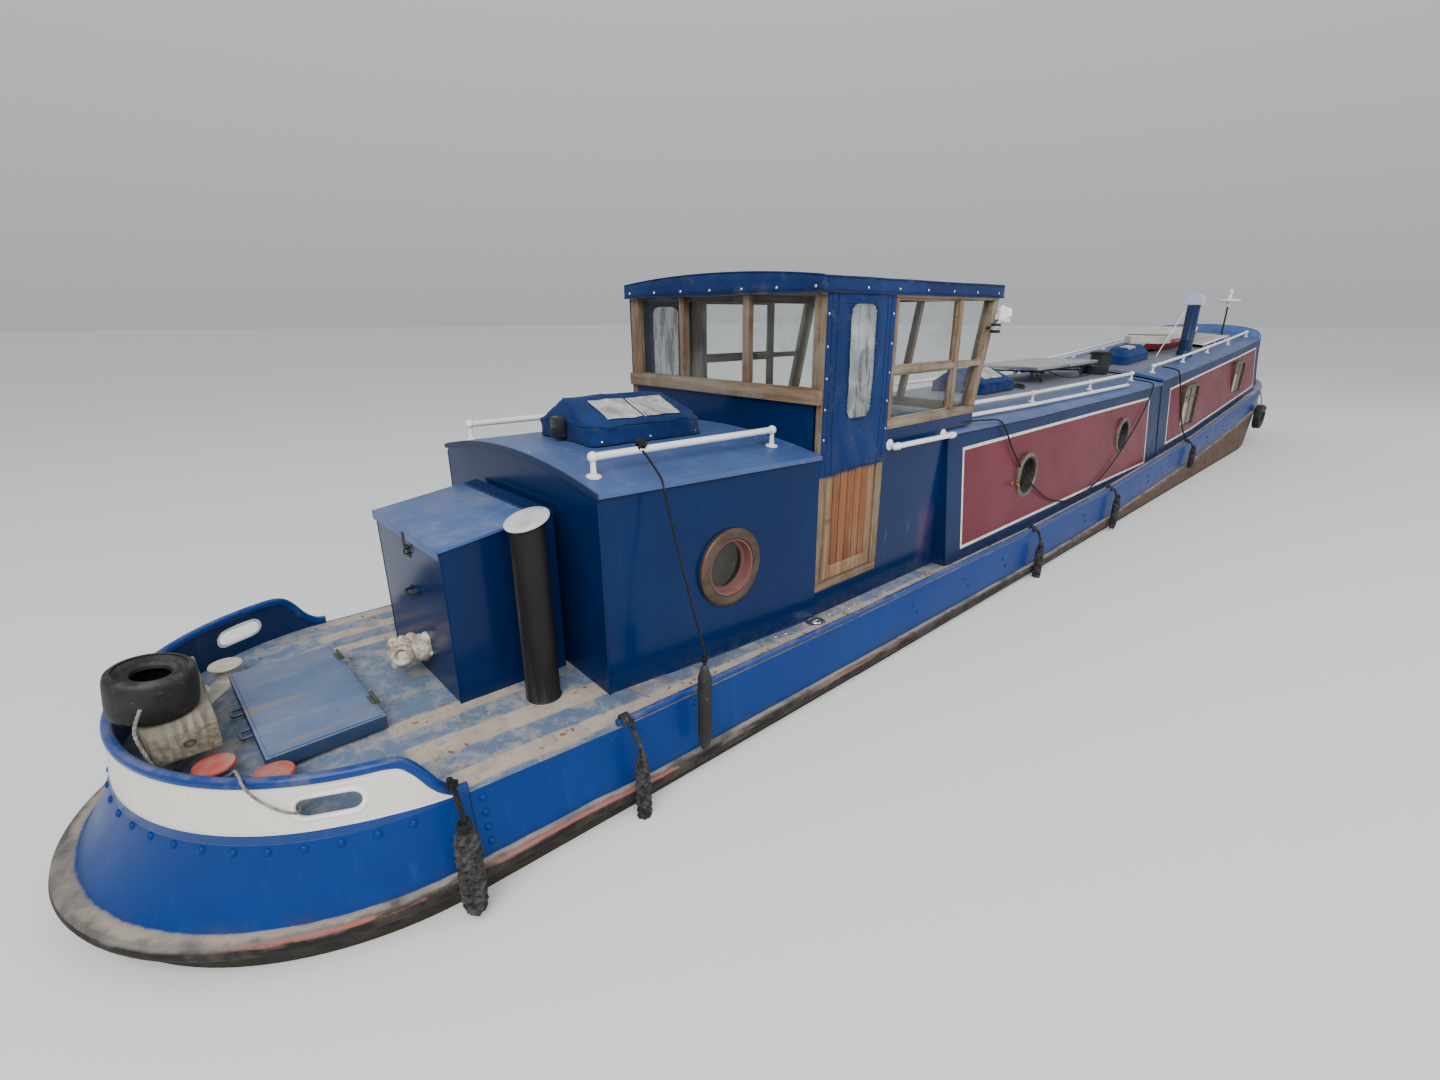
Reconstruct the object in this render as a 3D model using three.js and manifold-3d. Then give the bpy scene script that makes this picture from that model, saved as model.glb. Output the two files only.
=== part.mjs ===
// A steel narrowboat with a raised wheelhouse, built from its plates, frames and fittings.
// Millimetres. x runs forward from the aft cabin's bulkhead, y to port, z up from the waterline.
// The group at the end moves this to the boat's own origin, the middle of the baseplate's underside.
import * as THREE from "three";
import { mergeVertices } from "three/addons/utils/BufferGeometryUtils.js";
import Module from "manifold-3d";

const wasm = await Module();
wasm.setup();

// Driving dimensions of the hull
const DRAFT = 620;
const ORIGIN_X = 6500;
const HALF_BEAM = 1040;
const SHELL = 40;
const PLATE = 20;
const STERN_X = -750;
const SWIM_FRONT = 1600;
const BOW_START = 12100;
const STEM_X = 14950;
const COUNTER_Z = -40;
const BASE_TOP = -DRAFT + PLATE;
const SIDE_DECK_INNER = 780;
const SIDE_DECK_PLATE = 30;
const STRAKE_PROUD = 35;
const STRAKE_DEPTH = 75;
const STRAKE_DROP = 290;
const TOE_RAIL_RADIUS = 16;
const SEAT_GAP = 0.3;

// Driving dimensions of the cabins and wheelhouse
const WALL = 40;
const ROOF_PLATE = 30;
const ROOF_CAMBER = 90;
const ROOF_OVERHANG = 12;
const AFT_CABIN_END = 1385;
const WHEELHOUSE_HALF = 850;
const WHEELHOUSE_END = 2740;
const SCREEN_FOOT_X = 3090;
const SCREEN_HEAD_X = 3300;
const SILL_Z = 1440;
const HEAD_Z = 2250;
const CABIN_STEP_X = 7600;
const CABIN_FRONT = 12750;
const FRAME_THICK = 45;
const GLASS_THICK = 6;

// Joint positions
const PROPELLER_X = -1110;
const SHAFT_Z = -300;
const RUDDER_X = -1380;
const DOOR_HINGE_X = 1931.7;
const HATCH_HINGE_X = -845;
const LOCKER_HINGE_X = -105;
const HELM = { x: 2400, y: -280, z: 1200 };

const finish = (color, roughness, metalness = 0) =>
  new THREE.MeshStandardMaterial({ color, roughness, metalness });
const FINISH = {
  hullBlue: () => finish(0x1f5aa6, 0.45, 0.1),
  cabinNavy: () => finish(0x14365f, 0.35, 0.1),
  maroon: () => finish(0x6d2632, 0.4, 0.1),
  roofBlue: () => finish(0x4a6fa5, 0.6, 0.1),
  deckBlue: () => finish(0x3f6696, 0.75),
  black: () => finish(0x1b1a1a, 0.8),
  white: () => finish(0xe9e9e4, 0.45),
  cream: () => finish(0xd8d2bd, 0.5),
  wood: () => finish(0x8a7357, 0.8),
  varnish: () => finish(0xb0642a, 0.55),
  weathered: () => finish(0x8b857a, 0.9),
  canvas: () => finish(0x1d3463, 0.9),
  hoodCanvas: () => finish(0x4b78b4, 0.9),
  rubber: () => finish(0x2a2a2b, 0.85),
  rope: () => finish(0x5c5852, 0.95),
  glass: () => finish(0x9fb2b4, 0.08),
  bronze: () => finish(0x9a7440, 0.4, 0.9),
  iron: () => finish(0x3c3f42, 0.6, 0.6),
  solar: () => finish(0x27303c, 0.25, 0.2),
  red: () => finish(0xa92c25, 0.5),
};

// Solid helpers

function toSolid(geometry) {
  const bare = geometry.clone();
  bare.deleteAttribute("normal");
  bare.deleteAttribute("uv");
  const merged = mergeVertices(bare, 1e-3);
  return new wasm.Manifold(
    new wasm.Mesh({
      numProp: 3,
      vertProperties: Float32Array.from(merged.attributes.position.array),
      triVerts: Uint32Array.from(merged.index.array),
    }),
  );
}

function fromSolid(solid) {
  const mesh = solid.getMesh();
  const geometry = new THREE.BufferGeometry();
  geometry.setAttribute("position", new THREE.BufferAttribute(Float32Array.from(mesh.vertProperties), 3));
  geometry.setIndex(new THREE.BufferAttribute(Uint32Array.from(mesh.triVerts), 1));
  return geometry;
}

function join(...geometries) {
  return fromSolid(geometries.map(toSolid).reduce((all, next) => all.add(next)));
}

function cut(geometry, ...tools) {
  return fromSolid(tools.map(toSolid).reduce((all, next) => all.subtract(next), toSolid(geometry)));
}

function mirrorY(geometry) {
  const indexed = geometry.index ? geometry.clone() : mergeVertices(geometry.clone());
  indexed.scale(1, -1, 1);
  const index = indexed.index.array;
  for (let i = 0; i < index.length; i += 3) {
    [index[i], index[i + 1]] = [index[i + 1], index[i]];
  }
  return indexed;
}

function box(x0, x1, y0, y1, z0, z1) {
  const geometry = new THREE.BoxGeometry(x1 - x0, y1 - y0, z1 - z0);
  return geometry.translate((x0 + x1) / 2, (y0 + y1) / 2, (z0 + z1) / 2);
}

function rod(from, to, radius, sides = 12) {
  const start = new THREE.Vector3(...from);
  const along = new THREE.Vector3(...to).sub(start);
  const geometry = new THREE.CylinderGeometry(radius, radius, along.length(), sides);
  const turn = new THREE.Quaternion().setFromUnitVectors(new THREE.Vector3(0, 1, 0), along.clone().normalize());
  return geometry.applyQuaternion(turn).translate(...start.addScaledVector(along, 0.5).toArray());
}

function ring(centre, axis, outer, tube, sides = 24, tubeSides = 8) {
  const profile = [];
  for (let i = 0; i <= tubeSides; i++) {
    const angle = (2 * Math.PI * i) / tubeSides;
    profile.push(new THREE.Vector2(outer - tube + tube * Math.cos(angle), tube * Math.sin(angle)));
  }
  const turn = new THREE.Quaternion().setFromUnitVectors(new THREE.Vector3(0, 1, 0), new THREE.Vector3(...axis));
  return new THREE.LatheGeometry(profile, sides).applyQuaternion(turn).translate(...centre);
}

const outline = (points) => new THREE.Shape(points.map(([a, b]) => new THREE.Vector2(a, b)));

// A flat plate drawn in axes a and b, its holes cut right through
function plate(points, holes, depth, axisA, axisB, axisOut, start) {
  const basis = new THREE.Matrix4().makeBasis(axisA, axisB, axisOut);
  const slab = (corners, from, thick) => new THREE.ExtrudeGeometry(outline(corners), { depth: thick, bevelEnabled: false })
    .translate(0, 0, from).applyMatrix4(basis).translate(...start);
  const body = slab(points, 0, depth);
  return holes.length ? cut(body, ...holes.map((hole) => slab(hole, -1, depth + 2))) : body;
}

const X = new THREE.Vector3(1, 0, 0);
const Y = new THREE.Vector3(0, 1, 0);
const Z = new THREE.Vector3(0, 0, 1);
const BACK = new THREE.Vector3(0, -1, 0);

// A plate drawn in y and z, thick along x
const plateYZ = (points, holes, x0, x1) => plate(points, holes, x1 - x0, Y, Z, X, [x0, 0, 0]);
// A plate drawn in x and z, thick along y
const plateXZ = (points, holes, y0, y1) => plate(points, holes, y1 - y0, X, Z, BACK, [0, y1, 0]);
// A plate drawn in x and y, thick along z
const plateXY = (points, holes, z0, z1) => plate(points, holes, z1 - z0, X, Y, Z, [0, 0, z0]);

const rectangle = (a0, a1, b0, b1) => [[a0, b0], [a1, b0], [a1, b1], [a0, b1]];

// Joins rings of equally many points into one closed body. A cap is drawn in two coordinates, capAxes, or
// as a ladder whose rungs join the ring's mirrored points, where its height changes along the boat.
function loft(rings, capAxes, ladder) {
  const count = rings[0].length;
  const position = rings.flat(2);
  const index = [];
  for (let i = 0; i + 1 < rings.length; i++) {
    for (let j = 0; j < count; j++) {
      const a = i * count + j;
      const b = i * count + ((j + 1) % count);
      index.push(a, b, b + count, a, b + count, a + count);
    }
  }
  const addEnd = ladder ? addLadder : addCap;
  addEnd(index, rings[0], 0, capAxes, -1, ladder);
  addEnd(index, rings.at(-1), (rings.length - 1) * count, capAxes, 1, ladder);
  const geometry = new THREE.BufferGeometry();
  geometry.setAttribute("position", new THREE.Float32BufferAttribute(position, 3));
  geometry.setIndex(signedVolume(position, index) < 0 ? index.reverse() : index);
  return geometry;
}

function addCap(index, points, offset, [a, b], side) {
  const flat = points.map((point) => new THREE.Vector2(point[a], point[b]));
  const wanted = Math.sign(THREE.ShapeUtils.area(flat)) * side;
  for (const [i, j, k] of THREE.ShapeUtils.triangulateShape(flat, [])) {
    const turned = Math.sign(THREE.ShapeUtils.area([flat[i], flat[j], flat[k]])) === wanted;
    index.push(offset + i, offset + (turned ? j : k), offset + (turned ? k : j));
  }
}

function addLadder(index, points, offset, capAxes, side, ladder) {
  const turned = side > 0;
  const push = (i, j, k) => index.push(offset + i, offset + (turned ? j : k), offset + (turned ? k : j));
  for (let r = 0; r + 1 < ladder.length; r++) {
    const [left, right] = ladder[r];
    const [nextLeft, nextRight] = ladder[r + 1];
    if (left !== right) push(left, right, nextRight);
    push(left, nextRight, nextLeft);
  }
}

function signedVolume(position, index) {
  let sum = 0;
  const corner = (i) => new THREE.Vector3().fromArray(position, 3 * i);
  for (let i = 0; i < index.length; i += 3) {
    sum += corner(index[i]).dot(corner(index[i + 1]).cross(corner(index[i + 2])));
  }
  return sum;
}

// Straight-line table lookup; rows are [x, value, value, ...]
function lookup(rows, x, column = 1) {
  if (x <= rows[0][0]) return rows[0][column];
  for (let i = 1; i < rows.length; i++) {
    if (x <= rows[i][0]) {
      const k = (x - rows[i - 1][0]) / (rows[i][0] - rows[i - 1][0]);
      return rows[i - 1][column] + k * (rows[i][column] - rows[i - 1][column]);
    }
  }
  return rows.at(-1)[column];
}

// Sheer of the deck edge: x, z
const SHEER = [
  [-750, 435], [0, 418], [1600, 403], [4110, 386], [6030, 420], [9040, 572], [11330, 772],
  [BOW_START, 860], [CABIN_FRONT, 905], [13300, 940], [13900, 980], [14400, 1012], [STEM_X, 1060],
];
// Edge of the two forward roofs: x, z of the upper corner, half-width of the wall's head
const ROOF_EDGE = [
  [WHEELHOUSE_END, 1345, 866], [4110, 1327, 866], [6030, 1337, 866], [CABIN_STEP_X, 1354, 866],
];
const FORE_ROOF_EDGE = [
  [CABIN_STEP_X, 1398, 866], [9040, 1472, 866], [11330, 1622, 858], [CABIN_FRONT, 1730, 842],
];
// Stations of the three roofs
const STATIONS = {
  aftRoof: [-10, AFT_CABIN_END - SEAT_GAP],
  midRoof: [WHEELHOUSE_END, 4110, 6030, CABIN_STEP_X - SEAT_GAP],
  foreRoof: [CABIN_STEP_X, 9040, 11330, CABIN_FRONT + 28],
};
const deckZ = (x) => lookup(SHEER, x);
// Half-width of the deck edge: x, y
const DECK_EDGE = [[STERN_X, 984], [0, 1017.6], [SWIM_FRONT, HALF_BEAM]];

// Half-ellipse of the stern in plan, then straight to the swim's front
function sternRing(level) {
  const points = [];
  const steps = 16;
  const { reach, half, halfForward } = level;
  for (let i = 0; i <= steps; i++) {
    const angle = (Math.PI * i) / steps - Math.PI / 2;
    points.push([STERN_X - reach * Math.cos(angle), half * Math.sin(angle)]);
  }
  points.push([0, half + (halfForward - half) * 0.6], [SWIM_FRONT, halfForward]);
  points.push([SWIM_FRONT, -halfForward], [0, -half - (halfForward - half) * 0.6]);
  return points.map(([x, y]) => [x, y, level.z(x)]);
}

// Rungs from the stern's middle forward, as pairs of the ring's points
const STERN_RUNGS = [[8, 8], ...[1, 2, 3, 4, 5, 6, 7, 8].map((k) => [8 - k, 8 + k]), [20, 17], [19, 18]];

// Levels of the counter, upward: height, reach aft of STERN_X, half-width there, half-width forward
const strakeTop = (x) => deckZ(x) - STRAKE_DROP + (x < 0 ? 15 : 0);
const COUNTER_LEVELS = [
  { z: () => COUNTER_Z, reach: 1120, half: 1000, halfForward: 1030 },
  { z: (x) => strakeTop(x) - STRAKE_DEPTH, reach: 1130, half: 1030, halfForward: 1040 },
  { z: (x) => strakeTop(x) - STRAKE_DEPTH + 8, reach: 1200, half: 1065, halfForward: 1040 + STRAKE_PROUD },
  { z: (x) => strakeTop(x) - 8, reach: 1205, half: 1068, halfForward: 1040 + STRAKE_PROUD },
  { z: strakeTop, reach: 1190, half: 1060, halfForward: 1040 + STRAKE_PROUD - 6 },
  { z: (x) => strakeTop(x) + 12, reach: 1118, half: 1030, halfForward: 1040 },
  { z: (x) => deckZ(x) - 30, reach: 974, half: 992, halfForward: 1040 },
  { z: deckZ, reach: 967, half: 985, halfForward: 1040 },
];

// Plan of the swim at the underwater stern: x, half-width
const SWIM = [[-1000, 28], [-700, 90], [-200, 330], [400, 650], [1000, 900], [SWIM_FRONT, 1010]];
const bothSides = (rows) => [...rows, ...rows.map(([x, y]) => [x, -y]).reverse()];

const HATCH = { x0: -1270, x1: HATCH_HINGE_X - 4, y0: -440, y1: 400, base: 488, top: 550, hinge: 558 };
const HATCH_LUGS = [[-330, -230], [190, 290]];

function hullStern() {
  const counter = loft(COUNTER_LEVELS.map(sternRing), [0, 1], STERN_RUNGS);
  const swim = plateXY(bothSides(SWIM), [], BASE_TOP + SEAT_GAP, COUNTER_Z + 5);
  const sternTube = rod([-1062, 0, SHAFT_Z], [-900, 0, SHAFT_Z], 42, 16);
  const rudderPad = box(RUDDER_X - 90, RUDDER_X + 60, -90, 90, 410, TIMBER.z0 - SEAT_GAP);
  const coaming = box(HATCH.x0 + 20, HATCH.x1 - 20, HATCH.y0 + 20, HATCH.y1 - 20, 410, HATCH.base - SEAT_GAP);
  const lugs = HATCH_LUGS.map(([y0, y1]) => box(HATCH_HINGE_X + 7.5, HATCH_HINGE_X + 30, y0, y1, 410, HATCH.hinge + 8));
  const body = join(counter, swim, sternTube, rudderPad, coaming, ...lugs);
  const well = box(HATCH.x0 + 60, HATCH.x1 - 70, HATCH.y0 + 80, HATCH.y1 - 80, 120, 600);
  const stockBore = rod([RUDDER_X, 0, -80], [RUDDER_X, 0, 160], 25.6, 20);
  const shaftBore = rod([-1100, 0, SHAFT_Z], [-985, 0, SHAFT_Z], 20, 16);
  return cut(body, well, stockBore, shaftBore);
}

function baseplate() {
  const rows = [
    [-1480, 35], [-1000, 35], ...SWIM.slice(1), [4000, 1035], [BOW_START, 1035], [12750, 950], [13300, 800],
    [13900, 545], [14400, 270], [14600, 90],
  ];
  const bottom = plateXY(bothSides(rows), [], -DRAFT, BASE_TOP);
  const skeg = box(-1480, -1001, -35, 35, BASE_TOP - 5, -570);
  return join(bottom, skeg);
}

// Side shell, its rubbing strake and the side deck, as one bent section
function hullSide() {
  const stations = [SWIM_FRONT + SEAT_GAP, 4110, 6030, 9040, 11330, BOW_START - SEAT_GAP];
  const rings = stations.map((x) => {
    const top = deckZ(x);
    const strake = strakeTop(x);
    const outer = HALF_BEAM;
    const section = [
      [outer - 30, BASE_TOP + SEAT_GAP],
      [outer, strake - STRAKE_DEPTH],
      [outer + STRAKE_PROUD, strake - STRAKE_DEPTH + 8],
      [outer + STRAKE_PROUD, strake - 8],
      [outer + STRAKE_PROUD - 6, strake],
      [outer, strake + 12],
      [outer, top],
      [SIDE_DECK_INNER, top],
      [SIDE_DECK_INNER, top - SIDE_DECK_PLATE],
      [outer - SHELL, top - SIDE_DECK_PLATE],
      [outer - SHELL - 30, BASE_TOP + SEAT_GAP],
    ];
    return section.map(([y, z]) => [x, y, z]);
  });
  return loft(rings, [1, 2]);
}

// Bow sections: x, half-width at the deck, at the strake, at the bottom, height of the bottom
const BOW = [
  [BOW_START, 1040, 1040, 1010, BASE_TOP],
  [CABIN_FRONT, 1026, 1015, 935, BASE_TOP],
  [13300, 965, 940, 785, BASE_TOP],
  [13900, 825, 775, 530, BASE_TOP],
  [14400, 600, 525, 255, BASE_TOP],
  [14750, 335, 260, 60, -500],
  [STEM_X, 60, 45, 20, -150],
];

const CLEAT_Y = 862;

function hullBow() {
  const rings = BOW.map(([x, atDeck, atStrake, atBottom, bottom], i) => {
    const top = deckZ(x);
    const strake = strakeTop(x);
    const half = [
      [atBottom, bottom + SEAT_GAP],
      [atStrake, strake - STRAKE_DEPTH],
      [atStrake + STRAKE_PROUD, strake - STRAKE_DEPTH + 8],
      [atStrake + STRAKE_PROUD, strake - 8],
      [atStrake + STRAKE_PROUD - 6, strake],
      [atStrake + 1, strake + 12],
      [atDeck, top],
    ];
    const section = [...half, ...half.map(([y, z]) => [-y, z]).reverse()];
    return section.map(([y, z]) => [i ? x : x + SEAT_GAP, y, z]);
  });
  const shell = loft(rings, [1, 2]);
  const stem = box(STEM_X - 60, STEM_X + 40, -32, 32, -140, 1090);
  const cleats = [-1, 1].map((side) => {
    const foot = box(13560, 13680, side * CLEAT_Y - 20, side * CLEAT_Y + 20, 920, 1010);
    return join(foot, rod([13520, side * CLEAT_Y, 1020], [13720, side * CLEAT_Y, 1030], 18, 8));
  });
  const stud = join(rod([14560, 0, 950], [14560, 0, 1150], 35, 12), rod([14560, -90, 1110], [14560, 90, 1110], 22, 10));
  return join(shell, stem, ...cleats, stud);
}

// The bulwark round the aft deck leans inward: angle from the stern in degrees, height of its top
const BULWARK = { base: 435, top: 650, thick: 14, reach: 965, reachTop: 930, half: 984, halfTop: 956 };

function bulwarkSection(degrees, top) {
  const angle = THREE.MathUtils.degToRad(degrees);
  const { reach, reachTop, half, halfTop, thick } = BULWARK;
  const base = BULWARK.base + SEAT_GAP;
  const lean = (top - BULWARK.base) / (BULWARK.top - BULWARK.base);
  const outerReach = reach + (reachTop - reach) * lean;
  const outerHalf = half + (halfTop - half) * lean;
  const at = (far, wide, z) => [STERN_X - far * Math.cos(angle), wide * Math.sin(angle), z];
  return [
    at(reach, half, base), at(outerReach, outerHalf, top),
    at(outerReach - thick, outerHalf - thick, top), at(reach - thick, half - thick, base),
  ];
}

const BULWARK_ENDS = [[90, 456.5], [87.5, 464], [84, 510], [81, 585], [78, 636]];

function bulwark() {
  const half = [...BULWARK_ENDS];
  for (let i = 6; i > 0; i--) half.push([i * 12, BULWARK.top]);
  const all = [...half, [0, BULWARK.top], ...half.map(([degrees, top]) => [-degrees, top]).reverse()];
  const wall = loft(all.map(([degrees, top]) => bulwarkSection(degrees, top)), [1, 2]);
  const crest = all.map(([degrees, top]) => {
    const [, outer, inner] = bulwarkSection(degrees, top);
    return outer.map((value, i) => (value + inner[i]) / 2);
  });
  const rail = sweep(crest, 20, 8);
  const slots = [-1, 1].map(fairleadSlot);
  return cut(join(wall, rail), ...slots);
}

// A round bar through a list of points
function sweep(points, radius, sides) {
  const path = new THREE.CatmullRomCurve3(points.map((point) => new THREE.Vector3(...point)), false, "centripetal");
  const section = [];
  for (let i = 0; i < sides; i++) {
    const angle = (2 * Math.PI * i) / sides;
    section.push([radius * Math.cos(angle), radius * Math.sin(angle)]);
  }
  const steps = points.length - 1;
  return new THREE.ExtrudeGeometry(outline(section), { steps, extrudePath: path });
}

const FAIRLEAD = { degrees: 64, z: 552, reach: 945, half: 968, halfLength: 104, halfHeight: 36 };

function fairleadSlot(side) {
  const angle = THREE.MathUtils.degToRad(FAIRLEAD.degrees);
  const x = STERN_X - FAIRLEAD.reach * Math.cos(angle);
  const y = side * FAIRLEAD.half * Math.sin(angle);
  const straight = FAIRLEAD.halfLength - FAIRLEAD.halfHeight;
  const along = new THREE.Vector3(Math.sin(angle) * FAIRLEAD.reach, side * FAIRLEAD.half * Math.cos(angle), 0);
  const half = along.normalize().multiplyScalar(straight).toArray();
  const width = 60;
  const bar = new THREE.BoxGeometry(2 * straight, width, 2 * FAIRLEAD.halfHeight);
  bar.rotateZ(Math.atan2(half[1], half[0])).translate(x, y, FAIRLEAD.z);
  const across = [Math.cos(angle) * width, -side * Math.sin(angle) * width, 0];
  const ends = [-1, 1].map((end) => {
    const middle = [x + end * half[0], y + end * half[1], FAIRLEAD.z];
    const from = middle.map((value, i) => value - across[i]);
    const to = middle.map((value, i) => value + across[i]);
    return rod(from, to, FAIRLEAD.halfHeight, 12);
  });
  return join(bar, ...ends);
}

// Toe rail along the deck edge, with the rope fenders that hang from it: x, top and bottom of each body
const STARBOARD_FENDERS = [
  { x: -60, top: 276, bottom: -70 }, { x: 4050, top: 265, bottom: -37 },
  { x: 5880, top: 340, bottom: 42 }, { x: 8630, top: 486, bottom: 250 },
];
const PORT_FENDERS = [{ x: 1200, top: 270, bottom: -20 }, { x: 6600, top: 340, bottom: 40 }];

function toeRail(fenders) {
  const inset = TOE_RAIL_RADIUS + 2;
  const rings = [-80, 0, 1600, 4110, 6030, 9040, 11330, 12050].map((x) =>
    [0, 45, 90, 135, 180, 225, 270, 315].map((degrees) => {
      const angle = THREE.MathUtils.degToRad(degrees);
      const y = lookup(DECK_EDGE, x) - inset + TOE_RAIL_RADIUS * Math.cos(angle);
      return [x, y, deckZ(x) + SEAT_GAP + TOE_RAIL_RADIUS * (1 + Math.sin(angle))];
    }));
  const rail = loft(rings, [1, 2]);
  const hung = fenders.map(({ x, top, bottom }) => {
    const y = HALF_BEAM + STRAKE_PROUD + 46;
    const tie = deckZ(x) + TOE_RAIL_RADIUS;
    const over = rod([x, lookup(DECK_EDGE, x) - inset, tie], [x, y, tie + 12], 9, 6);
    const down = rod([x, y, tie + 16], [x, y, top - 5], 9, 6);
    return join(over, down, rod([x, y, top], [x, y, bottom], 42, 10));
  });
  return join(rail, ...hung);
}

// Deck gear

const TIMBER = { z0: 562, z1: 675 };

function timberBlock() {
  const plan = [[-1362, -262], [-1362, 420], [-1480, 420], [-1590, 170], [-1604, 0], [-1575, -262]];
  return plateXY(plan, [], TIMBER.z0, TIMBER.z1);
}

function tyre(centre, axis, outer, hole, width) {
  const half = width / 2;
  const profile = [
    [hole, -half + 18], [hole + 22, -half], [outer - 35, -half], [outer, -half + 32], [outer, half - 32],
    [outer - 35, half], [hole + 22, half], [hole, half - 18], [hole, -half + 18],
  ].map(([radius, height]) => new THREE.Vector2(radius, height));
  const turn = new THREE.Quaternion().setFromUnitVectors(new THREE.Vector3(0, 1, 0), new THREE.Vector3(...axis));
  return new THREE.LatheGeometry(profile, 28).applyQuaternion(turn).translate(...centre);
}

// Twin posts with mushroom heads on one foot plate
const BOLLARD_POSTS = [[-1413, 332], [-1264, 535]];
const BOLLARD_TOP = 548;
const BOLLARD_FOOT = 435;

function bollards(side) {
  const pieces = BOLLARD_POSTS.map(([x, y]) =>
    join(
      rod([x, side * y, BOLLARD_FOOT + 5], [x, side * y, BOLLARD_TOP - 8], 38, 14),
      rod([x, side * y, BOLLARD_TOP - 16], [x, side * y, BOLLARD_TOP], 68, 18),
    ),
  );
  const [[x0, y0], [x1, y1]] = BOLLARD_POSTS;
  const foot = new THREE.BoxGeometry(Math.hypot(x1 - x0, y1 - y0) + 110, 100, 10);
  foot.rotateZ(Math.atan2(side * (y1 - y0), x1 - x0));
  foot.translate((x0 + x1) / 2, (side * (y0 + y1)) / 2, BOLLARD_FOOT + 5 + SEAT_GAP);
  return join(foot, ...pieces);
}

function hatchLid() {
  const slab = box(HATCH.x0, HATCH.x1, HATCH.y0, HATCH.y1, HATCH.base, HATCH.top);
  const grips = [-150, 60].map((y) => box(HATCH.x0 - 45, HATCH.x0 + 5, y, y + 70, HATCH.base, HATCH.base + 18));
  const barrels = HATCH_LUGS.map(([y0, y1]) => rod([HATCH_HINGE_X, y0, HATCH.hinge], [HATCH_HINGE_X, y1, HATCH.hinge], 7, 10));
  const tabs = HATCH_LUGS.map(([y0, y1]) => box(HATCH_HINGE_X - 30, HATCH_HINGE_X, y0, y1, HATCH.top - 4, HATCH.hinge));
  return join(slab, ...grips, ...barrels, ...tabs);
}

const LOCKER = { x0: -550, x1: -25, y0: -450, y1: 360, aftTop: 1180, foreTop: 1250, wall: 16 };

// Top of the locker's body on its slope
function lockerTop(x) {
  const k = (x - LOCKER.x0) / (LOCKER.x1 - LOCKER.x0);
  return LOCKER.aftTop + k * (LOCKER.foreTop - LOCKER.aftTop);
}

function locker() {
  const { x0, x1, y0, y1, wall } = LOCKER;
  const base = (x) => deckZ(x) + SEAT_GAP;
  const side = [[x0, base(x0)], [x1, base(x1)], [x1, lockerTop(x1)], [x0, lockerTop(x0)]];
  const outer = plateXZ(side, [], y0, y1);
  const inner = box(x0 + wall, LOCKER_HINGE_X - wall, y0 + wall, y1 - wall, 505, 1400);
  const stripAft = LOCKER_HINGE_X + 8;
  const strip = plateXZ(
    [[stripAft, lockerTop(stripAft) - 5], [x1, lockerTop(x1) - 5], [x1, 1264], [stripAft, 1252]],
    [], y0 - 8, y1 + 8,
  );
  return join(cut(outer, inner), strip);
}

function lockerLid() {
  const x0 = LOCKER.x0 - 14;
  const x1 = LOCKER_HINGE_X - 4;
  const gap = 0.4;
  const under = (x) => lockerTop(x) + gap;
  const slab = plateXZ([[x0, under(x0)], [x1, under(x1)], [x1, under(x1) + 14], [x0, under(x0) + 14]], [], LOCKER.y0 - 8, LOCKER.y1 + 8);
  const lip = box(x0, x0 + 6, LOCKER.y0 - 8, LOCKER.y1 + 8, under(x0) - 28, under(x0) + 6);
  const barrel = rod(
    [LOCKER_HINGE_X, LOCKER.y0 + 40, under(x1) + 14], [LOCKER_HINGE_X, LOCKER.y1 - 40, under(x1) + 14], 7, 8,
  );
  return join(slab, lip, barrel);
}

function exhaustStack() {
  const x = -240;
  const y = -600;
  const radius = 82;
  const tube = new THREE.CylinderGeometry(radius, radius, 960, 24).rotateX(Math.PI / 2).translate(x, y, 870);
  const slope = new THREE.BoxGeometry(400, 400, 300).rotateY(0.1).rotateX(0.22).translate(x, y, 1462);
  const foot = deckZ(x - 95) + SEAT_GAP;
  const trimmed = cut(tube, slope, box(x - 200, x + 200, y - 200, y + 200, 300, foot));
  const cap = new THREE.CylinderGeometry(radius + 16, radius + 16, 10, 24);
  cap.rotateX(Math.PI / 2).rotateY(0.1).rotateX(0.22).translate(x, y, 1310);
  return join(trimmed, cap, box(x - 95, x + 95, y - 95, y + 95, foot, foot + 10));
}

// Fender on a lanyard: tie point, where the lanyard turns down, hanging place, top and bottom of the body
function hungFender(points, radius, top, bottom) {
  const [x, y] = points.at(-1);
  const lanyard = points.slice(1).map((point, i) => rod(points[i], point, 8, 6));
  return join(...lanyard, rod([x, y, top], [x, y, bottom], radius, 12));
}

// Cabins

// A cambered slab over stations
function roofSlab(edge, stations, lift, thick) {
  const segments = 8;
  const rings = stations.map((x) => {
    const half = lookup(edge, x, 2) + ROOF_OVERHANG;
    const z = lookup(edge, x) + lift;
    const top = [];
    for (let i = 0; i <= segments; i++) {
      const y = half * (1 - (2 * i) / segments);
      top.push([x, y, z + ROOF_CAMBER * (1 - (y / half) ** 2)]);
    }
    return [...top, ...top.map(([px, y, pz]) => [px, y, pz - thick]).reverse()];
  });
  return loft(rings, [1, 2]);
}

// A cabin roof with a handrail on feet along each side
function roof(edge, stations, rail) {
  const rails = [-1, 1].map((side) => handrail(edge, rail, side));
  return join(roofSlab(edge, stations, 0, ROOF_PLATE), ...rails);
}

// Trims the foot of what stands on a roof to the roof's own slope and camber
const seatOn = (edge, stations, geometry) => cut(geometry, roofSlab(edge, stations, SEAT_GAP, 300));

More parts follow.
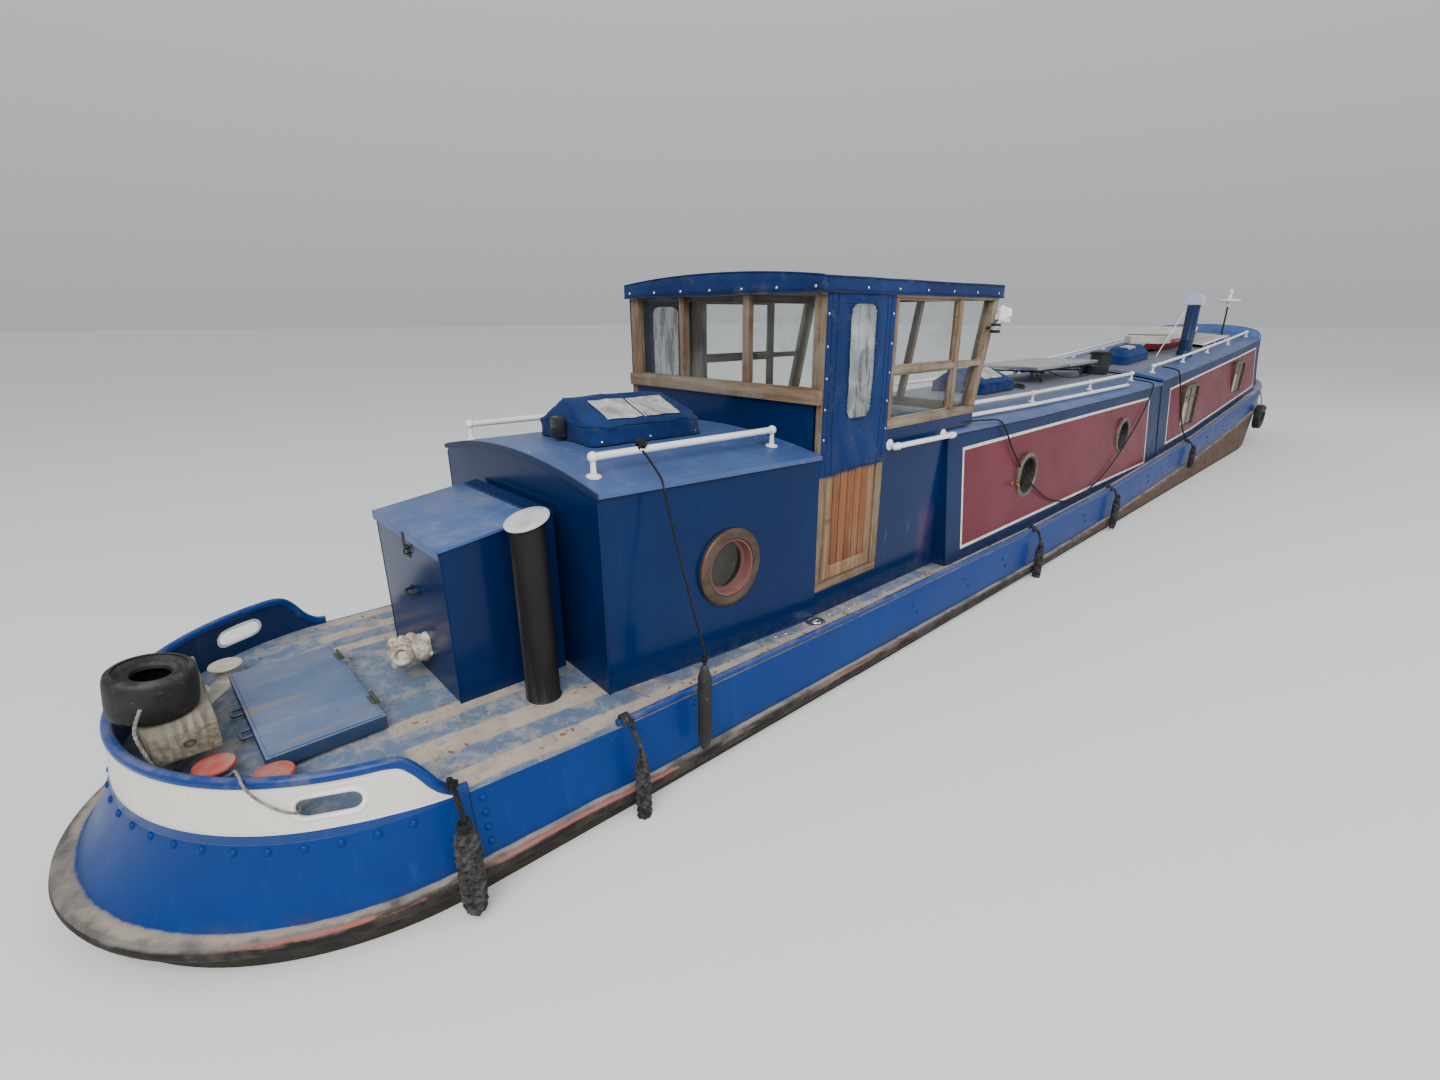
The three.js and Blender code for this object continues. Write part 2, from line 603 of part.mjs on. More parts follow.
function handrail(edge, { feet, y, height }, side) {
  const surface = (x) => {
    const half = lookup(edge, x, 2) + ROOF_OVERHANG;
    return lookup(edge, x) + ROOF_CAMBER * (1 - (y / half) ** 2);
  };
  const bar = sweep(feet.map((x) => [x, side * y, surface(x) + height]), 16, 6);
  const legs = feet.map((x) => rod([x, side * y, surface(x) - 12], [x, side * y, surface(x) + height], 13, 6));
  const pads = feet.map((x) => rod([x, side * y, surface(x) - 12], [x, side * y, surface(x) + 9], 34, 8));
  return join(bar, ...legs, ...pads);
}

// A cabin side that leans inward, standing on the side deck
function cabinSide(stations, footHalf, headHalf, headZ) {
  const rings = stations.map((x) => {
    const foot = footHalf(x);
    const head = headHalf(x);
    const z0 = deckZ(x) + SEAT_GAP;
    const z1 = headZ(x);
    return [[x, foot, z0], [x, head, z1], [x, head - WALL, z1], [x, foot - WALL, z0]];
  });
  return loft(rings, [1, 2]);
}

const RING_PROUD = 14;

// Cuts a round window through a side and joins its raised ring
function withRoundWindows(side, windows) {
  const rings = windows.map(({ x, y, z, outer }) => rod([x, y - 20, z], [x, y + RING_PROUD, z], outer, 24));
  const holes = windows.map(({ x, y, z, hole }) => rod([x, y - 120, z], [x, y + 120, z], hole, 24));
  return cut(join(side, ...rings), ...holes);
}

const AFT_SIDE = { foot: [785, 860], head: [784, 856] };
const AFT_ROOF_EDGE = [[-10, 1395, 788], [AFT_CABIN_END - SEAT_GAP, 1372, 858]];
const alongAft = ([aft, fore]) => (x) => aft + ((fore - aft) * x) / AFT_CABIN_END;

function aftCabinSide() {
  const head = (x) => lookup(AFT_ROOF_EDGE, x) - ROOF_PLATE - SEAT_GAP;
  const side = cabinSide([SEAT_GAP, AFT_CABIN_END - 1], alongAft(AFT_SIDE.foot), alongAft(AFT_SIDE.head), head);
  return withRoundWindows(side, [{ x: 735, y: 822, z: 887, outer: 205, hole: 150 }]);
}

// A wall across the boat under a cambered roof
function crossWall(half, z0, headZ, x0, x1) {
  const arch = [];
  const segments = 8;
  for (let i = 0; i <= segments; i++) {
    const y = half * (1 - (2 * i) / segments);
    arch.push([y, headZ + ROOF_CAMBER * (0.97 - (y / (half + ROOF_OVERHANG)) ** 2)]);
  }
  return plateYZ([[half, z0], ...arch, [-half, z0]], [], x0, x1);
}

function aftBulkhead() {
  const half = AFT_SIDE.head[0] - WALL - 1;
  return crossWall(half, deckZ(0) + SEAT_GAP, 1361, 0, WALL);
}

// A soft box with sloping ends on a cambered roof; base gives the roof's height under it
function softBox(x0, x1, half, base, height, slope, centre = 0) {
  const rings = [
    [x0, 0.9], [x0 + slope, 1], [x1 - slope, 1], [x1, 0.9],
  ].map(([x, k], i) => {
    const z = base(x) + SEAT_GAP;
    const tall = i === 0 || i === 3 ? height * 0.45 : height;
    const side = [[half * k, z], [half * 0.97 * k, z + tall * 0.5], [half * 0.62, z + tall]];
    return [...side, ...side.map(([y, level]) => [-y, level]).reverse()].map(([y, level]) => [x, centre + y, level]);
  });
  return loft(rings, [1, 2]);
}

// Wheelhouse

const DOOR = { x0: 1460, x1: 1940, z0: 600, z1: 2190 };
const rake = (z) => ((z - SILL_Z) * (SCREEN_HEAD_X - SCREEN_FOOT_X)) / (HEAD_Z - SILL_Z);

function wheelhouseSide() {
  const lower = deckZ(WHEELHOUSE_END) + SEAT_GAP;
  const roofTop = 1362;
  const z = SILL_Z - SEAT_GAP;
  const plan = [
    [2006, deckZ(2006) + SEAT_GAP], [WHEELHOUSE_END - SEAT_GAP, lower], [WHEELHOUSE_END - SEAT_GAP, roofTop],
    [SCREEN_FOOT_X, roofTop], [SCREEN_FOOT_X, z], [2006, z],
  ];
  const wall = plateXZ(plan, [], WHEELHOUSE_HALF - WALL, WHEELHOUSE_HALF);
  const apron = plateXZ([[1390, deckZ(1390) + SEAT_GAP], [2000, deckZ(2000) + SEAT_GAP], [2000, 549], [1390, 549]],
    [], WHEELHOUSE_HALF - WALL, WHEELHOUSE_HALF);
  const link = plateXZ(rectangle(1990, 2020, deckZ(1390) + 1, 549), [], WHEELHOUSE_HALF - WALL, WHEELHOUSE_HALF);
  const rail = join(
    rod([2030, WHEELHOUSE_HALF + 62, 1345], [2730, WHEELHOUSE_HALF + 62, 1335], 15, 8),
    rod([2060, WHEELHOUSE_HALF - 5, 1345], [2060, WHEELHOUSE_HALF + 62, 1345], 12, 8),
    rod([2700, WHEELHOUSE_HALF - 5, 1335], [2700, WHEELHOUSE_HALF + 62, 1335], 12, 8),
  );
  return join(wall, apron, link, rail);
}

function sideFrame() {
  const edge = [
    [1390, 550], [2005.5, 550], [2005.5, SILL_Z], [SCREEN_FOOT_X, SILL_Z], [SCREEN_HEAD_X, HEAD_Z], [1390, HEAD_Z],
  ];
  const doorway = rectangle(DOOR.x0, DOOR.x1, DOOR.z0, DOOR.z1);
  const panes = [[1495, 1765, 2055, 2755], [1805, 2190, 2055, 2755]];
  const holes = panes.map(([z0, z1, x0, x1]) => rectangle(x0, x1, z0, z1));
  const raked = panes.map(([z0, z1]) => {
    const front = (z) => SCREEN_FOOT_X + rake(z) - 62;
    return [[2803, z0], [front(z0), z0], [front(z1), z1], [2803, z1]];
  });
  return plateXZ(edge, [doorway, ...holes, ...raked], WHEELHOUSE_HALF - FRAME_THICK, WHEELHOUSE_HALF);
}

const AFT_SILL_Z = 1637;

function aftFrame() {
  const half = WHEELHOUSE_HALF - FRAME_THICK - SEAT_GAP;
  const edge = rectangle(-half, half, AFT_SILL_Z, HEAD_Z);
  const posts = [half, 310, -260, -half];
  const holes = posts.slice(1).map((post, i) => {
    const right = posts[i] - (i ? 24 : 40);
    const left = post + (i === 2 ? 40 : 24);
    return rectangle(left, right, 1722, 2205);
  });
  const frame = plateYZ(edge, holes, 1392, 1392 + FRAME_THICK);
  const sill = box(1360, 1394, -WHEELHOUSE_HALF, WHEELHOUSE_HALF, AFT_SILL_Z, 1720);
  return cut(join(frame, sill), box(1389, 1400, half, 900, 1600, 1800), box(1389, 1400, -900, -half, 1600, 1800));
}

function frontFrame() {
  const half = WHEELHOUSE_HALF - FRAME_THICK - SEAT_GAP;
  const edge = rectangle(-half, half, SILL_Z + 5, HEAD_Z);
  const posts = [half, 260, -260, -half];
  const holes = posts.slice(1).map((post, i) => {
    const right = posts[i] - (i ? 24 : 40);
    const left = post + (i === 2 ? 40 : 24);
    return rectangle(left, right, SILL_Z + 70, 2190);
  });
  const frame = plateYZ(edge, holes, SCREEN_FOOT_X - 50, SCREEN_FOOT_X - 50 + FRAME_THICK);
  return shearToRake(frame);
}

function shearToRake(geometry) {
  const position = geometry.attributes.position;
  for (let i = 0; i < position.count; i++) {
    position.setX(i, position.getX(i) + rake(position.getZ(i)));
  }
  return geometry;
}

// Panes lie against the inner faces of the frames
function sidePane() {
  const y1 = WHEELHOUSE_HALF - FRAME_THICK - SEAT_GAP;
  const front = (z) => SCREEN_FOOT_X + rake(z) - 58;
  return plateXZ([[2040, 1480], [front(1480), 1480], [front(2205), 2205], [2040, 2205]], [], y1 - GLASS_THICK, y1);
}

function frontPane() {
  const half = WHEELHOUSE_HALF - FRAME_THICK - GLASS_THICK - 12;
  const x1 = SCREEN_FOOT_X - 50 - SEAT_GAP;
  return shearToRake(plateYZ(rectangle(-half, half, SILL_Z + 50, 2205), [], x1 - GLASS_THICK, x1));
}

function aftPane() {
  const half = WHEELHOUSE_HALF - FRAME_THICK - 12;
  const x0 = 1392 + FRAME_THICK + SEAT_GAP;
  return plateYZ(rectangle(-half, half, 1700, 2215), [], x0, x0 + GLASS_THICK);
}

function wheelhouseRoof() {
  const half = WHEELHOUSE_HALF + 14;
  const edgeZ = 2290;
  const crown = 38;
  const rings = [1352, SCREEN_HEAD_X + 22].map((x) => {
    const top = [];
    for (let i = 0; i <= 8; i++) {
      const y = half * (1 - i / 4);
      top.push([x, y, edgeZ + crown * (1 - (y / half) ** 2)]);
    }
    return [...top, [x, -half, 2206], [x, half, 2206]];
  });
  const body = loft(rings, [1, 2]);
  const under = box(1366, SCREEN_HEAD_X + 8, -half + 12, half - 12, 2150, HEAD_Z + SEAT_GAP);
  return cut(body, under);
}

function doorLeaf() {
  const leaf = box(1466, 1930, 815, 845, 606, 1310);
  const barrels = [700, 1180].map((z) => rod([DOOR_HINGE_X, 807, z], [DOOR_HINGE_X, 807, z + 70], 8, 8));
  const tabs = [700, 1180].map((z) => box(1870, 1930, 806, 816, z, z + 70));
  return join(leaf, ...barrels, ...tabs);
}

function doorCanvas() {
  const y0 = WHEELHOUSE_HALF + SEAT_GAP;
  return box(AFT_CABIN_END + 2, 2012, y0, y0 + 12, 1252, 2205);
}

function wheelhouseFloor() {
  const half = SIDE_DECK_INNER - SEAT_GAP;
  const floor = box(SWIM_FRONT + SEAT_GAP, WHEELHOUSE_END - SEAT_GAP, -half, half, 380, 402);
  const console = box(2480, WHEELHOUSE_END - SEAT_GAP, -520, -40, 400, 1120);
  const head = box(HELM.x + 55, 2560, HELM.y - 90, HELM.y + 90, 1000, 1280);
  return join(floor, console, head);
}

function steeringWheel() {
  const { x, y, z } = HELM;
  const rim = ring([x, y, z], [1, 0, 0], 270, 17, 24, 6);
  const spokes = [];
  for (let i = 0; i < 6; i++) {
    const angle = (i * Math.PI) / 3 + Math.PI / 6;
    spokes.push(rod([x, y, z], [x, y + 330 * Math.cos(angle), z + 330 * Math.sin(angle)], 11, 6));
  }
  const hub = rod([x - 35, y, z], [x + 55 - SEAT_GAP, y, z], 45, 16);
  return join(rim, hub, ...spokes);
}

function aftWall() {
  const half = 790;
  const wall = [];
  for (let i = 0; i <= 8; i++) {
    const y = half * (1 - i / 4);
    wall.push([y, 1373 + ROOF_CAMBER * (1 - (y / (858 + ROOF_OVERHANG)) ** 2)]);
  }
  return plateYZ([[half, AFT_SILL_Z - SEAT_GAP], ...wall, [-half, AFT_SILL_Z - SEAT_GAP]], [], 1385, 1385 + PLATE);
}

function midBulkhead() {
  const half = SIDE_DECK_INNER - SEAT_GAP;
  const deck = deckZ(WHEELHOUSE_END) + SEAT_GAP;
  const head = 1345 - ROOF_PLATE - SEAT_GAP;
  const plan = [[half, BASE_TOP + SEAT_GAP], [half, deck], [909, deck], [825, head], [-825, head], [-909, deck],
    [-half, deck], [-half, BASE_TOP + SEAT_GAP]];
  const companionway = rectangle(0, 560, 430, 1250);
  return plateYZ(plan, [companionway], WHEELHOUSE_END + SEAT_GAP, WHEELHOUSE_END + WALL);
}

// Stations of the fore cabin's sides
const FORE_STATIONS = [CABIN_STEP_X, 9040, 11330, BOW_START, CABIN_FRONT];
const MID_PORTS = [{ x: 4030, z: 850 }, { x: 6340, z: 900 }];
const FORE_WINDOWS = [{ x: 8800, z: 990, width: 620, height: 495 }, { x: 11400, z: 1190, width: 600, height: 440 }];
const sideY = (edge, x, z) => {
  const k = (z - deckZ(x)) / (lookup(edge, x) - ROOF_PLATE - deckZ(x));
  return 950 + k * (lookup(edge, x, 2) - 950);
};

function midCabinSide() {
  const head = (x) => lookup(ROOF_EDGE, x) - ROOF_PLATE - SEAT_GAP;
  const stations = [WHEELHOUSE_END + SEAT_GAP, ...STATIONS.midRoof.slice(1)];
  const side = cabinSide(stations, () => 950, (x) => lookup(ROOF_EDGE, x, 2), head);
  const windows = MID_PORTS.map(({ x, z }) => ({ x, z, y: sideY(ROOF_EDGE, x, z), outer: 185, hole: 150 }));
  return withRoundWindows(side, windows);
}

function foreCabinSide() {
  const head = (x) => lookup(FORE_ROOF_EDGE, x) - ROOF_PLATE - SEAT_GAP;
  const foot = (x) => (x > BOW_START ? 945 : 950);
  const side = cabinSide(FORE_STATIONS, foot, (x) => lookup(FORE_ROOF_EDGE, x, 2), head);
  const holes = FORE_WINDOWS.map(({ x, z, width, height }) =>
    box(x - width / 2, x + width / 2, 700, 1100, z - height / 2, z + height / 2));
  return cut(side, ...holes);
}

function foreBulkhead() {
  const z = lookup(FORE_ROOF_EDGE, CABIN_FRONT) - ROOF_PLATE - 2;
  return plateYZ([[895, 906], [798, z], [-798, z], [-895, 906]], [], CABIN_FRONT - WALL, CABIN_FRONT);
}

// Roof gear

function roofSurface(edge, x, y) {
  const half = lookup(edge, x, 2) + ROOF_OVERHANG;
  return lookup(edge, x) + ROOF_CAMBER * (1 - (y / half) ** 2);
}

function solarPanel() {
  const panel = box(5630, 7320, -240, 440, 1560, 1595);
  const legs = [];
  for (const x of [5900, 7000]) {
    for (const y of [-180, 380]) {
      legs.push(box(x - 25, x + 25, y - 15, y + 15, 1350, 1570));
    }
  }
  return seatOn(ROOF_EDGE, STATIONS.midRoof, join(panel, ...legs));
}

function roofTub() {
  const x = 7790;
  const base = roofSurface(FORE_ROOF_EDGE, x, 0);
  const tub = new THREE.CylinderGeometry(120, 112, 190, 20).rotateX(Math.PI / 2).translate(x, -110, base + 75);
  const inside = new THREE.CylinderGeometry(104, 100, 170, 20).rotateX(Math.PI / 2).translate(x, -110, base + 120);
  return seatOn(FORE_ROOF_EDGE, STATIONS.foreRoof, cut(tub, inside));
}

function roofTender() {
  const centre = -30;
  // x, half-width at the gunwale, half-width at the keel, keel height, gunwale height
  const rows = [
    [9250, 60, 20, 100, 235], [9550, 230, 120, 40, 215], [10150, 310, 210, 0, 200], [10850, 300, 210, 0, 200],
    [11250, 270, 170, 10, 210],
  ];
  const rings = rows.map(([x, wide, narrow, low, high]) => {
    const base = roofSurface(FORE_ROOF_EDGE, x, 0) + 1;
    return [[x, centre - wide, base + high], [x, centre - narrow, base + low], [x, centre + narrow, base + low], [x, centre + wide, base + high]];
  });
  return loft(rings, [1, 2]);
}

function chimney() {
  const x = 9690;
  const y = -540;
  const base = roofSurface(FORE_ROOF_EDGE, x, y);
  const collar = new THREE.CylinderGeometry(92, 92, 110, 20).rotateX(Math.PI / 2).translate(x, y, base + 5);
  const pipe = new THREE.CylinderGeometry(76, 76, 640, 20).rotateX(Math.PI / 2).translate(x, y, base + 340);
  const cowl = new THREE.CylinderGeometry(114, 114, 170, 20, 1).rotateZ(0.9).translate(x, y, base + 700);
  const trim = box(x - 400, x + 400, y - 400, y + 400, base + 500, base + 655);
  return seatOn(FORE_ROOF_EDGE, STATIONS.foreRoof, join(collar, pipe, cut(cowl, trim)));
}

function aerial() {
  const x = 12450;
  const y = -380;
  const base = roofSurface(FORE_ROOF_EDGE, x, y);
  const disc = new THREE.CylinderGeometry(145, 155, 45, 24).rotateX(Math.PI / 2).translate(x, y, base + 540);
  const pole = rod([x, y, base - 20], [x, y, base + 700], 14, 8);
  const foot = rod([x, y, base - 30], [x, y, base + 14], 60, 12);
  const knob = rod([x, y, base + 640], [x, y, base + 720], 30, 10);
  return seatOn(FORE_ROOF_EDGE, STATIONS.foreRoof, join(pole, foot, disc, knob));
}

// Hood over the bow well: x, foot half-width, shoulder half-width, shoulder height, crown height
const HOOD = [
  [CABIN_FRONT + 35, 920, 830, 1780, 1950], [13400, 850, 765, 1740, 1935], [13950, 700, 600, 1640, 1850],
  [14420, 500, 300, 1230, 1330],
];

function bowHood() {
  const rings = HOOD.map(([x, foot, shoulder, shoulderZ, crownZ]) => {
    const base = deckZ(x) + SEAT_GAP;
    const half = [[foot, base], [shoulder, shoulderZ], [shoulder * 0.82, shoulderZ + (crownZ - shoulderZ) * 0.62]];
    return [...half, [0, crownZ], ...half.map(([y, z]) => [-y, z]).reverse()].map(([y, z]) => [x, y, z]);
  });
  return loft(rings, [1, 2]);
}

// Running gear

function propeller() {
  const hub = rod([PROPELLER_X - 55, 0, SHAFT_Z], [-1064, 0, SHAFT_Z], 45, 16);
  const shaft = rod([-1070, 0, SHAFT_Z], [-1000, 0, SHAFT_Z], 19, 16);
  const blades = [0, 1, 2].map((i) => {
    const blade = outline([[-42, 20], [-95, 120], [-70, 205], [0, 220], [75, 195], [90, 110], [42, 20]]);
    const geometry = new THREE.ExtrudeGeometry(blade, { depth: 12, bevelEnabled: false }).translate(0, 0, -6);
    geometry.rotateY(THREE.MathUtils.degToRad(62));
    geometry.rotateX(Math.PI / 2 + (i * 2 * Math.PI) / 3);
    return geometry.translate(PROPELLER_X, 0, SHAFT_Z);
  });
  return join(hub, shaft, ...blades);
}

function rudder() {
  const blade = plateXZ([[-1225, -525], [-1740, -525], [-1760, -300], [-1735, -100], [-1225, -100]], [], -9, 9);
  const stock = rod([RUDDER_X, 0, -568], [RUDDER_X, 0, 150], 25, 20);
  return join(blade, stock);
}

const boat = new THREE.Group();
boat.position.set(-ORIGIN_X, 0, DRAFT);

function add(name, geometry, material) {
  const mesh = new THREE.Mesh(geometry, material);
  mesh.name = name;
  boat.add(mesh);
}

// Adds a piece drawn on the port side and its mirror image to starboard
function addPair(name, geometry, makeMaterial) {
  add(`${name}_port`, geometry, makeMaterial());
  add(`${name}_starboard`, mirrorY(geometry), makeMaterial());
}

add("hull_baseplate", baseplate(), FINISH.black());
add("hull_stern", hullStern(), FINISH.hullBlue());
add("hull_bow", hullBow(), FINISH.hullBlue());
addPair("hull_side", hullSide(), FINISH.hullBlue);
add("stern_bulwark", bulwark(), FINISH.cream());
add("toe_rail_starboard", mirrorY(toeRail(STARBOARD_FENDERS)), FINISH.hullBlue());
add("toe_rail_port", toeRail(PORT_FENDERS), FINISH.hullBlue());
add("stern_fender", hungFender([[-806, -980, 517.4], [-826, -1118, 490], [-826, -1118, 385]], 46, 390, 40), FINISH.rope());
add("slim_fender", hungFender([[345, -635, 1540], [352, -855, 1418], [300, -1112, 660], [300, -1112, 600]], 30, 607, 167),
  FINISH.rubber());
add("bow_tyre", tyre([12650, -1114.8, 490], [0, 1, 0], 190, 100, 110), FINISH.rubber());

add("timber_block", timberBlock(), FINISH.weathered());
add("stern_tyre", tyre([-1518, -50, 778.5], [0.139, -0.07, 0.988], 140, 60, 175), FINISH.rubber());
add("bollards_starboard", bollards(-1), FINISH.red());
add("bollards_port", bollards(1), FINISH.cream());
add("deck_hatch_lid", hatchLid(), FINISH.deckBlue());
add("locker", locker(), FINISH.cabinNavy());
add("locker_lid", lockerLid(), FINISH.roofBlue());
add("exhaust_stack", exhaustStack(), FINISH.black());

addPair("aft_cabin_side", aftCabinSide(), FINISH.cabinNavy);
add("aft_bulkhead", aftBulkhead(), FINISH.cabinNavy());
add("aft_cabin_roof", roof(AFT_ROOF_EDGE, STATIONS.aftRoof, { feet: [86, 1230], y: 635, height: 88 }), FINISH.roofBlue());
add("pigeon_box_cover", softBox(310, 1050, 275, (x) => lookup(AFT_ROOF_EDGE, x) + ROOF_CAMBER, 220, 130), FINISH.canvas());

add("wheelhouse_floor", wheelhouseFloor(), FINISH.wood());
add("wheelhouse_aft_wall", aftWall(), FINISH.cabinNavy());
addPair("wheelhouse_side", wheelhouseSide(), FINISH.cabinNavy);
add("window_frame_aft", aftFrame(), FINISH.wood());
addPair("window_frame", sideFrame(), FINISH.wood);
add("window_frame_front", frontFrame(), FINISH.wood());
add("glass_aft", aftPane(), FINISH.glass());
addPair("glass", sidePane(), FINISH.glass);
add("glass_front", frontPane(), FINISH.glass());
add("wheelhouse_roof", wheelhouseRoof(), FINISH.canvas());
addPair("door", doorLeaf(), FINISH.varnish);
addPair("door_canvas", doorCanvas(), FINISH.canvas);
add("steering_wheel", steeringWheel(), FINISH.varnish());

add("mid_bulkhead", midBulkhead(), FINISH.cabinNavy());
addPair("mid_cabin_side", midCabinSide(), FINISH.maroon);
add("mid_cabin_roof", roof(ROOF_EDGE, STATIONS.midRoof, { feet: [3200, 4600, 5970, 7240], y: 640, height: 75 }), FINISH.roofBlue());
addPair("fore_cabin_side", foreCabinSide(), FINISH.maroon);
add("fore_bulkhead", foreBulkhead(), FINISH.cabinNavy());
add("fore_cabin_roof",
  roof(FORE_ROOF_EDGE, STATIONS.foreRoof, { feet: [7850, 9100, 10270, 11460, 12640], y: 680, height: 75 }), FINISH.roofBlue());

add("solar_panel", solarPanel(), FINISH.solar());
add("roof_cover_mid", softBox(8050, 8950, 160, (x) => lookup(FORE_ROOF_EDGE, x) + ROOF_CAMBER, 200, 140, -170), FINISH.canvas());
add("roof_tub", roofTub(), FINISH.rubber());
add("roof_tender", roofTender(), FINISH.red());
add("chimney", chimney(), FINISH.hullBlue());
add("aerial", aerial(), FINISH.white());
add("bow_hood", bowHood(), FINISH.hoodCanvas());

add("engine_block", box(1750, 2600, -330, 330, BASE_TOP + SEAT_GAP, 200), FINISH.iron());
add("rudder", rudder(), FINISH.black());
add("propeller", propeller(), FINISH.bronze());

export default boat;
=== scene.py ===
from math import cos, exp, hypot, pi, radians, sin
import bmesh
import bpy
import numpy as np
from mathutils import Matrix, Vector
from mathutils.bvhtree import BVHTree


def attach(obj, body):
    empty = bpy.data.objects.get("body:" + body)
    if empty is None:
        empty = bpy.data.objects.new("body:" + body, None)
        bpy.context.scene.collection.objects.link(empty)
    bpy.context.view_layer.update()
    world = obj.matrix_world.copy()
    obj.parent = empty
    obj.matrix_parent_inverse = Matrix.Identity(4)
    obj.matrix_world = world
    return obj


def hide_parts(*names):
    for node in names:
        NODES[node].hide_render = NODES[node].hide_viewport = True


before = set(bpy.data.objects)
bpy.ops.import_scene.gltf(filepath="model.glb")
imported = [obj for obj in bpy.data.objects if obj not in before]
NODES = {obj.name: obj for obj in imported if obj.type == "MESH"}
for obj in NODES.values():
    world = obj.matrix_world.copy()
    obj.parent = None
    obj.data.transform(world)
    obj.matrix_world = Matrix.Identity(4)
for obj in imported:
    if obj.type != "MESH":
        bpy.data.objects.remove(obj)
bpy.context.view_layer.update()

# The boat is measured in metres from the aft cabin's bulkhead, on the centre line, at the waterline.
# The row frame's origin lies 6.5 m further forward and 0.62 m lower.
ORIGIN = Vector((-6.5, 0.0, 0.62))
SIDES = (-1, "starboard"), (1, "port")

# camera, floor and light
CAMERA_AT = ORIGIN + Vector((-1.4365, -3.0775, 2.0927))
YAW, PITCH, ROLL = 0.8204, 0.3272, 0.0021
FOCAL_PX, FRAME_PX = 659.6, 1440.0
SENSOR_MM = 36.0


def add(name, data):
    """A new object in the scene."""
    obj = bpy.data.objects.new(name, data)
    bpy.context.collection.objects.link(obj)
    return obj


def make_camera():
    data = bpy.data.cameras.new("camera")
    data.sensor_width = SENSOR_MM
    data.lens = SENSOR_MM * FOCAL_PX / FRAME_PX
    data.clip_end = 500
    camera = add("camera", data)
    forward = Vector((cos(YAW) * cos(PITCH), sin(YAW) * cos(PITCH), -sin(PITCH)))
    right = forward.cross(Vector((0, 0, 1))).normalized()
    down = forward.cross(right)
    c, s = cos(ROLL), sin(ROLL)
    right, down = c * right + s * down, c * down - s * right
    turn = Matrix((right, -down, -forward)).transposed().to_4x4()
    camera.matrix_world = Matrix.Translation(CAMERA_AT) @ turn
    bpy.context.scene.camera = camera


def make_stage():
    size = 150.0
    mesh = bpy.data.meshes.new("floor")
    corners = [(-size, -size), (size, -size), (size, size), (-size, size)]
    mesh.from_pydata([(x, y, ORIGIN.z) for x, y in corners], [], [(0, 1, 2, 3)])
    floor = add("floor", mesh)
    material = bpy.data.materials.new("floor")
    material.use_nodes = True
    shader = material.node_tree.nodes["Principled BSDF"]
    shader.inputs["Base Color"].default_value = 0.74, 0.74, 0.735, 1
    shader.inputs["Roughness"].default_value = 0.85
    mesh.materials.append(material)


def make_light():
    world = bpy.data.worlds.new("studio")
    bpy.context.scene.world = world
    world.use_nodes = True
    tree = world.node_tree
    tree.nodes.clear()
    place = tree.nodes.new("ShaderNodeTexCoord")
    split = tree.nodes.new("ShaderNodeSeparateXYZ")
    ramp = tree.nodes.new("ShaderNodeValToRGB")
    back = tree.nodes.new("ShaderNodeBackground")
    out = tree.nodes.new("ShaderNodeOutputWorld")
    tree.links.new(place.outputs["Generated"], split.inputs[0])
    tree.links.new(split.outputs["Z"], ramp.inputs["Fac"])
    tree.links.new(ramp.outputs["Color"], back.inputs["Color"])
    tree.links.new(back.outputs[0], out.inputs[0])
    stops = [(0.0, 0.62), (0.12, 0.7), (0.45, 0.92), (1.0, 1.0)]
    elements = ramp.color_ramp.elements
    while len(elements) < len(stops):
        elements.new(0.5)
    for element, (at, value) in zip(elements, stops):
        element.position = at
        element.color = value * 0.98, value * 0.995, value * 1.02, 1
    back.inputs["Strength"].default_value = 0.78
    for name, at, aim, size, power in LIGHTS:
        data = bpy.data.lights.new(name, "AREA")
        data.shape = "RECTANGLE"
        data.size, data.size_y = size
        data.energy = power
        light = add(name, data)
        light.location = at
        light.rotation_euler = (Vector(aim) - Vector(at)).to_track_quat("-Z", "Y").to_euler()


# name, place, aim, size, power
LIGHTS = [("key", (-13.0, -9.0, 12.0), (-4.0, 0.0, 1.0), (14.0, 10.0), 2900),
    ("fill", (8.0, -14.0, 10.0), (2.0, 0.0, 1.0), (16.0, 8.0), 950)]


# material kit


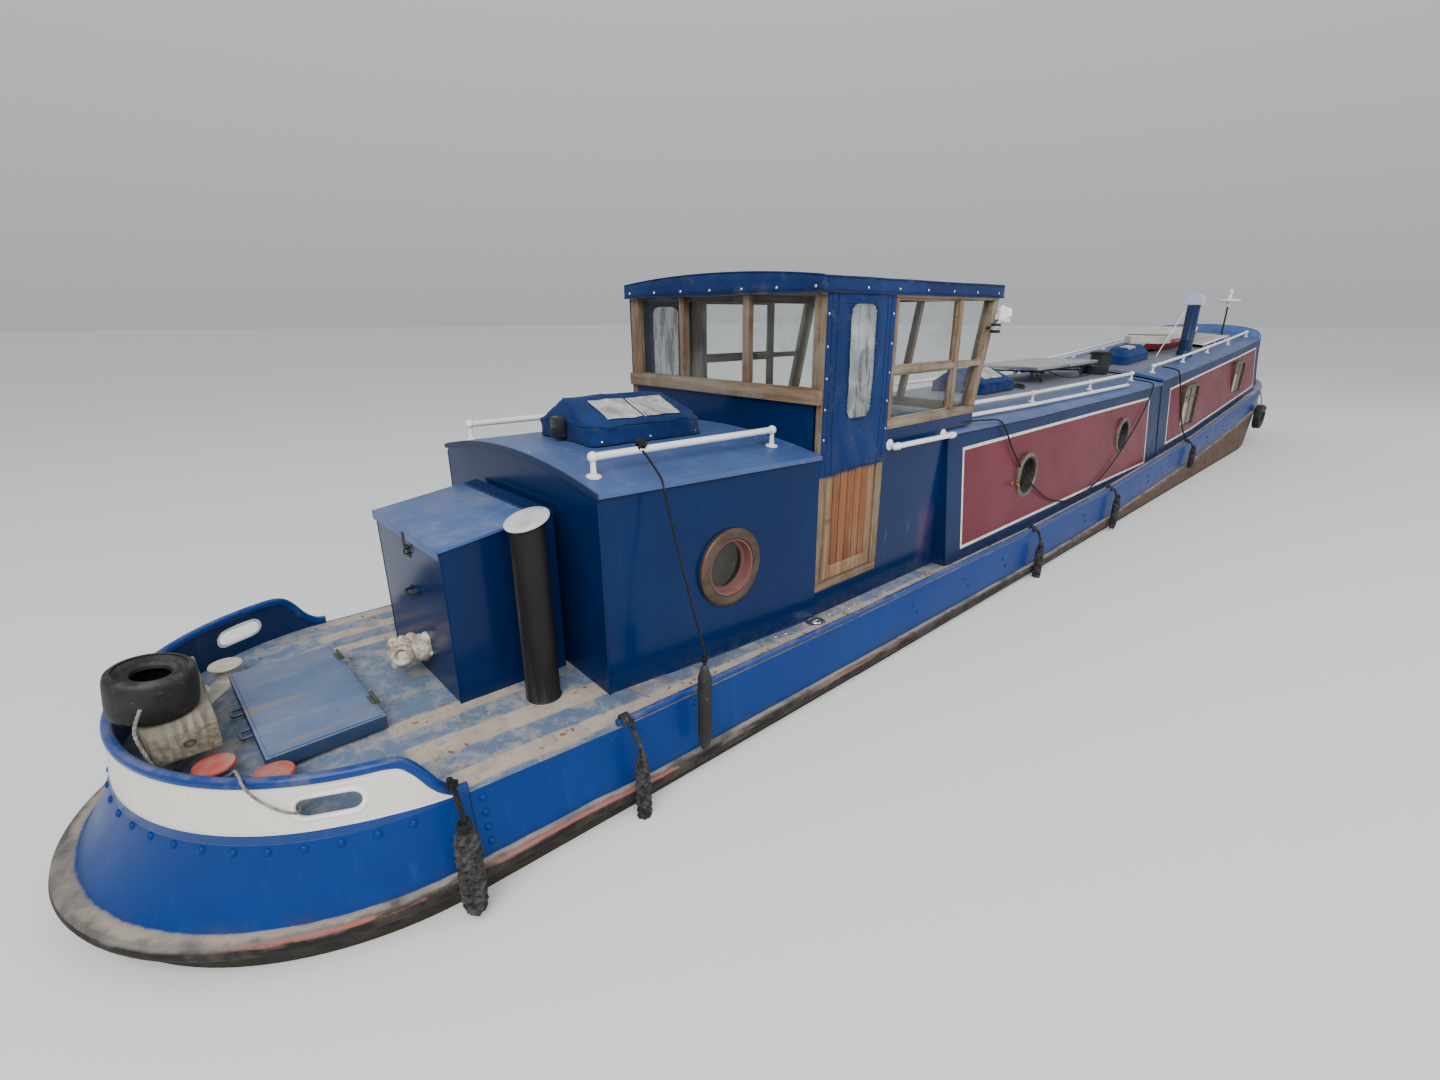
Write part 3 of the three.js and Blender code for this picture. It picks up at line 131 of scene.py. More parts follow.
class Paint:
    """Builds one node material. Textures run in the row frame, in metres."""

    def __init__(self, name):
        self.material = bpy.data.materials.new(name)
        self.material.use_nodes = True
        self.tree = self.material.node_tree
        self.shader = self.tree.nodes["Principled BSDF"]
        self.place = self.new("ShaderNodeTexCoord").outputs["Object"]
        split = self.new("ShaderNodeSeparateXYZ")
        self.link(self.place, split.inputs[0])
        x, self.y, z = split.outputs
        self.x = self.math("SUBTRACT", x, ORIGIN.x)
        self.z = self.math("SUBTRACT", z, ORIGIN.z)

    def new(self, kind, **inputs):
        """A node with its inputs set by name."""
        node = self.tree.nodes.new(kind)
        for name, value in inputs.items():
            self.link(value, node.inputs[name.replace("_", " ")])
        return node

    def link(self, source, target):
        if isinstance(source, (int, float)):
            target.default_value = source
        elif isinstance(source, tuple):
            target.default_value = (*source, 1)[:len(target.default_value)]
        else:
            self.tree.links.new(source, target)

    def math(self, kind, a, b=0.0, c=0.0, clamp=False):
        node = self.new("ShaderNodeMath")
        node.operation = kind
        node.use_clamp = clamp
        for value, target in zip((a, b, c), node.inputs):
            self.link(value, target)
        return node.outputs[0]

    def scaled(self, *scale):
        return self.new("ShaderNodeMapping", Vector=self.place, Scale=scale).outputs[0]

    def noise(self, scale, detail=4.0, rough=0.6, stretch=None, warp=0.0):
        """stretch gives a finer or coarser scale along each axis."""
        place = self.scaled(*stretch) if stretch else self.place
        node = self.new("ShaderNodeTexNoise", Vector=place, Scale=scale, Detail=detail, Roughness=rough,
            Distortion=warp)
        return node.outputs["Fac"]

    def cells(self, scale):
        return self.new("ShaderNodeTexVoronoi", Vector=self.place, Scale=scale).outputs["Distance"]

    def wave(self, scale, vector, warp, detail, direction):
        node = self.new("ShaderNodeTexWave", Vector=vector, Scale=scale, Distortion=warp, Detail=detail)
        node.bands_direction = direction
        return node.outputs["Fac"]

    def ramp(self, value, *stops):
        """A smooth step list from 0..1 values to colours or grey values."""
        node = self.new("ShaderNodeValToRGB")
        self.link(value, node.inputs["Fac"])
        elements = node.color_ramp.elements
        while len(elements) < len(stops):
            elements.new(0.5)
        for element, (at, colour) in zip(elements, stops):
            element.position = at
            if isinstance(colour, (int, float)):
                colour = colour, colour, colour
            element.color = (*colour, 1)
        return node.outputs["Color"]

    def step(self, value, low, high):
        """0 below low and 1 above high."""
        node = self.new("ShaderNodeMapRange", Value=value, From_Min=low, From_Max=high)
        node.interpolation_type = "SMOOTHSTEP"
        return node.outputs["Result"]

    def spots(self, low, high, *noise, **more):
        """Where a noise is above a threshold that runs from low to high."""
        return self.step(self.noise(*noise, **more), low, high)

    def vary(self, span, base, *noise, **more):
        """base plus a noise of the given span."""
        return self.math("MULTIPLY_ADD", self.noise(*noise, **more), span, base)

    def less(self, a, b):
        return self.math("SUBTRACT", a, b)

    def band(self, value, low, high, soft=0.002):
        """1 between low and high."""
        up = self.step(value, low - soft, low + soft)
        down = self.step(value, high - soft, high + soft)
        return self.math("SUBTRACT", up, down, clamp=True)

    def table(self, value, rows):
        """A piecewise straight function of value, from rows of (value, result)."""
        low, high = rows[0][0], rows[-1][0]
        results = [r for _, r in rows]
        base, span = min(results), max(results) - min(results) or 1.0
        unit = self.math("DIVIDE", self.math("SUBTRACT", value, low), high - low, clamp=True)
        grey = self.ramp(unit, *[((v - low) / (high - low), (r - base) / span) for v, r in rows])
        return self.math("MULTIPLY_ADD", grey, span, base)

    def mix(self, factor, a, b):
        node = self.new("ShaderNodeMix")
        node.data_type = "RGBA"
        node.clamp_factor = True
        self.link(factor, node.inputs[0])
        self.link(a, node.inputs[6])
        self.link(b, node.inputs[7])
        return node.outputs[2]

    def both(self, first, *others):
        for other in others:
            first = self.math("MULTIPLY", first, other)
        return first

    def lay(self, under, colour, *cover):
        """colour over under, as far as all the covers together let it."""
        return self.mix(self.both(*cover), under, colour)

    def bump(self, height, depth, normal=None, strength=1.0):
        """depth is the height's real size in metres."""
        node = self.new("ShaderNodeBump", Height=height, Distance=depth, Strength=strength)
        if normal is not None:
            self.link(normal, node.inputs["Normal"])
        return node.outputs[0]

    def rounded(self, radius):
        node = self.new("ShaderNodeBevel", Radius=radius)
        node.samples = 4
        return node.outputs[0]

    def facing_up(self):
        node = self.new("ShaderNodeNewGeometry")
        split = self.new("ShaderNodeSeparateXYZ")
        self.link(node.outputs["Normal"], split.inputs[0])
        return split.outputs["Z"]

    def finish(self, colour, rough, normal=None, **sockets):
        self.link(colour, self.shader.inputs["Base Color"])
        self.link(rough, self.shader.inputs["Roughness"])
        if normal is not None:
            self.link(normal, self.shader.inputs["Normal"])
        for name, value in sockets.items():
            self.link(value, self.shader.inputs[name.replace("_", " ")])
        return self.material


HULL_BLUE = 0.0004, 0.03, 0.168
NAVY = 0.0007, 0.012, 0.062
RUST = 0.13, 0.055, 0.022
DUST = 0.3, 0.27, 0.23


def enamel(name, base, rough=0.32, fade=0.25, streaks=0.35, chips=0.3, dirt=0.25, edge=0.003, coat=0.0):
    """Brushed boat enamel: slow fading, run-down streaks, fine scratches, chips and settled dust."""
    p = Paint(name)
    pale = tuple(min(1.0, c * 1.35 + 0.014) for c in base)
    dark = tuple(c * 0.62 for c in base)
    colour = p.lay(base, pale, p.spots(0.38, 0.72, 1.7, 5, 0.62), fade)
    colour = p.lay(colour, dark, p.spots(0.5, 0.75, 0.9, 3, 0.5, (1, 1, 1.3)), 0.45)
    runs = p.noise(1.0, 6, 0.65, (16, 16, 0.9))
    colour = p.lay(colour, pale, p.step(runs, 0.52, 0.78), streaks)
    colour = p.lay(colour, DUST, p.spots(0.56, 0.8, 1.0, 5, 0.6, (9, 9, 0.6)), dirt)
    dusty = p.both(p.step(p.facing_up(), 0.55, 0.95), p.spots(0.4, 0.72, 5.5, 7, 0.68))
    colour = p.lay(colour, DUST, dusty, dirt * 1.4)
    specks = p.both(p.spots(0.7, 0.76, 46, 4, 0.7), p.spots(0.48, 0.62, 2.3, 3))
    colour = p.lay(colour, RUST, specks, chips)
    scratch = p.both(p.spots(0.73, 0.78, 1.0, 3, 0.7, (70, 70, 3)), p.spots(0.5, 0.6, 1.4, 2))
    colour = p.lay(colour, pale, scratch, chips * 0.9)
    shine = p.vary(0.22, rough - 0.1, 6, 5, 0.6)
    shine = p.math("ADD", shine, p.both(dusty, 0.25))
    normal = p.bump(p.noise(1.6, 2, 0.4), 0.004, p.rounded(edge), 0.5)
    normal = p.bump(p.noise(190, 2, 0.5), 0.00012, normal)
    return p.finish(colour, shine, normal, Specular_IOR_Level=0.25, Coat_Weight=coat * 0.4,
        Coat_Roughness=0.08)


# mesh kit
# Shapes are (points, faces) in the measured frame; a face lists its points' numbers.


def joined(*shapes):
    points, faces = [], []
    for some_points, some_faces in shapes:
        start = len(points)
        points += [tuple(p) for p in some_points]
        faces += [tuple(i + start for i in face) for face in some_faces]
    return points, faces


def moved(shape, matrix):
    return [tuple(matrix @ Vector(p)) for p in shape[0]], shape[1]


def mirrored(shape):
    return [(x, -y, z) for x, y, z in shape[0]], [tuple(reversed(face)) for face in shape[1]]


def skin(rings, closed=True, ends=True):
    """A surface through rings of equally many points."""
    count = len(rings[0])
    points = [tuple(p) for ring in rings for p in ring]
    faces = []
    for i in range(len(rings) - 1):
        for j in range(count if closed else count - 1):
            k = (j + 1) % count
            faces.append((i * count + j, i * count + k, (i + 1) * count + k, (i + 1) * count + j))
    if ends:
        faces.append(tuple(reversed(range(count))))
        faces.append(tuple(range((len(rings) - 1) * count, len(rings) * count)))
    return points, faces


def spread(a, b, steps):
    return [a + (b - a) * k / steps for k in range(steps + 1)]


def smooth_path(points, step=0.03):
    """Points along a Catmull-Rom curve through the given ones."""
    given = [Vector(p) for p in points]
    if len(given) < 3:
        return given
    given = [given[0] * 2 - given[1]] + given + [given[-1] * 2 - given[-2]]
    out = []
    for a, b, c, d in zip(given, given[1:], given[2:], given[3:]):
        count = max(2, int((c - b).length / step))
        for i in range(count):
            t = i / count
            out.append(0.5 * (2 * b + (c - a) * t + (2 * a - 5 * b + 4 * c - d) * t * t
                + (3 * b - a - 3 * c + d) * t ** 3))
    return out + [given[-2]]


def sheet_faces(rows, stride):
    """The faces of a sheet whose points come in rows of stride."""
    return [(a, a + stride, a + stride + 1, a + 1) for j in range(rows)
        for a in range(j * stride, (j + 1) * stride - 1)]


def tube(path, radius, sides=12, ends=True, closed=False):
    """A round bar along a path; radius is one number or one for each point."""
    path = [Vector(p) for p in path]
    radii = radius if isinstance(radius, (list, tuple)) else [radius] * len(path)
    rings, across = [], None
    for i, (point, size) in enumerate(zip(path, radii)):
        if closed:
            along = path[(i + 1) % len(path)] - path[i - 1]
        else:
            along = path[min(i + 1, len(path) - 1)] - path[max(i - 1, 0)]
        along.normalize()
        if across is None:
            across = along.orthogonal().normalized()
        across = (across - along * across.dot(along)).normalized()
        other = along.cross(across)
        angles = [2 * pi * k / sides for k in range(sides)]
        rings.append([point + (across * cos(a) + other * sin(a)) * size for a in angles])
    if closed:
        rings.append(rings[0])
        return skin(rings, ends=False)
    return skin(rings, ends=ends)


def bent(points, step, radius, sides):
    """A round bar along a smooth curve through points."""
    return tube(smooth_path(points, step), radius, sides)


def rod(a, b, radius, sides=16):
    return tube([a, b], radius, sides)


AXES = {"x": Vector((1, 0, 0)), "y": Vector((0, 1, 0)), "z": Vector((0, 0, 1))}


def lathe(profile, centre, axis="z", sides=32):
    """Turns (radius, height) pairs about an axis through centre; a radius of 0 closes an end."""
    along = AXES[axis] if isinstance(axis, str) else Vector(axis).normalized()
    across = along.orthogonal().normalized()
    other = along.cross(across)
    centre = Vector(centre)
    rings = []
    for k in range(sides):
        a = 2 * pi * k / sides
        out = across * cos(a) + other * sin(a)
        rings.append([centre + out * r + along * h for r, h in profile])
    rings.append(rings[0])
    return skin(rings, closed=False, ends=False)


def turned(profile, *place):
    """Turns a profile in millimetres, like lathe does one in metres."""
    return lathe([(r / 1000, h / 1000) for r, h in profile], *place)


def dome(centre, radius, height, axis="z", sides=10):
    steps = [i / 4 * pi / 2 for i in range(5)]
    profile = [(radius * cos(a), height * sin(a)) for a in steps]
    profile[-1] = 0.0005, height
    return lathe(profile, centre, axis, sides)


def slab(x0, x1, y0, y1, z0, z1, round_by=0.0, cuts=2):
    """A box with rounded edges."""
    bm = bmesh.new()
    bmesh.ops.create_cube(bm, size=1)
    for v in bm.verts:
        v.co = Vector((x0 + (v.co.x + 0.5) * (x1 - x0), y0 + (v.co.y + 0.5) * (y1 - y0),
            z0 + (v.co.z + 0.5) * (z1 - z0)))
    if round_by:
        bmesh.ops.bevel(bm, geom=bm.edges[:], offset=round_by, segments=cuts, profile=0.6, affect="EDGES")
    return from_bmesh(bm)


def from_bmesh(bm):
    bm.verts.index_update()
    shape = [tuple(v.co) for v in bm.verts], [tuple(v.index for v in f.verts) for f in bm.faces]
    bm.free()
    return shape


def board(corners, thick, out, round_by=0.003):
    """A flat piece with rounded edges: its corners in order, drawn out by thick along out."""
    bm = bmesh.new()
    push = Vector(out).normalized() * thick
    low = [bm.verts.new(Vector(c)) for c in corners]
    high = [bm.verts.new(Vector(c) + push) for c in corners]
    n = len(corners)
    bm.faces.new(low)
    bm.faces.new(list(reversed(high)))
    for i in range(n):
        bm.faces.new((low[i], high[i], high[(i + 1) % n], low[(i + 1) % n]))
    bmesh.ops.recalc_face_normals(bm, faces=bm.faces[:])
    if round_by:
        bmesh.ops.bevel(bm, geom=bm.edges[:], offset=round_by, segments=2, profile=0.6, affect="EDGES")
    return from_bmesh(bm)


SLOTS = {"black_steel": "bottom", "bronze": "brass", "cabin_navy": "lavender navy navy_pipe",
    "canvas": "canvas canvas_blue curtain trim", "cream_paint": "bulwark crust offwhite stack_lid white",
    "dark_plastic": "plastic", "door_wood": "door helm stile", "glass": "dark_glass pane vinyl",
    "hood_canvas": "hood", "hull_blue": "blue hull", "iron": "alloy black chrome galvanised iron port_ring",
    "red_paint": "red_hull", "roof_blue": "hatch lid roof",
    "rope": "black_cord dead_leaf grey_rope rope straw", "rubber": "rubber tread", "solar_cells": "solar",
    "timber": "timber", "white_plastic": "white_plastic", "window_wood": "frame_x frame_y frame_z"}
SLOT_OF = {paint: slot for slot, paints in SLOTS.items() for paint in paints.split()}
SAME_POINT = 1e-05


def mesh_of(name, shape, merge=None):
    """A mesh in the row frame, its faces turned outward; points closer than merge become one."""
    mesh = bpy.data.meshes.new(name)
    mesh.from_pydata([Vector(p) + ORIGIN for p in shape[0]], [], shape[1])
    if merge:
        mesh.validate()
    bm = bmesh.new()
    bm.from_mesh(mesh)
    if merge:
        bmesh.ops.remove_doubles(bm, verts=bm.verts[:], dist=merge)
    bmesh.ops.recalc_face_normals(bm, faces=bm.faces[:])
    bm.to_mesh(mesh)
    bm.free()
    return mesh


def piece(name, shape, paint, slot=None, body="hull", replaces=(), sharp=38, decide=None):
    """Adds a piece of one or more shapes; decide(centre, normal) picks each face's paint from a list."""
    paints = [paint] if isinstance(paint, str) else paint
    mesh = mesh_of(name, joined(*shape) if isinstance(shape, list) else shape, SAME_POINT)
    for each in paints:
        mesh.materials.append(PAINTS[each])
    if decide:
        for face in mesh.polygons:
            face.material_index = decide(face.center - ORIGIN, face.normal)
    mesh.shade_smooth()
    mesh.set_sharp_from_angle(angle=radians(sharp))
    obj = add(name, mesh)
    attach(obj, body)
    slot = slot or SLOT_OF[paints[0]]
    if replaces:
        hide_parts(*([replaces] if isinstance(replaces, str) else replaces))
    return obj


def paint_nodes(paint, *names):
    for name in names:
        for slot in NODES[name].material_slots:
            slot.material = PAINTS[paint]


def carve(obj, *tools):
    """Cuts boxes and other closed shapes out of a piece."""
    for tool in tools:
        mesh = mesh_of("cutter", tool)
        cutter = add("cutter", mesh)
        modifier = obj.modifiers.new("cut", "BOOLEAN")
        modifier.operation = "DIFFERENCE"
        modifier.solver = "EXACT"
        modifier.object = cutter
        depsgraph = bpy.context.evaluated_depsgraph_get()
        result = bpy.data.meshes.new_from_object(obj.evaluated_get(depsgraph))
        obj.modifiers.remove(modifier)
        obj.data = result
        bpy.data.objects.remove(cutter)
    obj.data.shade_smooth()
    obj.data.set_sharp_from_angle(angle=radians(35))


def straight(table, x, column=1):
    """Straight-line lookup in rows of (x, value, ...)."""
    if x <= table[0][0]:
        return table[0][column]
    for a, b in zip(table, table[1:]):
        if x <= b[0]:
            k = (x - a[0]) / (b[0] - a[0])
            return a[column] + k * (b[column] - a[column])
    return table[-1][column]


# the hull's lines

SHEER = [(-0.75, 0.435), (0, 0.418), (1.6, 0.403), (4.11, 0.386), (6.03, 0.42), (9.04, 0.572),
    (11.33, 0.772), (12.1, 0.86), (12.75, 0.905), (13.3, 0.94), (13.9, 0.98), (14.4, 1.012), (14.95, 1.06)]
HALF_BEAM = 1.04
STERN_X = -0.75
DECK_INNER = 0.78
BASE_TOP = -0.6
STRAKE_DEPTH = 0.075
STRAKE_PROUD = 0.035


def deck_z(x):
    return straight(SHEER, x)


def strake_top(x):
    return deck_z(x) - 0.29 + (0.015 if x < 0 else 0.0)


DECK_CAMBER = 0.055


def stern_deck(x, y):
    """Height of the aft deck, which rises toward its middle."""
    out = (y / 0.98) ** 2 if x > STERN_X else ((x - STERN_X) / 0.93) ** 2 + (y / 0.985) ** 2
    fade = 1 - smoothstep(x / 0.8)
    return deck_z(x) + DECK_CAMBER * fade * max(0.0, 1 - out)


def smoothstep(t):
    t = min(max(t, 0.0), 1.0)
    return t * t * (3 - 2 * t)


def half_at(level, x):
    """Half-width of a level of the stern, forward of its rounded end."""
    _, _, half, forward = level
    return half + (forward - half) * straight([(STERN_X, 0), (0, 0.6), (1.6, 1)], x)


def stern_levels():
    """Levels upward: height as a function of x, reach aft, half-width aft, half-width forward."""
    levels = [(lambda x: -0.04, 1.12, 1.0, 1.03)]
    for out, up in strake_curve():
        height = lambda x, r=STRAKE_DEPTH * up: strake_top(x) - STRAKE_DEPTH + r
        levels.append((height, 1.13 + 0.075 * out, 1.03 + 0.038 * out, 1.04 + STRAKE_PROUD * out))
    for i in range(9):
        k = i / 8
        hollow = 0.014 * sin(pi * k)
        height = lambda x, k=k: strake_top(x) + 0.004 + k * (deck_z(x) - strake_top(x) - 0.004)
        levels.append((height, 1.118 + k * (0.967 - 1.118) - hollow,
            1.03 + k * (0.984 - 1.03) - hollow * 0.4, 1.04))
    return levels


def stern_ring(level):
    height, reach, half, _ = level
    ahead = [1.6, 1.2, 0.8, 0.4, 0.0, -0.25, -0.5]
    points = [(x, -half_at(level, x), height(x)) for x in ahead]
    arc = 72
    for i in range(arc + 1):
        a = pi * i / arc - pi / 2
        x = STERN_X - reach * cos(a)
        points.append((x, half * sin(a), height(x)))
    return points + [(x, half_at(level, x), height(x)) for x in reversed(ahead)]


def stern_plating():
    """The counter, side by side, with its deck as rows across the boat."""
    rings = [stern_ring(level) for level in stern_levels()]
    count = len(rings[0])
    points, faces = skin(rings, closed=False, ends=False)
    last = (len(rings) - 1) * count
    rows = []
    steps = 24
    for j in range(count // 2):
        (x, left, _), (_, right, _) = points[last + j], points[last + count - 1 - j]
        row = [last + j]
        for k in range(1, steps):
            y = left + (right - left) * k / steps
            row.append(len(points))
            points.append((x, y, stern_deck(x, y)))
        rows.append(row + [last + count - 1 - j])
        a, b = j, count - 1 - j
        faces.append((a, a + 1, b - 1, b) if b - 1 != a + 1 else (a, a + 1, b))
    for before, after in zip(rows, rows[1:]):
        faces += [(before[k], before[k + 1], after[k + 1], after[k]) for k in range(steps)]
    tip = last + count // 2
    faces += [(rows[-1][k], rows[-1][k + 1], tip) for k in range(steps)]
    front = [i * count for i in range(len(rings))] + rows[0][1:-1]
    front += [i * count + count - 1 for i in range(len(rings) - 1, -1, -1)]
    faces.append(tuple(front))
    return points, faces


SWIM = [(-1.0, 0.028), (-0.7, 0.09), (-0.2, 0.33), (0.4, 0.65), (1.0, 0.9), (1.6, 1.01)]


def swim_shape():
    path = smooth_path([(x, y, 0) for x, y in SWIM], 0.12)
    plan = [(p.x, p.y) for p in path]
    plan += [(x, -y) for x, y in reversed(plan)]
    return skin([[(x, y, BASE_TOP + 0.001) for x, y in plan], [(x, y, -0.035) for x, y in plan]])


def strake_curve():
    """The strake's rounded section from its lower edge up: share of its reach, share of its depth."""
    steps = [pi * (i / 6 - 0.5) for i in range(7)]
    return [(max(cos(t), 0.0) ** 0.6 if abs(cos(t)) > 1e-06 else 0.0, 0.5 + 0.5 * sin(t)) for t in steps]


def shell_section(x, deck, low, bottom, strake_half, above):
    """One side of the hull as (y, z), from its bottom to the deck's edge."""
    top, strake = deck_z(x), strake_top(x)
    points = [(low, bottom), (strake_half, strake - STRAKE_DEPTH - 0.006)]
    points += [(strake_half + STRAKE_PROUD * out, strake - STRAKE_DEPTH * (1 - up))
        for out, up in strake_curve()]
    return points + [(above, strake + 0.006), (deck, top - 0.012), (deck - 0.004, top - 0.003),
        (deck - 0.012, top)]


def hull_side():
    stations = [1.6003, 2.85, 4.11, 5.0, 6.03, 7.5, 9.04, 10.2, 11.33, 12.0997]
    rings = []
    for x in stations:
        top = deck_z(x)
        shell = shell_section(x, HALF_BEAM, HALF_BEAM - 0.03, BASE_TOP, HALF_BEAM, HALF_BEAM)
        section = shell + [(DECK_INNER, top), (DECK_INNER, top - 0.03), (1.0, top - 0.03), (0.97, BASE_TOP)]
        rings.append([(x, y, z) for y, z in section])
    return skin(rings)


BOW = [(12.1003, 1.04, 1.04, 1.01, -0.6), (12.75, 1.026, 1.015, 0.935, -0.6),
    (13.3, 0.965, 0.94, 0.785, -0.6), (13.9, 0.825, 0.775, 0.53, -0.6), (14.4, 0.6, 0.525, 0.255, -0.6),
    (14.75, 0.335, 0.26, 0.06, -0.5), (14.95, 0.06, 0.045, 0.02, -0.15)]


def bow_plating():
    rings = []
    fine = []
    for a, b in zip(BOW, BOW[1:]):
        fine += [a[0], (a[0] * 2 + b[0]) / 3, (a[0] + b[0] * 2) / 3]
    for x in fine + [BOW[-1][0]]:
        deck, strake_half, low, bottom = (smooth_lookup(BOW, x, c) for c in (1, 2, 3, 4))
        half = shell_section(x, deck, low, bottom, strake_half, strake_half + 0.001)
        rings.append([(x, y, z) for y, z in half + [(-y, z) for y, z in reversed(half)]])
    return skin(rings)


def smooth_lookup(table, x, column):
    """Monotone smooth lookup, so that plan lines curve between their stations."""
    if x <= table[0][0]:
        return table[0][column]
    for i in range(len(table) - 1):
        a, b = table[i], table[i + 1]
        if x <= b[0]:
            before = table[max(i - 1, 0)]
            after = table[min(i + 2, len(table) - 1)]
            span = b[0] - a[0]
            k = (x - a[0]) / span
            slope_a = (b[column] - before[column]) / (b[0] - before[0])
            slope_b = (after[column] - a[column]) / (after[0] - a[0])
            h00, h10 = 2 * k ** 3 - 3 * k * k + 1, k ** 3 - 2 * k * k + k
            return h00 * a[column] + h10 * span * slope_a + (1 - h00) * b[column] + (
                k ** 3 - k * k) * span * slope_b
    return table[-1][column]


# The bulwark round the aft deck, by its angle from the stern's middle
RAIL_RADIUS = 0.02
BULWARK_FOOT = 0.4353
BULWARK_TOP = [(0, 0.65), (72, 0.65), (78, 0.636), (81, 0.585), (84, 0.51), (87.5, 0.464), (90, 0.4565)]


def bulwark_point(degrees, z, inset=0.0):
    k = (z - BULWARK_FOOT) / 0.215
    a = radians(degrees)
    reach, half = 0.965 - 0.035 * k - inset, 0.984 - 0.028 * k - inset
    return STERN_X - reach * cos(a), half * sin(a), z


def bulwark_top(degrees):
    return smooth_lookup(BULWARK_TOP, abs(degrees), 1)


def bulwark_shape():
    rings = []
    for i in range(-72, 73):
        degrees = 90 * i / 72
        top = bulwark_top(degrees)
        heights = spread(BULWARK_FOOT, top, 6)
        outer = [bulwark_point(degrees, z) for z in heights]
        inner = [bulwark_point(degrees, z, 0.014) for z in reversed(heights)]
        rings.append(outer + inner)
    return skin(rings)


def bulwark_rail():
    path = []
    for i in range(-80, 81):
        degrees = 90 * i / 80
        path.append(bulwark_point(degrees, bulwark_top(degrees), 0.007))
    return tube(path, RAIL_RADIUS, 14)


FAIRLEAD = {"degrees": 64.0, "z": 0.552, "half_length": 0.104, "half_height": 0.036}


def fairlead_outline(side, grow=0.0, steps=10):
    """The slot's edge on the bulwark, as (degrees, z)."""
    across = FAIRLEAD["half_length"] - FAIRLEAD["half_height"]
    radius = FAIRLEAD["half_height"] + grow
    per_degree = radians(1) * 0.935
    out = []
    for end in (1, -1):
        for i in range(steps + 1):
            a = pi * (i / steps - 0.5) + (0 if end > 0 else pi)
            s = end * across + radius * cos(a)
            out.append((side * (FAIRLEAD["degrees"] + s / per_degree), FAIRLEAD["z"] + radius * sin(a)))
    return out


def fairlead_ring(side):
    path = [Vector(bulwark_point(d, z, 0.004)) for d, z in fairlead_outline(side, 0.006, 12)]
    return tube(path, 0.011, 10, closed=True)


def fairlead_cutter(side):
    outer = [bulwark_point(d, z, -0.05) for d, z in fairlead_outline(side)]
    inner = [bulwark_point(d, z, 0.07) for d, z in fairlead_outline(side)]
    return skin([outer, inner])


def rivet(point, out, size=0.011):
    return dome(point, size * 1.18, size * 0.75, out, 14)


def stern_side_point(degrees, z, lift=0.0):
    """A point on the stern's side below the bulwark."""
    k = (z - 0.164) / (deck_z(STERN_X) - 0.164)
    hollow = 0.014 * sin(pi * k)
    reach, half = 1.118 + k * (0.967 - 1.118) - hollow + lift, 1.03 + k * (
        0.984 - 1.03) - hollow * 0.4 + lift
    a = radians(degrees)
    return Vector((STERN_X - reach * cos(a), half * sin(a), z))


SIDE_EDGE = [(-0.75, 0.984), (0, 1.0176), (1.6, 1.04)]


def rivets():
    shapes = []
    for degrees in [79.9 - 6.6 * i for i in range(25)]:
        at = stern_side_point(degrees, 0.4335 - 0.012 * abs(degrees - 57) / 57 * (degrees < 57))
        shapes.append(rivet(at, (at.x - STERN_X, at.y, 0.25), 0.0125))
    for side in (-1, 1):
        for z in (0.391, 0.33, 0.268, 0.21):
            k = (z - 0.164) / 0.271
            y = 1.03 + k * (0.984 - 1.03) - 0.0056 * sin(pi * k) + 0.0022
            shapes.append(rivet((-0.704, side * y, z), (0, side, 0.16), 0.0125))
        for x in (-0.59, -0.44, -0.29, -0.14, 0.01, 0.16, 0.31):
            shapes.append(rivet((x, side * (straight(SIDE_EDGE, x) - 0.0015), deck_z(x) - 0.046),
                (0, side, 0.1), 0.011))
        for x in (0.9, 2.2, 2.9, 3.5, 5.2, 7.1, 7.6, 9.6, 10.4):
            for k in range(2):
                shapes.append(rivet((x + 0.06 * k, side * straight(SIDE_EDGE, x),
                    deck_z(x) - 0.11 - 0.07 * k), (0, side, 0.05)))
    return joined(*shapes)


def toe_rail(side):
    stations = [-0.1, -0.08, 0, 0.8, 1.6, 4.11, 6.03, 7.5, 9.04, 10.2, 11.33, 12.05]
    path = [(x, side * (straight(SIDE_EDGE, x) - 0.018), deck_z(x) + 0.0163) for x in stations]
    cap = dome(path[0], 0.0165, 0.006, (-1, 0, 0), 14)
    return joined(tube(path, 0.0165, 14), cap)


# fenders and ropes


def plaited(centre_x, y, top, bottom, radius=0.027, turns=2.6):
    """A plaited rope fender: four strands each way, passing over and under, round a core."""
    shapes = []
    steps = int(turns * 26)
    for way in (1, -1):
        for s in range(4):
            path, radii = [], []
            for k in range(steps + 1):
                t = k / steps
                angle = way * 2 * pi * turns * t + pi * s / 2
                squeeze = 1.0 - 0.3 * abs(2 * t - 1) ** 5
                over = way * cos(8 * pi * turns * t)
                out = radius * squeeze * (0.8 + 0.2 * over)
                rise = 0.0016 * sin(k * 1.7 + s * 2.1)
                path.append((centre_x + out * cos(angle), y + out * sin(angle),
                    top + (bottom - top) * t + rise))
                radii.append(radius * 0.36 * (1 + 0.1 * sin(k * 2.3 + s)) * (0.7 + 0.3 * squeeze))
            shapes.append(tube(path, radii, 8))
    shapes.append(lathe([(0.001, top + 0.01), (0.016, top + 0.006), (radius * 0.7, top - 0.01),
        (radius * 0.72, bottom + 0.01), (0.012, bottom - 0.006), (0.001, bottom - 0.008)], (centre_x, y, 0),
        "z", 12))
    for k in range(5):
        a = 2 * pi * k / 5
        end = centre_x + 0.02 * cos(a), y + 0.02 * sin(a), bottom - 0.012
        shapes.append(tube([(centre_x, y, bottom + 0.01), end], [0.01, 0.007], 7))
    return joined(*shapes)


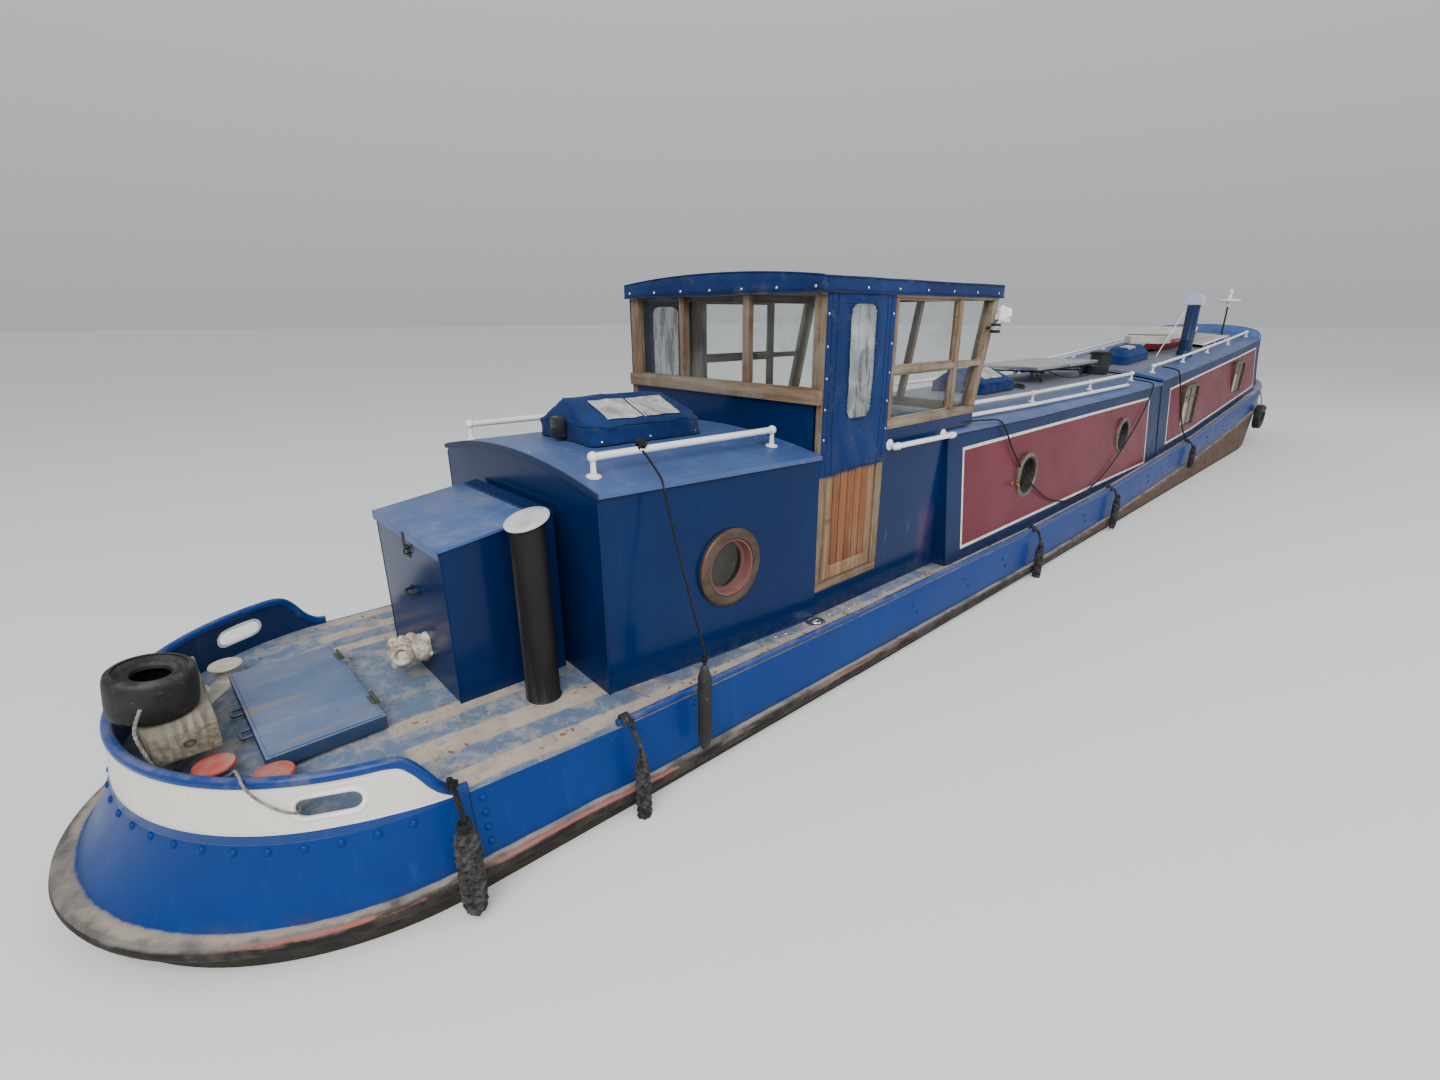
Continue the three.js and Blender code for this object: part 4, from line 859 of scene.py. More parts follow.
def twisted(path, radius):
    """A three-strand rope along a path."""
    path = smooth_path(path, 0.012)
    strands = []
    travelled = 0.0
    frames, across = [], None
    for i, point in enumerate(path):
        along = (path[min(i + 1, len(path) - 1)] - path[max(i - 1, 0)]).normalized()
        if across is None:
            across = along.orthogonal().normalized()
        across = (across - along * across.dot(along)).normalized()
        travelled += (point - path[i - 1]).length if i else 0.0
        frames.append((point, across.copy(), along.cross(across), travelled))
    for s in range(3):
        line = []
        for point, u, v, d in frames:
            a = 2 * pi * (d * 18 + s / 3)
            line.append(point + (u * cos(a) + v * sin(a)) * radius * 0.5)
        strands.append(tube(line, radius * 0.58, 6))
    return joined(*strands)


def knot(centre, size, axis=(0, 1, 0)):
    """Three turns of cord round a tie point."""
    centre = Vector(centre)
    along = Vector(axis).normalized()
    u = along.orthogonal().normalized()
    v = along.cross(u)
    path = []
    for i in range(40):
        a = 2 * pi * i / 13
        lift = size * 0.5 * sin(i * 0.7)
        path.append(centre + (u * cos(a) + v * sin(a)) * size * (0.8 + 0.2 * sin(i * 1.9)) + along
            * (lift + (i / 39 - 0.5) * size))
    return tube(path, size * 0.3, 7)


# the boat's materials

STRAKE_LINE = [(x, straight(SHEER, x) - 0.29) for x in (1.6, 4.11, 6.03, 9.04, 11.33, 12.1, 12.75, 13.3,
    13.9, 14.4, 14.95)]
STRAKE_LINE = [(-2.2, 0.16), (-0.75, 0.16), (-0.25, 0.1487), (0.0, 0.128)] + STRAKE_LINE
SHEER_LINE = [(-2.2, 0.435)] + SHEER


def topside_blue(p, below_deck):
    """Smooth dark blue with slow changes, faint run-down streaks and a few scuffs."""
    blue = p.mix(p.spots(0.34, 0.72, 1.1, 5, 0.6, (1, 1, 1.6)), HULL_BLUE, (0.0004, 0.024, 0.14))
    blue = p.lay(blue, (0.006, 0.075, 0.3), p.spots(0.5, 0.82, 1.0, 6, 0.62, (8, 8, 0.8)), 0.16)
    chalk = p.both(p.spots(0.56, 0.8, 1.0, 5, 0.6, (22, 22, 1.2)), p.step(below_deck, 0.0, 0.05))
    blue = p.lay(blue, (0.1, 0.22, 0.42), chalk, 0.1)
    scuffs = p.both(p.spots(0.66, 0.76, 1.0, 4, 0.7, (2.2, 2.2, 34)), p.spots(0.5, 0.62, 1.6, 3))
    blue = p.lay(blue, (0.02, 0.05, 0.14), scuffs, 0.35)
    nicks = p.both(p.spots(0.68, 0.74, 38, 4, 0.7), p.spots(0.46, 0.6, 2.6, 3))
    blue = p.lay(blue, (0.1, 0.12, 0.14), nicks, 0.6)
    smear = p.both(p.spots(0.64, 0.74, 6.5, 5, 0.7, warp=0.8), p.spots(0.5, 0.62, 1.4, 3))
    return p.lay(blue, (0.14, 0.13, 0.24), smear, 0.35)


def strake_colour(p, height):
    """Rubbing strake: greyish tan on top, a pink scrape along its inner edge, rust toward the bow."""
    black = p.mix(p.spots(0.42, 0.72, 9, 6, 0.66), (0.014, 0.013, 0.012), (0.05, 0.044, 0.038))
    rust = p.both(p.spots(0.5, 0.7, 5.2, 6, 0.66, (1, 1, 2.0)), p.spots(0.38, 0.56, 1.3, 3))
    black = p.lay(black, (0.085, 0.042, 0.024), rust, 0.62)
    fore = p.both(p.step(p.x, 3.5, 7.5), p.spots(0.28, 0.52, 3.1, 6, 0.7, (1, 1, 3)))
    black = p.lay(black, (0.12, 0.066, 0.042), fore, 0.75)
    worn = p.both(p.spots(0.5, 0.66, 1.0, 5, 0.66, (3.5, 3.5, 20)), p.band(height, -0.03, 0.01, 0.006))
    black = p.lay(black, (0.2, 0.17, 0.14), worn, 0.5)
    on_top = p.both(p.step(p.facing_up(), 0.35, 0.75), p.step(height, -0.03, -0.016))
    tan = p.mix(p.spots(0.36, 0.62, 7, 6, 0.68), (0.105, 0.1, 0.095), (0.18, 0.168, 0.15))
    tan = p.lay(tan, (0.06, 0.055, 0.052), p.spots(0.52, 0.62, 2.2, 4), 0.7)
    stain = p.both(p.step(height, -0.0035, 0.002), p.spots(0.3, 0.48, 4, 5, 0.7))
    tan = p.lay(tan, (0.29, 0.24, 0.17), stain, 0.7)
    black = p.lay(black, tan, on_top, 0.92)
    streak = p.spots(0.46, 0.56, 1.0, 5, 0.7, (2.4, 2.4, 12))
    pink = p.both(p.band(height, -0.022, -0.008, 0.004), streak,
        p.both(p.step(p.x, 3.0, 0.5), p.step(p.x, -1.8, -1.3)))
    black = p.lay(black, (0.38, 0.125, 0.115), pink, 0.66)
    line = p.both(p.band(height, -0.004, 0.008, 0.002), p.spots(0.4, 0.56, 3.0, 4))
    black = p.lay(black, (0.36, 0.31, 0.24), line, 0.6)
    return p.mix(p.step(p.z, 0.05, 0.0), black, (0.022, 0.026, 0.016))


def hull_paint():
    """Blue topsides over a dark rubbing strake and bottom, with a seam between the stern and the sides."""
    p = Paint("hull_paint")
    above = p.less(p.z, p.table(p.x, STRAKE_LINE))
    below_deck = p.less(p.table(p.x, SHEER_LINE), p.z)
    blue = topside_blue(p, below_deck)
    grime = p.both(p.step(above, 0.06, 0.0), p.spots(0.4, 0.7, 7, 5, 0.6))
    blue = p.lay(blue, (0.035, 0.045, 0.06), grime, 0.45)
    low = p.both(p.step(above, 0.05, 0.0), p.both(p.step(p.x, 4.0, 8.5), p.spots(0.3, 0.55, 5, 6, 0.7)))
    blue = p.lay(blue, (0.1, 0.062, 0.046), low, 0.7)
    seam = p.band(p.x, -0.752, -0.745, 0.001)
    blue = p.lay(blue, (0.003, 0.01, 0.035), seam, 0.85)
    edge = p.vary(0.008, -0.004, 14, 4, 0.6)
    height = p.math("ADD", above, edge)
    under = p.step(height, 0.004, -0.002)
    colour = p.mix(under, blue, strake_colour(p, height))
    rough = p.vary(0.22, 0.27, 5, 5, 0.6)
    rough = p.math("ADD", rough, p.both(under, 0.3), clamp=True)
    normal = p.bump(p.noise(1.25, 2, 0.4), 0.01, p.rounded(0.003), 0.55)
    normal = p.bump(p.noise(24, 5, 0.6), 0.0012, normal, 0.3)
    normal = p.bump(p.both(p.noise(60, 4, 0.7), under), 0.0016, normal, 0.7)
    return p.finish(colour, rough, normal, Specular_IOR_Level=0.14, Coat_Weight=0.04, Coat_Roughness=0.1)


def cream_colour(p):
    cream = p.mix(p.spots(0.4, 0.74, 3.2, 5, 0.6), (0.68, 0.665, 0.6), (0.6, 0.58, 0.52))
    runs = p.both(p.spots(0.6, 0.78, 1.0, 5, 0.66, (30, 30, 2.2)), 0.28)
    cream = p.mix(runs, cream, (0.34, 0.31, 0.26))
    specks = p.spots(0.7, 0.76, 70, 3, 0.7)
    return p.lay(cream, (0.22, 0.15, 0.1), specks, 0.6)


# Foot of the cream band round the stern: x, z
BAND_FOOT = [(-1.75, 0.472), (-1.15, 0.472), (-1.0, 0.466), (-0.83, 0.452), (-0.75, 0.446)]


def bulwark_paint():
    """Cream plate over a foot in the hull's blue."""
    p = Paint("bulwark_paint")
    cream = cream_colour(p)
    grey = p.mix(p.spots(0.45, 0.7, 12, 5, 0.62), cream, (0.44, 0.41, 0.36))
    cream = p.lay(cream, grey, p.step(p.z, 0.5, 0.47), 0.25)
    foot = p.step(p.less(p.z, p.table(p.x, BAND_FOOT)), 0.0005, -0.0005)
    blue = topside_blue(p, p.less(0.5, p.z))
    colour = p.mix(foot, cream, blue)
    rough = p.vary(0.2, 0.3, 8, 4)
    normal = p.bump(p.noise(2.2, 2, 0.4), 0.006, p.rounded(0.002), 0.5)
    normal = p.bump(p.noise(90, 3, 0.6), 0.0005, normal, 0.6)
    return p.finish(colour, rough, normal, Specular_IOR_Level=0.35, Coat_Weight=0.08)


def deck_colour(p):
    """Worn blue deck paint with trodden bare bands, grit and damp marks."""
    blue = p.mix(p.spots(0.32, 0.7, 2.4, 6, 0.64), (0.11, 0.16, 0.245), (0.082, 0.124, 0.2))
    blue = p.lay(blue, (0.27, 0.285, 0.305), p.spots(0.46, 0.66, 13, 6, 0.7), 0.62)
    blue = p.lay(blue, (0.34, 0.3, 0.245), p.spots(0.48, 0.6, 5.5, 6, 0.7, warp=0.6), 0.62)
    return p.lay(blue, (0.24, 0.22, 0.19), p.spots(0.6, 0.7, 62, 3, 0.7), 0.55)


def bare_colour(p):
    bare = p.mix(p.spots(0.36, 0.66, 9, 6, 0.66), (0.42, 0.345, 0.27), (0.32, 0.265, 0.21))
    bare = p.lay(bare, (0.36, 0.3, 0.24), p.spots(0.52, 0.66, 34, 4, 0.66), 0.5)
    return p.lay(bare, (0.13, 0.105, 0.085), p.spots(0.58, 0.72, 4.2, 5, 0.6), 0.5)


def deck_paint():
    p = Paint("deck_paint")
    side = p.math("ABSOLUTE", p.y)
    shift = p.vary(0.034, -0.017, 7, 5, 0.6)
    out = p.math("ADD", side, shift)
    drift = p.table(p.x, [(-0.83, 0.0), (0.0, 0.045), (0.5, 0.045)])
    first = p.both(p.band(out, 0.42, 0.51, 0.008), p.band(p.x, -0.86, -0.29, 0.02))
    second_out = p.less(out, drift)
    second = p.both(p.band(second_out, 0.615, 0.728, 0.008), p.band(p.x, -0.85, 0.0, 0.02))
    inner = p.table(p.x, [(-0.7, 0.853), (0.0, 0.889), (0.5, 0.906), (1.6, 0.935), (4.0, 0.945),
        (12.1, 0.95)])
    outer = p.table(p.x, [(-0.7, 0.958), (0.0, 0.974), (0.5, 0.99), (1.6, 1.01), (4.0, 1.012),
        (12.1, 1.012)])
    third = p.both(p.step(p.less(out, inner), -0.008, 0.008), p.step(p.less(out, outer), 0.008, -0.008))
    third = p.both(third, p.step(p.x, -0.86, -0.7))
    fading = p.table(p.x, [(-0.7, 0.95), (2.0, 0.9), (4.5, 0.7), (8.0, 0.55), (12.0, 0.45)])
    third = p.both(third, fading)
    bands = p.math("MAXIMUM", p.math("MAXIMUM", first, second), third)
    patchy = p.spots(0.26, 0.46, 16, 6, 0.7)
    colour = p.mix(p.both(bands, patchy), deck_colour(p), bare_colour(p))
    margin = p.both(p.step(out, 0.975, 0.995), p.spots(0.3, 0.6, 11, 5, 0.6))
    colour = p.lay(colour, (0.1, 0.085, 0.065), margin, 0.45)
    foot = p.both(p.step(p.less(0.9, side), -0.03, 0.05), p.step(p.x, 0.0, 0.02))
    colour = p.lay(colour, (0.085, 0.07, 0.055), foot, p.spots(0.36, 0.62, 15, 5, 0.66), 0.5)
    damp = p.spots(0.56, 0.66, 1.9, 5, 0.62)
    colour = p.lay(colour, (0.07, 0.08, 0.095), damp, 0.2)
    flecks = p.step(p.cells(120), 0.16, 0.1)
    colour = p.lay(colour, (0.4, 0.35, 0.25), flecks, p.spots(0.46, 0.58, 3.3, 4), 0.8)
    rough = p.vary(0.3, 0.45, 7, 5)
    rough = p.less(rough, p.both(damp, 0.2))
    normal = p.bump(p.noise(80, 4, 0.7), 0.0016, p.rounded(0.004), 0.75)
    normal = p.bump(p.noise(5, 4, 0.5), 0.004, normal, 0.5)
    return p.finish(colour, rough, normal)


def hatch_paint():
    """Thin blue-grey paint on the hatch with brown smudges, pale scratches and a darker rim."""
    p = Paint("hatch_paint")
    blue = p.mix(p.spots(0.34, 0.7, 2.1, 6, 0.64), (0.07, 0.12, 0.235), (0.13, 0.165, 0.245))
    blue = p.lay(blue, (0.18, 0.215, 0.295), p.spots(0.5, 0.7, 1.0, 6, 0.68, (3, 11, 3)), 0.55)
    brown = p.both(p.spots(0.54, 0.66, 1.0, 5, 0.66, (2.2, 7.5, 3)), p.step(p.facing_up(), 0.5, 0.9))
    blue = p.lay(blue, (0.225, 0.175, 0.125), brown, 0.6)
    blue = p.lay(blue, (0.02, 0.035, 0.06), p.spots(0.6, 0.7, 17, 6, 0.72), 0.45)
    scratch = p.both(p.spots(0.68, 0.74, 1.0, 3, 0.7, (60, 9, 9)), p.spots(0.48, 0.6, 1.7, 3))
    blue = p.lay(blue, (0.36, 0.37, 0.33), scratch, 0.7)
    sides = p.step(p.facing_up(), 0.75, 0.35)
    blue = p.lay(blue, (0.006, 0.022, 0.06), sides, 0.85)
    rough = p.vary(0.24, 0.34, 8, 5, 0.6)
    normal = p.bump(p.noise(2.4, 3, 0.5), 0.004, p.rounded(0.003), 0.6)
    normal = p.bump(p.noise(70, 4, 0.7), 0.001, normal, 0.6)
    return p.finish(blue, rough, normal, Specular_IOR_Level=0.25)


def roof_paint():
    """Blue roof enamel gone chalky, with grey wash-off, droppings and settled dirt at its margins."""
    p = Paint("roof_paint")
    base = p.mix(p.spots(0.34, 0.7, 1.3, 5, 0.6), (0.038, 0.076, 0.205), (0.058, 0.108, 0.255))
    base = p.lay(base, (0.09, 0.16, 0.3), p.spots(0.48, 0.72, 4.5, 6, 0.7, warp=0.4), 0.3)
    base = p.lay(base, (0.26, 0.28, 0.31), p.spots(0.54, 0.7, 11, 6, 0.7), 0.16)
    dirt = p.both(p.spots(0.5, 0.68, 2.1, 6, 0.66), p.spots(0.3, 0.6, 24, 4, 0.7))
    base = p.lay(base, (0.11, 0.1, 0.085), dirt, 0.4)
    specks = p.both(p.spots(0.66, 0.72, 70, 3, 0.7), p.spots(0.42, 0.58, 2.7, 3))
    base = p.lay(base, (0.55, 0.54, 0.5), specks, 0.85)
    spots = p.both(p.step(p.cells(7), 0.055, 0.035), p.spots(0.5, 0.56, 1.7, 2))
    base = p.lay(base, (0.62, 0.62, 0.58), spots, 0.7)
    middle = p.both(p.step(p.math("ABSOLUTE", p.y), 0.6, 0.44), p.step(p.x, 2.9, 3.4))
    base = p.lay(base, (0.15, 0.155, 0.175), middle, p.spots(0.18, 0.5, 3.1, 6, 0.64), 0.85)
    base = p.mix(p.step(p.x, 0.003, -0.003), base, NAVY)
    rough = p.vary(0.26, 0.34, 5, 5, 0.6)
    normal = p.bump(p.noise(1.5, 2, 0.4), 0.006, p.rounded(0.004), 0.6)
    normal = p.bump(p.noise(120, 3, 0.6), 0.0006, normal, 0.6)
    return p.finish(base, rough, normal, Specular_IOR_Level=0.3, Coat_Weight=0.04)


def navy_colour(p):
    navy = p.mix(p.spots(0.34, 0.72, 1.2, 5, 0.6), NAVY, (0.001, 0.0165, 0.078))
    navy = p.lay(navy, (0.02, 0.055, 0.14), p.spots(0.54, 0.8, 1.0, 6, 0.66, (20, 20, 1.1)), 0.1)
    navy = p.lay(navy, (0.03, 0.06, 0.12), p.spots(0.62, 0.78, 6, 6, 0.66), 0.14)
    nicks = p.both(p.spots(0.7, 0.755, 44, 4, 0.7), p.spots(0.46, 0.6, 2.4, 3))
    navy = p.lay(navy, (0.16, 0.18, 0.21), nicks, 0.35)
    smear = p.spots(0.5, 0.7, 1.0, 6, 0.72, (26, 26, 5), warp=0.5)
    for x0, x1, z0, z1, much in ((2.085, 2.125, 0.6, 0.8, 0.4), (2.33, 2.39, 0.7, 0.8, 0.3),
            (2.13, 2.24, 0.75, 0.78, 0.16)):
        place = p.both(p.band(p.x, x0, x1, 0.03), p.band(p.z, z0, z1, 0.04), p.step(p.y, -0.5, -0.6))
        navy = p.lay(navy, (0.1, 0.22, 0.36), place, smear, much)
    stain = p.both(p.band(p.x, 2.5, 2.68, 0.05), p.band(p.z, 0.45, 0.85, 0.1), p.step(p.y, -0.5, -0.6))
    return p.lay(navy, (0.07, 0.035, 0.085), stain, p.spots(0.3, 0.6, 5, 4, 0.6), 0.5)


def navy_paint():
    """Glossy dark blue cabin enamel, dirty at the foot."""
    p = Paint("navy_paint")
    colour = navy_colour(p)
    foot = p.less(p.z, p.table(p.x, SHEER_LINE))
    splash = p.both(p.step(foot, 0.1, 0.0), p.spots(0.34, 0.62, 15, 6, 0.68))
    colour = p.lay(colour, (0.085, 0.075, 0.065), splash, 0.16)
    rough = p.math("ADD", p.vary(0.16, 0.12, 4, 5, 0.6), p.both(splash, 0.12))
    normal = p.bump(p.noise(1.15, 2, 0.35), 0.01, p.rounded(0.003), 0.5)
    normal = p.bump(p.noise(60, 3, 0.6), 0.0004, normal, 0.5)
    return p.finish(colour, rough, normal, Specular_IOR_Level=0.14, Coat_Weight=0.04, Coat_Roughness=0.07)


def panel_mask(p, x0, x1, low, high):
    """How far inside a long panel a point lies, in metres, from rows of its lower and upper edge."""
    up = p.less(p.z, p.table(p.x, low))
    down = p.less(p.table(p.x, high), p.z)
    fore = p.less(x1, p.x)
    back = p.less(p.x, x0)
    return p.math("MINIMUM", p.math("MINIMUM", up, down), p.math("MINIMUM", fore, back))


def panel_paint(name, x0, x1, low, high):
    """A maroon panel with a white coach line round it on dark blue."""
    p = Paint(name)
    inside = panel_mask(p, x0, x1, low, high)
    wobble = p.vary(0.003, -0.0015, 6, 3)
    inside = p.math("ADD", inside, wobble)
    maroon = p.mix(p.spots(0.36, 0.7, 1.5, 5, 0.6), (0.12, 0.015, 0.026), (0.145, 0.021, 0.036))
    maroon = p.lay(maroon, (0.185, 0.05, 0.066), p.spots(0.52, 0.8, 1.0, 6, 0.66, (14, 14, 0.9)), 0.22)
    maroon = p.lay(maroon, (0.17, 0.09, 0.09), p.spots(0.62, 0.76, 7, 6, 0.7), 0.1)
    white = p.mix(p.spots(0.4, 0.72, 22, 4, 0.6), (0.7, 0.69, 0.66), (0.47, 0.45, 0.42))
    navy = navy_colour(p)
    foot = p.less(p.z, p.table(p.x, SHEER_LINE))
    splash = p.both(p.step(foot, 0.12, 0.0), p.spots(0.3, 0.62, 15, 6, 0.68))
    navy = p.lay(navy, (0.085, 0.075, 0.065), splash, 0.25)
    colour = p.mix(p.step(inside, -0.001, 0.001), navy, white)
    colour = p.mix(p.step(inside, 0.0215, 0.0235), colour, maroon)
    rough = p.vary(0.22, 0.28, 4, 5, 0.6)
    normal = p.bump(p.noise(1.15, 2, 0.35), 0.014, p.rounded(0.003), 0.5)
    normal = p.bump(p.step(inside, -0.001, 0.002), 0.0012, normal, 0.6)
    normal = p.bump(p.noise(60, 3, 0.6), 0.0004, normal, 0.5)
    return p.finish(colour, rough, normal, Specular_IOR_Level=0.14, Coat_Weight=0.04, Coat_Roughness=0.1)


def wood(name, dark, mid, pale, grain="z", grey=0.0, gloss=0.5, coat=0.0, boards=None, cracks=0.5):
    """Sawn wood with its grain along one axis; boards is a width along x or y for joints between boards."""
    p = Paint(name)
    stretch = {"x": (1.1, 26, 26), "y": (26, 1.1, 26), "z": (26, 26, 1.1)}[grain]
    fine = {"x": (5, 190, 190), "y": (190, 5, 190), "z": (190, 190, 5)}[grain]
    figure = p.noise(1.0, 6, 0.62, stretch, warp=1.1)
    rings = p.wave(1.0, p.scaled(*[s * 0.42 for s in stretch]), warp=7.0, detail=3,
        direction={"x": "Y", "y": "X", "z": "X"}[grain])
    colour = p.ramp(figure, (0.28, dark), (0.48, mid), (0.7, pale))
    colour = p.lay(colour, dark, p.step(rings, 0.35, 0.85), 0.35)
    fibre = p.noise(1.0, 3, 0.7, fine)
    colour = p.lay(colour, tuple(c * 0.45 for c in dark), p.step(fibre, 0.5, 0.7), 0.42)
    weather = p.spots(0.5 - grey * 0.34, 0.72 - grey * 0.3, 3.0, 6, 0.66)
    colour = p.lay(colour, (0.3, 0.275, 0.235), weather, min(1.0, grey * 1.3))
    black = p.both(p.spots(0.58, 0.7, 8, 5, 0.66), p.spots(0.4, 0.6, 1.0, 3, 0.6, stretch))
    colour = p.lay(colour, (0.035, 0.026, 0.02), black, 0.35 + grey * 0.3)
    height = p.math("MULTIPLY_ADD", fibre, 0.5, p.both(figure, 0.5))
    if boards:
        axis, width, start = boards
        place = {"x": p.x, "y": p.y}[axis]
        phase = p.math("FRACT", p.math("DIVIDE", p.less(place, start), width))
        edge = p.math("MINIMUM", phase, p.less(1.0, phase))
        groove = p.step(edge, 0.045, 0.012)
        plank = p.math("FLOOR", p.math("DIVIDE", p.less(place, start), width))
        tone = p.math("FRACT", p.both(p.math("SINE", p.both(plank, 12.9898)), 43758.5))
        colour = p.lay(colour, pale, tone, 0.45)
        colour = p.mix(groove, colour, (0.018, 0.01, 0.006))
        height = p.less(height, p.both(groove, 3.0))
    rough = p.vary(0.28, gloss, 9, 5, 0.6)
    normal = p.bump(height, 0.0012, p.rounded(0.003), 0.8)
    split = p.both(p.spots(0.64, 0.7, 1.0, 3, 0.5, [s * 0.5 for s in stretch]), cracks)
    normal = p.bump(split, -0.003, normal, 0.8)
    return p.finish(colour, rough, normal, Specular_IOR_Level=0.25, Coat_Weight=coat, Coat_Roughness=0.2)


def canvas(name, base, pale, dirt=0.3, weave=700.0, folds=0.5, dusty=(0.2, 0.2, 0.2)):
    """Woven cover cloth with fine creases, faded where the sun falls."""
    p = Paint(name)
    colour = p.mix(p.spots(0.34, 0.7, 1.8, 5, 0.6), base, pale)
    colour = p.lay(colour, tuple(c * 0.6 for c in base), p.spots(0.5, 0.74, 10, 6, 0.66), 0.4)
    faded = p.both(p.step(p.facing_up(), 0.3, 0.95), 0.22)
    colour = p.mix(faded, colour, pale)
    marks = p.both(p.spots(0.55, 0.7, 5, 6, 0.7, warp=0.5), dirt)
    colour = p.mix(marks, colour, dusty)
    lint = p.both(p.spots(0.62, 0.7, 60, 3, 0.7), dirt)
    colour = p.mix(lint, colour, dusty)
    warp = p.math("SINE", p.both(p.math("ADD", p.x, p.y), weave))
    weft = p.math("SINE", p.both(p.z, weave))
    threads = p.math("MULTIPLY_ADD", p.both(warp, weft), 0.5, 0.5)
    normal = p.bump(p.noise(3.6, 4, 0.55, warp=0.8), 0.02, None, folds)
    normal = p.bump(p.noise(15, 4, 0.6, warp=1.4), 0.005, normal, folds)
    normal = p.bump(threads, 0.0005, normal, 0.5)
    return p.finish(colour, 0.8, normal, Specular_IOR_Level=0.12, Sheen_Weight=0.04, Sheen_Roughness=0.5)


def vinyl():
    """Clear window sheet, crinkled and slightly clouded."""
    p = Paint("clear_vinyl")
    cloud = p.spots(0.4, 0.75, 5, 5, 0.62, warp=0.7)
    colour = p.mix(cloud, (0.5, 0.54, 0.55), (0.78, 0.8, 0.8))
    # Dark vertical streaks: painted shade of the sheet's crinkles.
    streaks = p.spots(0.5, 0.62, 1.0, 5, 0.66, (30, 30, 3.5), warp=0.4)
    colour = p.lay(colour, (0.1, 0.11, 0.12), streaks, 0.7)
    rough = p.math("MULTIPLY_ADD", cloud, 0.2, 0.06)
    normal = p.bump(p.noise(7, 4, 0.6, warp=1.6), 0.012, None, 0.8)
    normal = p.bump(p.noise(26, 4, 0.6, warp=1.0), 0.003, normal, 0.7)
    solid = p.less(1.0, p.math("MULTIPLY_ADD", cloud, 0.22, 0.1))
    return p.finish(colour, rough, normal, Transmission_Weight=solid)


def clear_panel():
    """A clear sheet sewn into a cover, with the pale frame under it showing through."""
    p = Paint("clear_panel")
    colour = p.mix(p.spots(0.38, 0.66, 6, 5, 0.66, warp=1.2), (0.26, 0.26, 0.25), (0.5, 0.49, 0.46))
    colour = p.lay(colour, (0.13, 0.14, 0.15), p.spots(0.54, 0.66, 17, 5, 0.7, warp=1.5), 0.6)
    normal = p.bump(p.noise(9, 4, 0.6, warp=1.5), 0.016, None, 0.8)
    normal = p.bump(p.noise(34, 4, 0.6, warp=1.2), 0.003, normal, 0.6)
    return p.finish(colour, p.vary(0.22, 0.12, 10, 4), normal, Coat_Weight=0.5, Coat_Roughness=0.06)


def glazing():
    """Thin window glass with smears and dried drops."""
    p = Paint("glazing")
    film = p.spots(0.5, 0.8, 3.2, 5, 0.62, warp=0.6)
    colour = p.mix(film, (0.93, 0.96, 0.95), (0.8, 0.84, 0.82))
    drops = p.step(p.cells(60), 0.1, 0.05)
    rough = p.math("ADD", p.math("MULTIPLY_ADD", film, 0.04, 0.005), p.both(drops, 0.1))
    normal = p.bump(p.noise(2.0, 2, 0.4), 0.0012, None, 0.5)
    clear = p.less(0.985, p.both(film, 0.09))
    return p.finish(colour, rough, normal, Transmission_Weight=clear, IOR=1.18)


def dark_glass():
    """Glass with a dim cabin behind it."""
    p = Paint("dark_glass")
    shade = p.mix(p.spots(0.35, 0.72, 2.6, 4, 0.5), (0.01, 0.012, 0.009), (0.036, 0.038, 0.028))
    film = p.spots(0.56, 0.78, 8, 5, 0.6)
    colour = p.lay(shade, (0.12, 0.12, 0.11), film, 0.3)
    rough = p.math("MULTIPLY_ADD", film, 0.14, 0.05)
    normal = p.bump(p.noise(2.0, 2, 0.4), 0.001, None, 0.5)
    return p.finish(colour, rough, normal, Specular_IOR_Level=0.25, Coat_Weight=0.12, Coat_Roughness=0.02)


def curtained_glass(name, x0, width, z0, height):
    """Dim window glass with a pale curtain drawn over its lower aft part."""
    p = Paint(name)
    shade = p.mix(p.spots(0.35, 0.72, 2.6, 4, 0.5), (0.012, 0.014, 0.01), (0.048, 0.05, 0.036))
    # The curtain's folds are painted as lighter and darker vertical bands: painted shade of the folds.
    folds = p.spots(0.36, 0.62, 1.0, 3, 0.5, (24, 24, 0.7))
    cloth = p.mix(folds, (0.2, 0.185, 0.13), (0.38, 0.36, 0.28))
    drawn = p.both(p.step(p.x, x0 + width * 0.5, x0 + width * 0.46),
        p.step(p.z, z0 + height * 0.62, z0 + height * 0.58))
    colour = p.mix(drawn, shade, cloth)
    rough = p.vary(0.14, 0.12, 8, 5, 0.6)
    normal = p.bump(p.noise(2.0, 2, 0.4), 0.001, None, 0.5)
    return p.finish(colour, rough, normal, Specular_IOR_Level=0.2)


def metal(name, base, tarnish, rough=0.3, amount=0.5, metallic=1.0, fine=70.0):
    p = Paint(name)
    cover = p.both(p.spots(0.42, 0.7, 9, 6, 0.66), amount)
    colour = p.mix(cover, base, tarnish)
    colour = p.lay(colour, tuple(c * 0.4 for c in tarnish), p.spots(0.58, 0.7, 45, 4, 0.7), amount * 0.7)
    shine = p.math("ADD", p.vary(0.2, rough - 0.1, 16, 5), p.both(cover, 0.25))
    normal = p.bump(p.noise(fine, 4, 0.6), 0.0007, p.rounded(0.0015), 0.6)
    return p.finish(colour, shine, normal, Metallic=metallic)


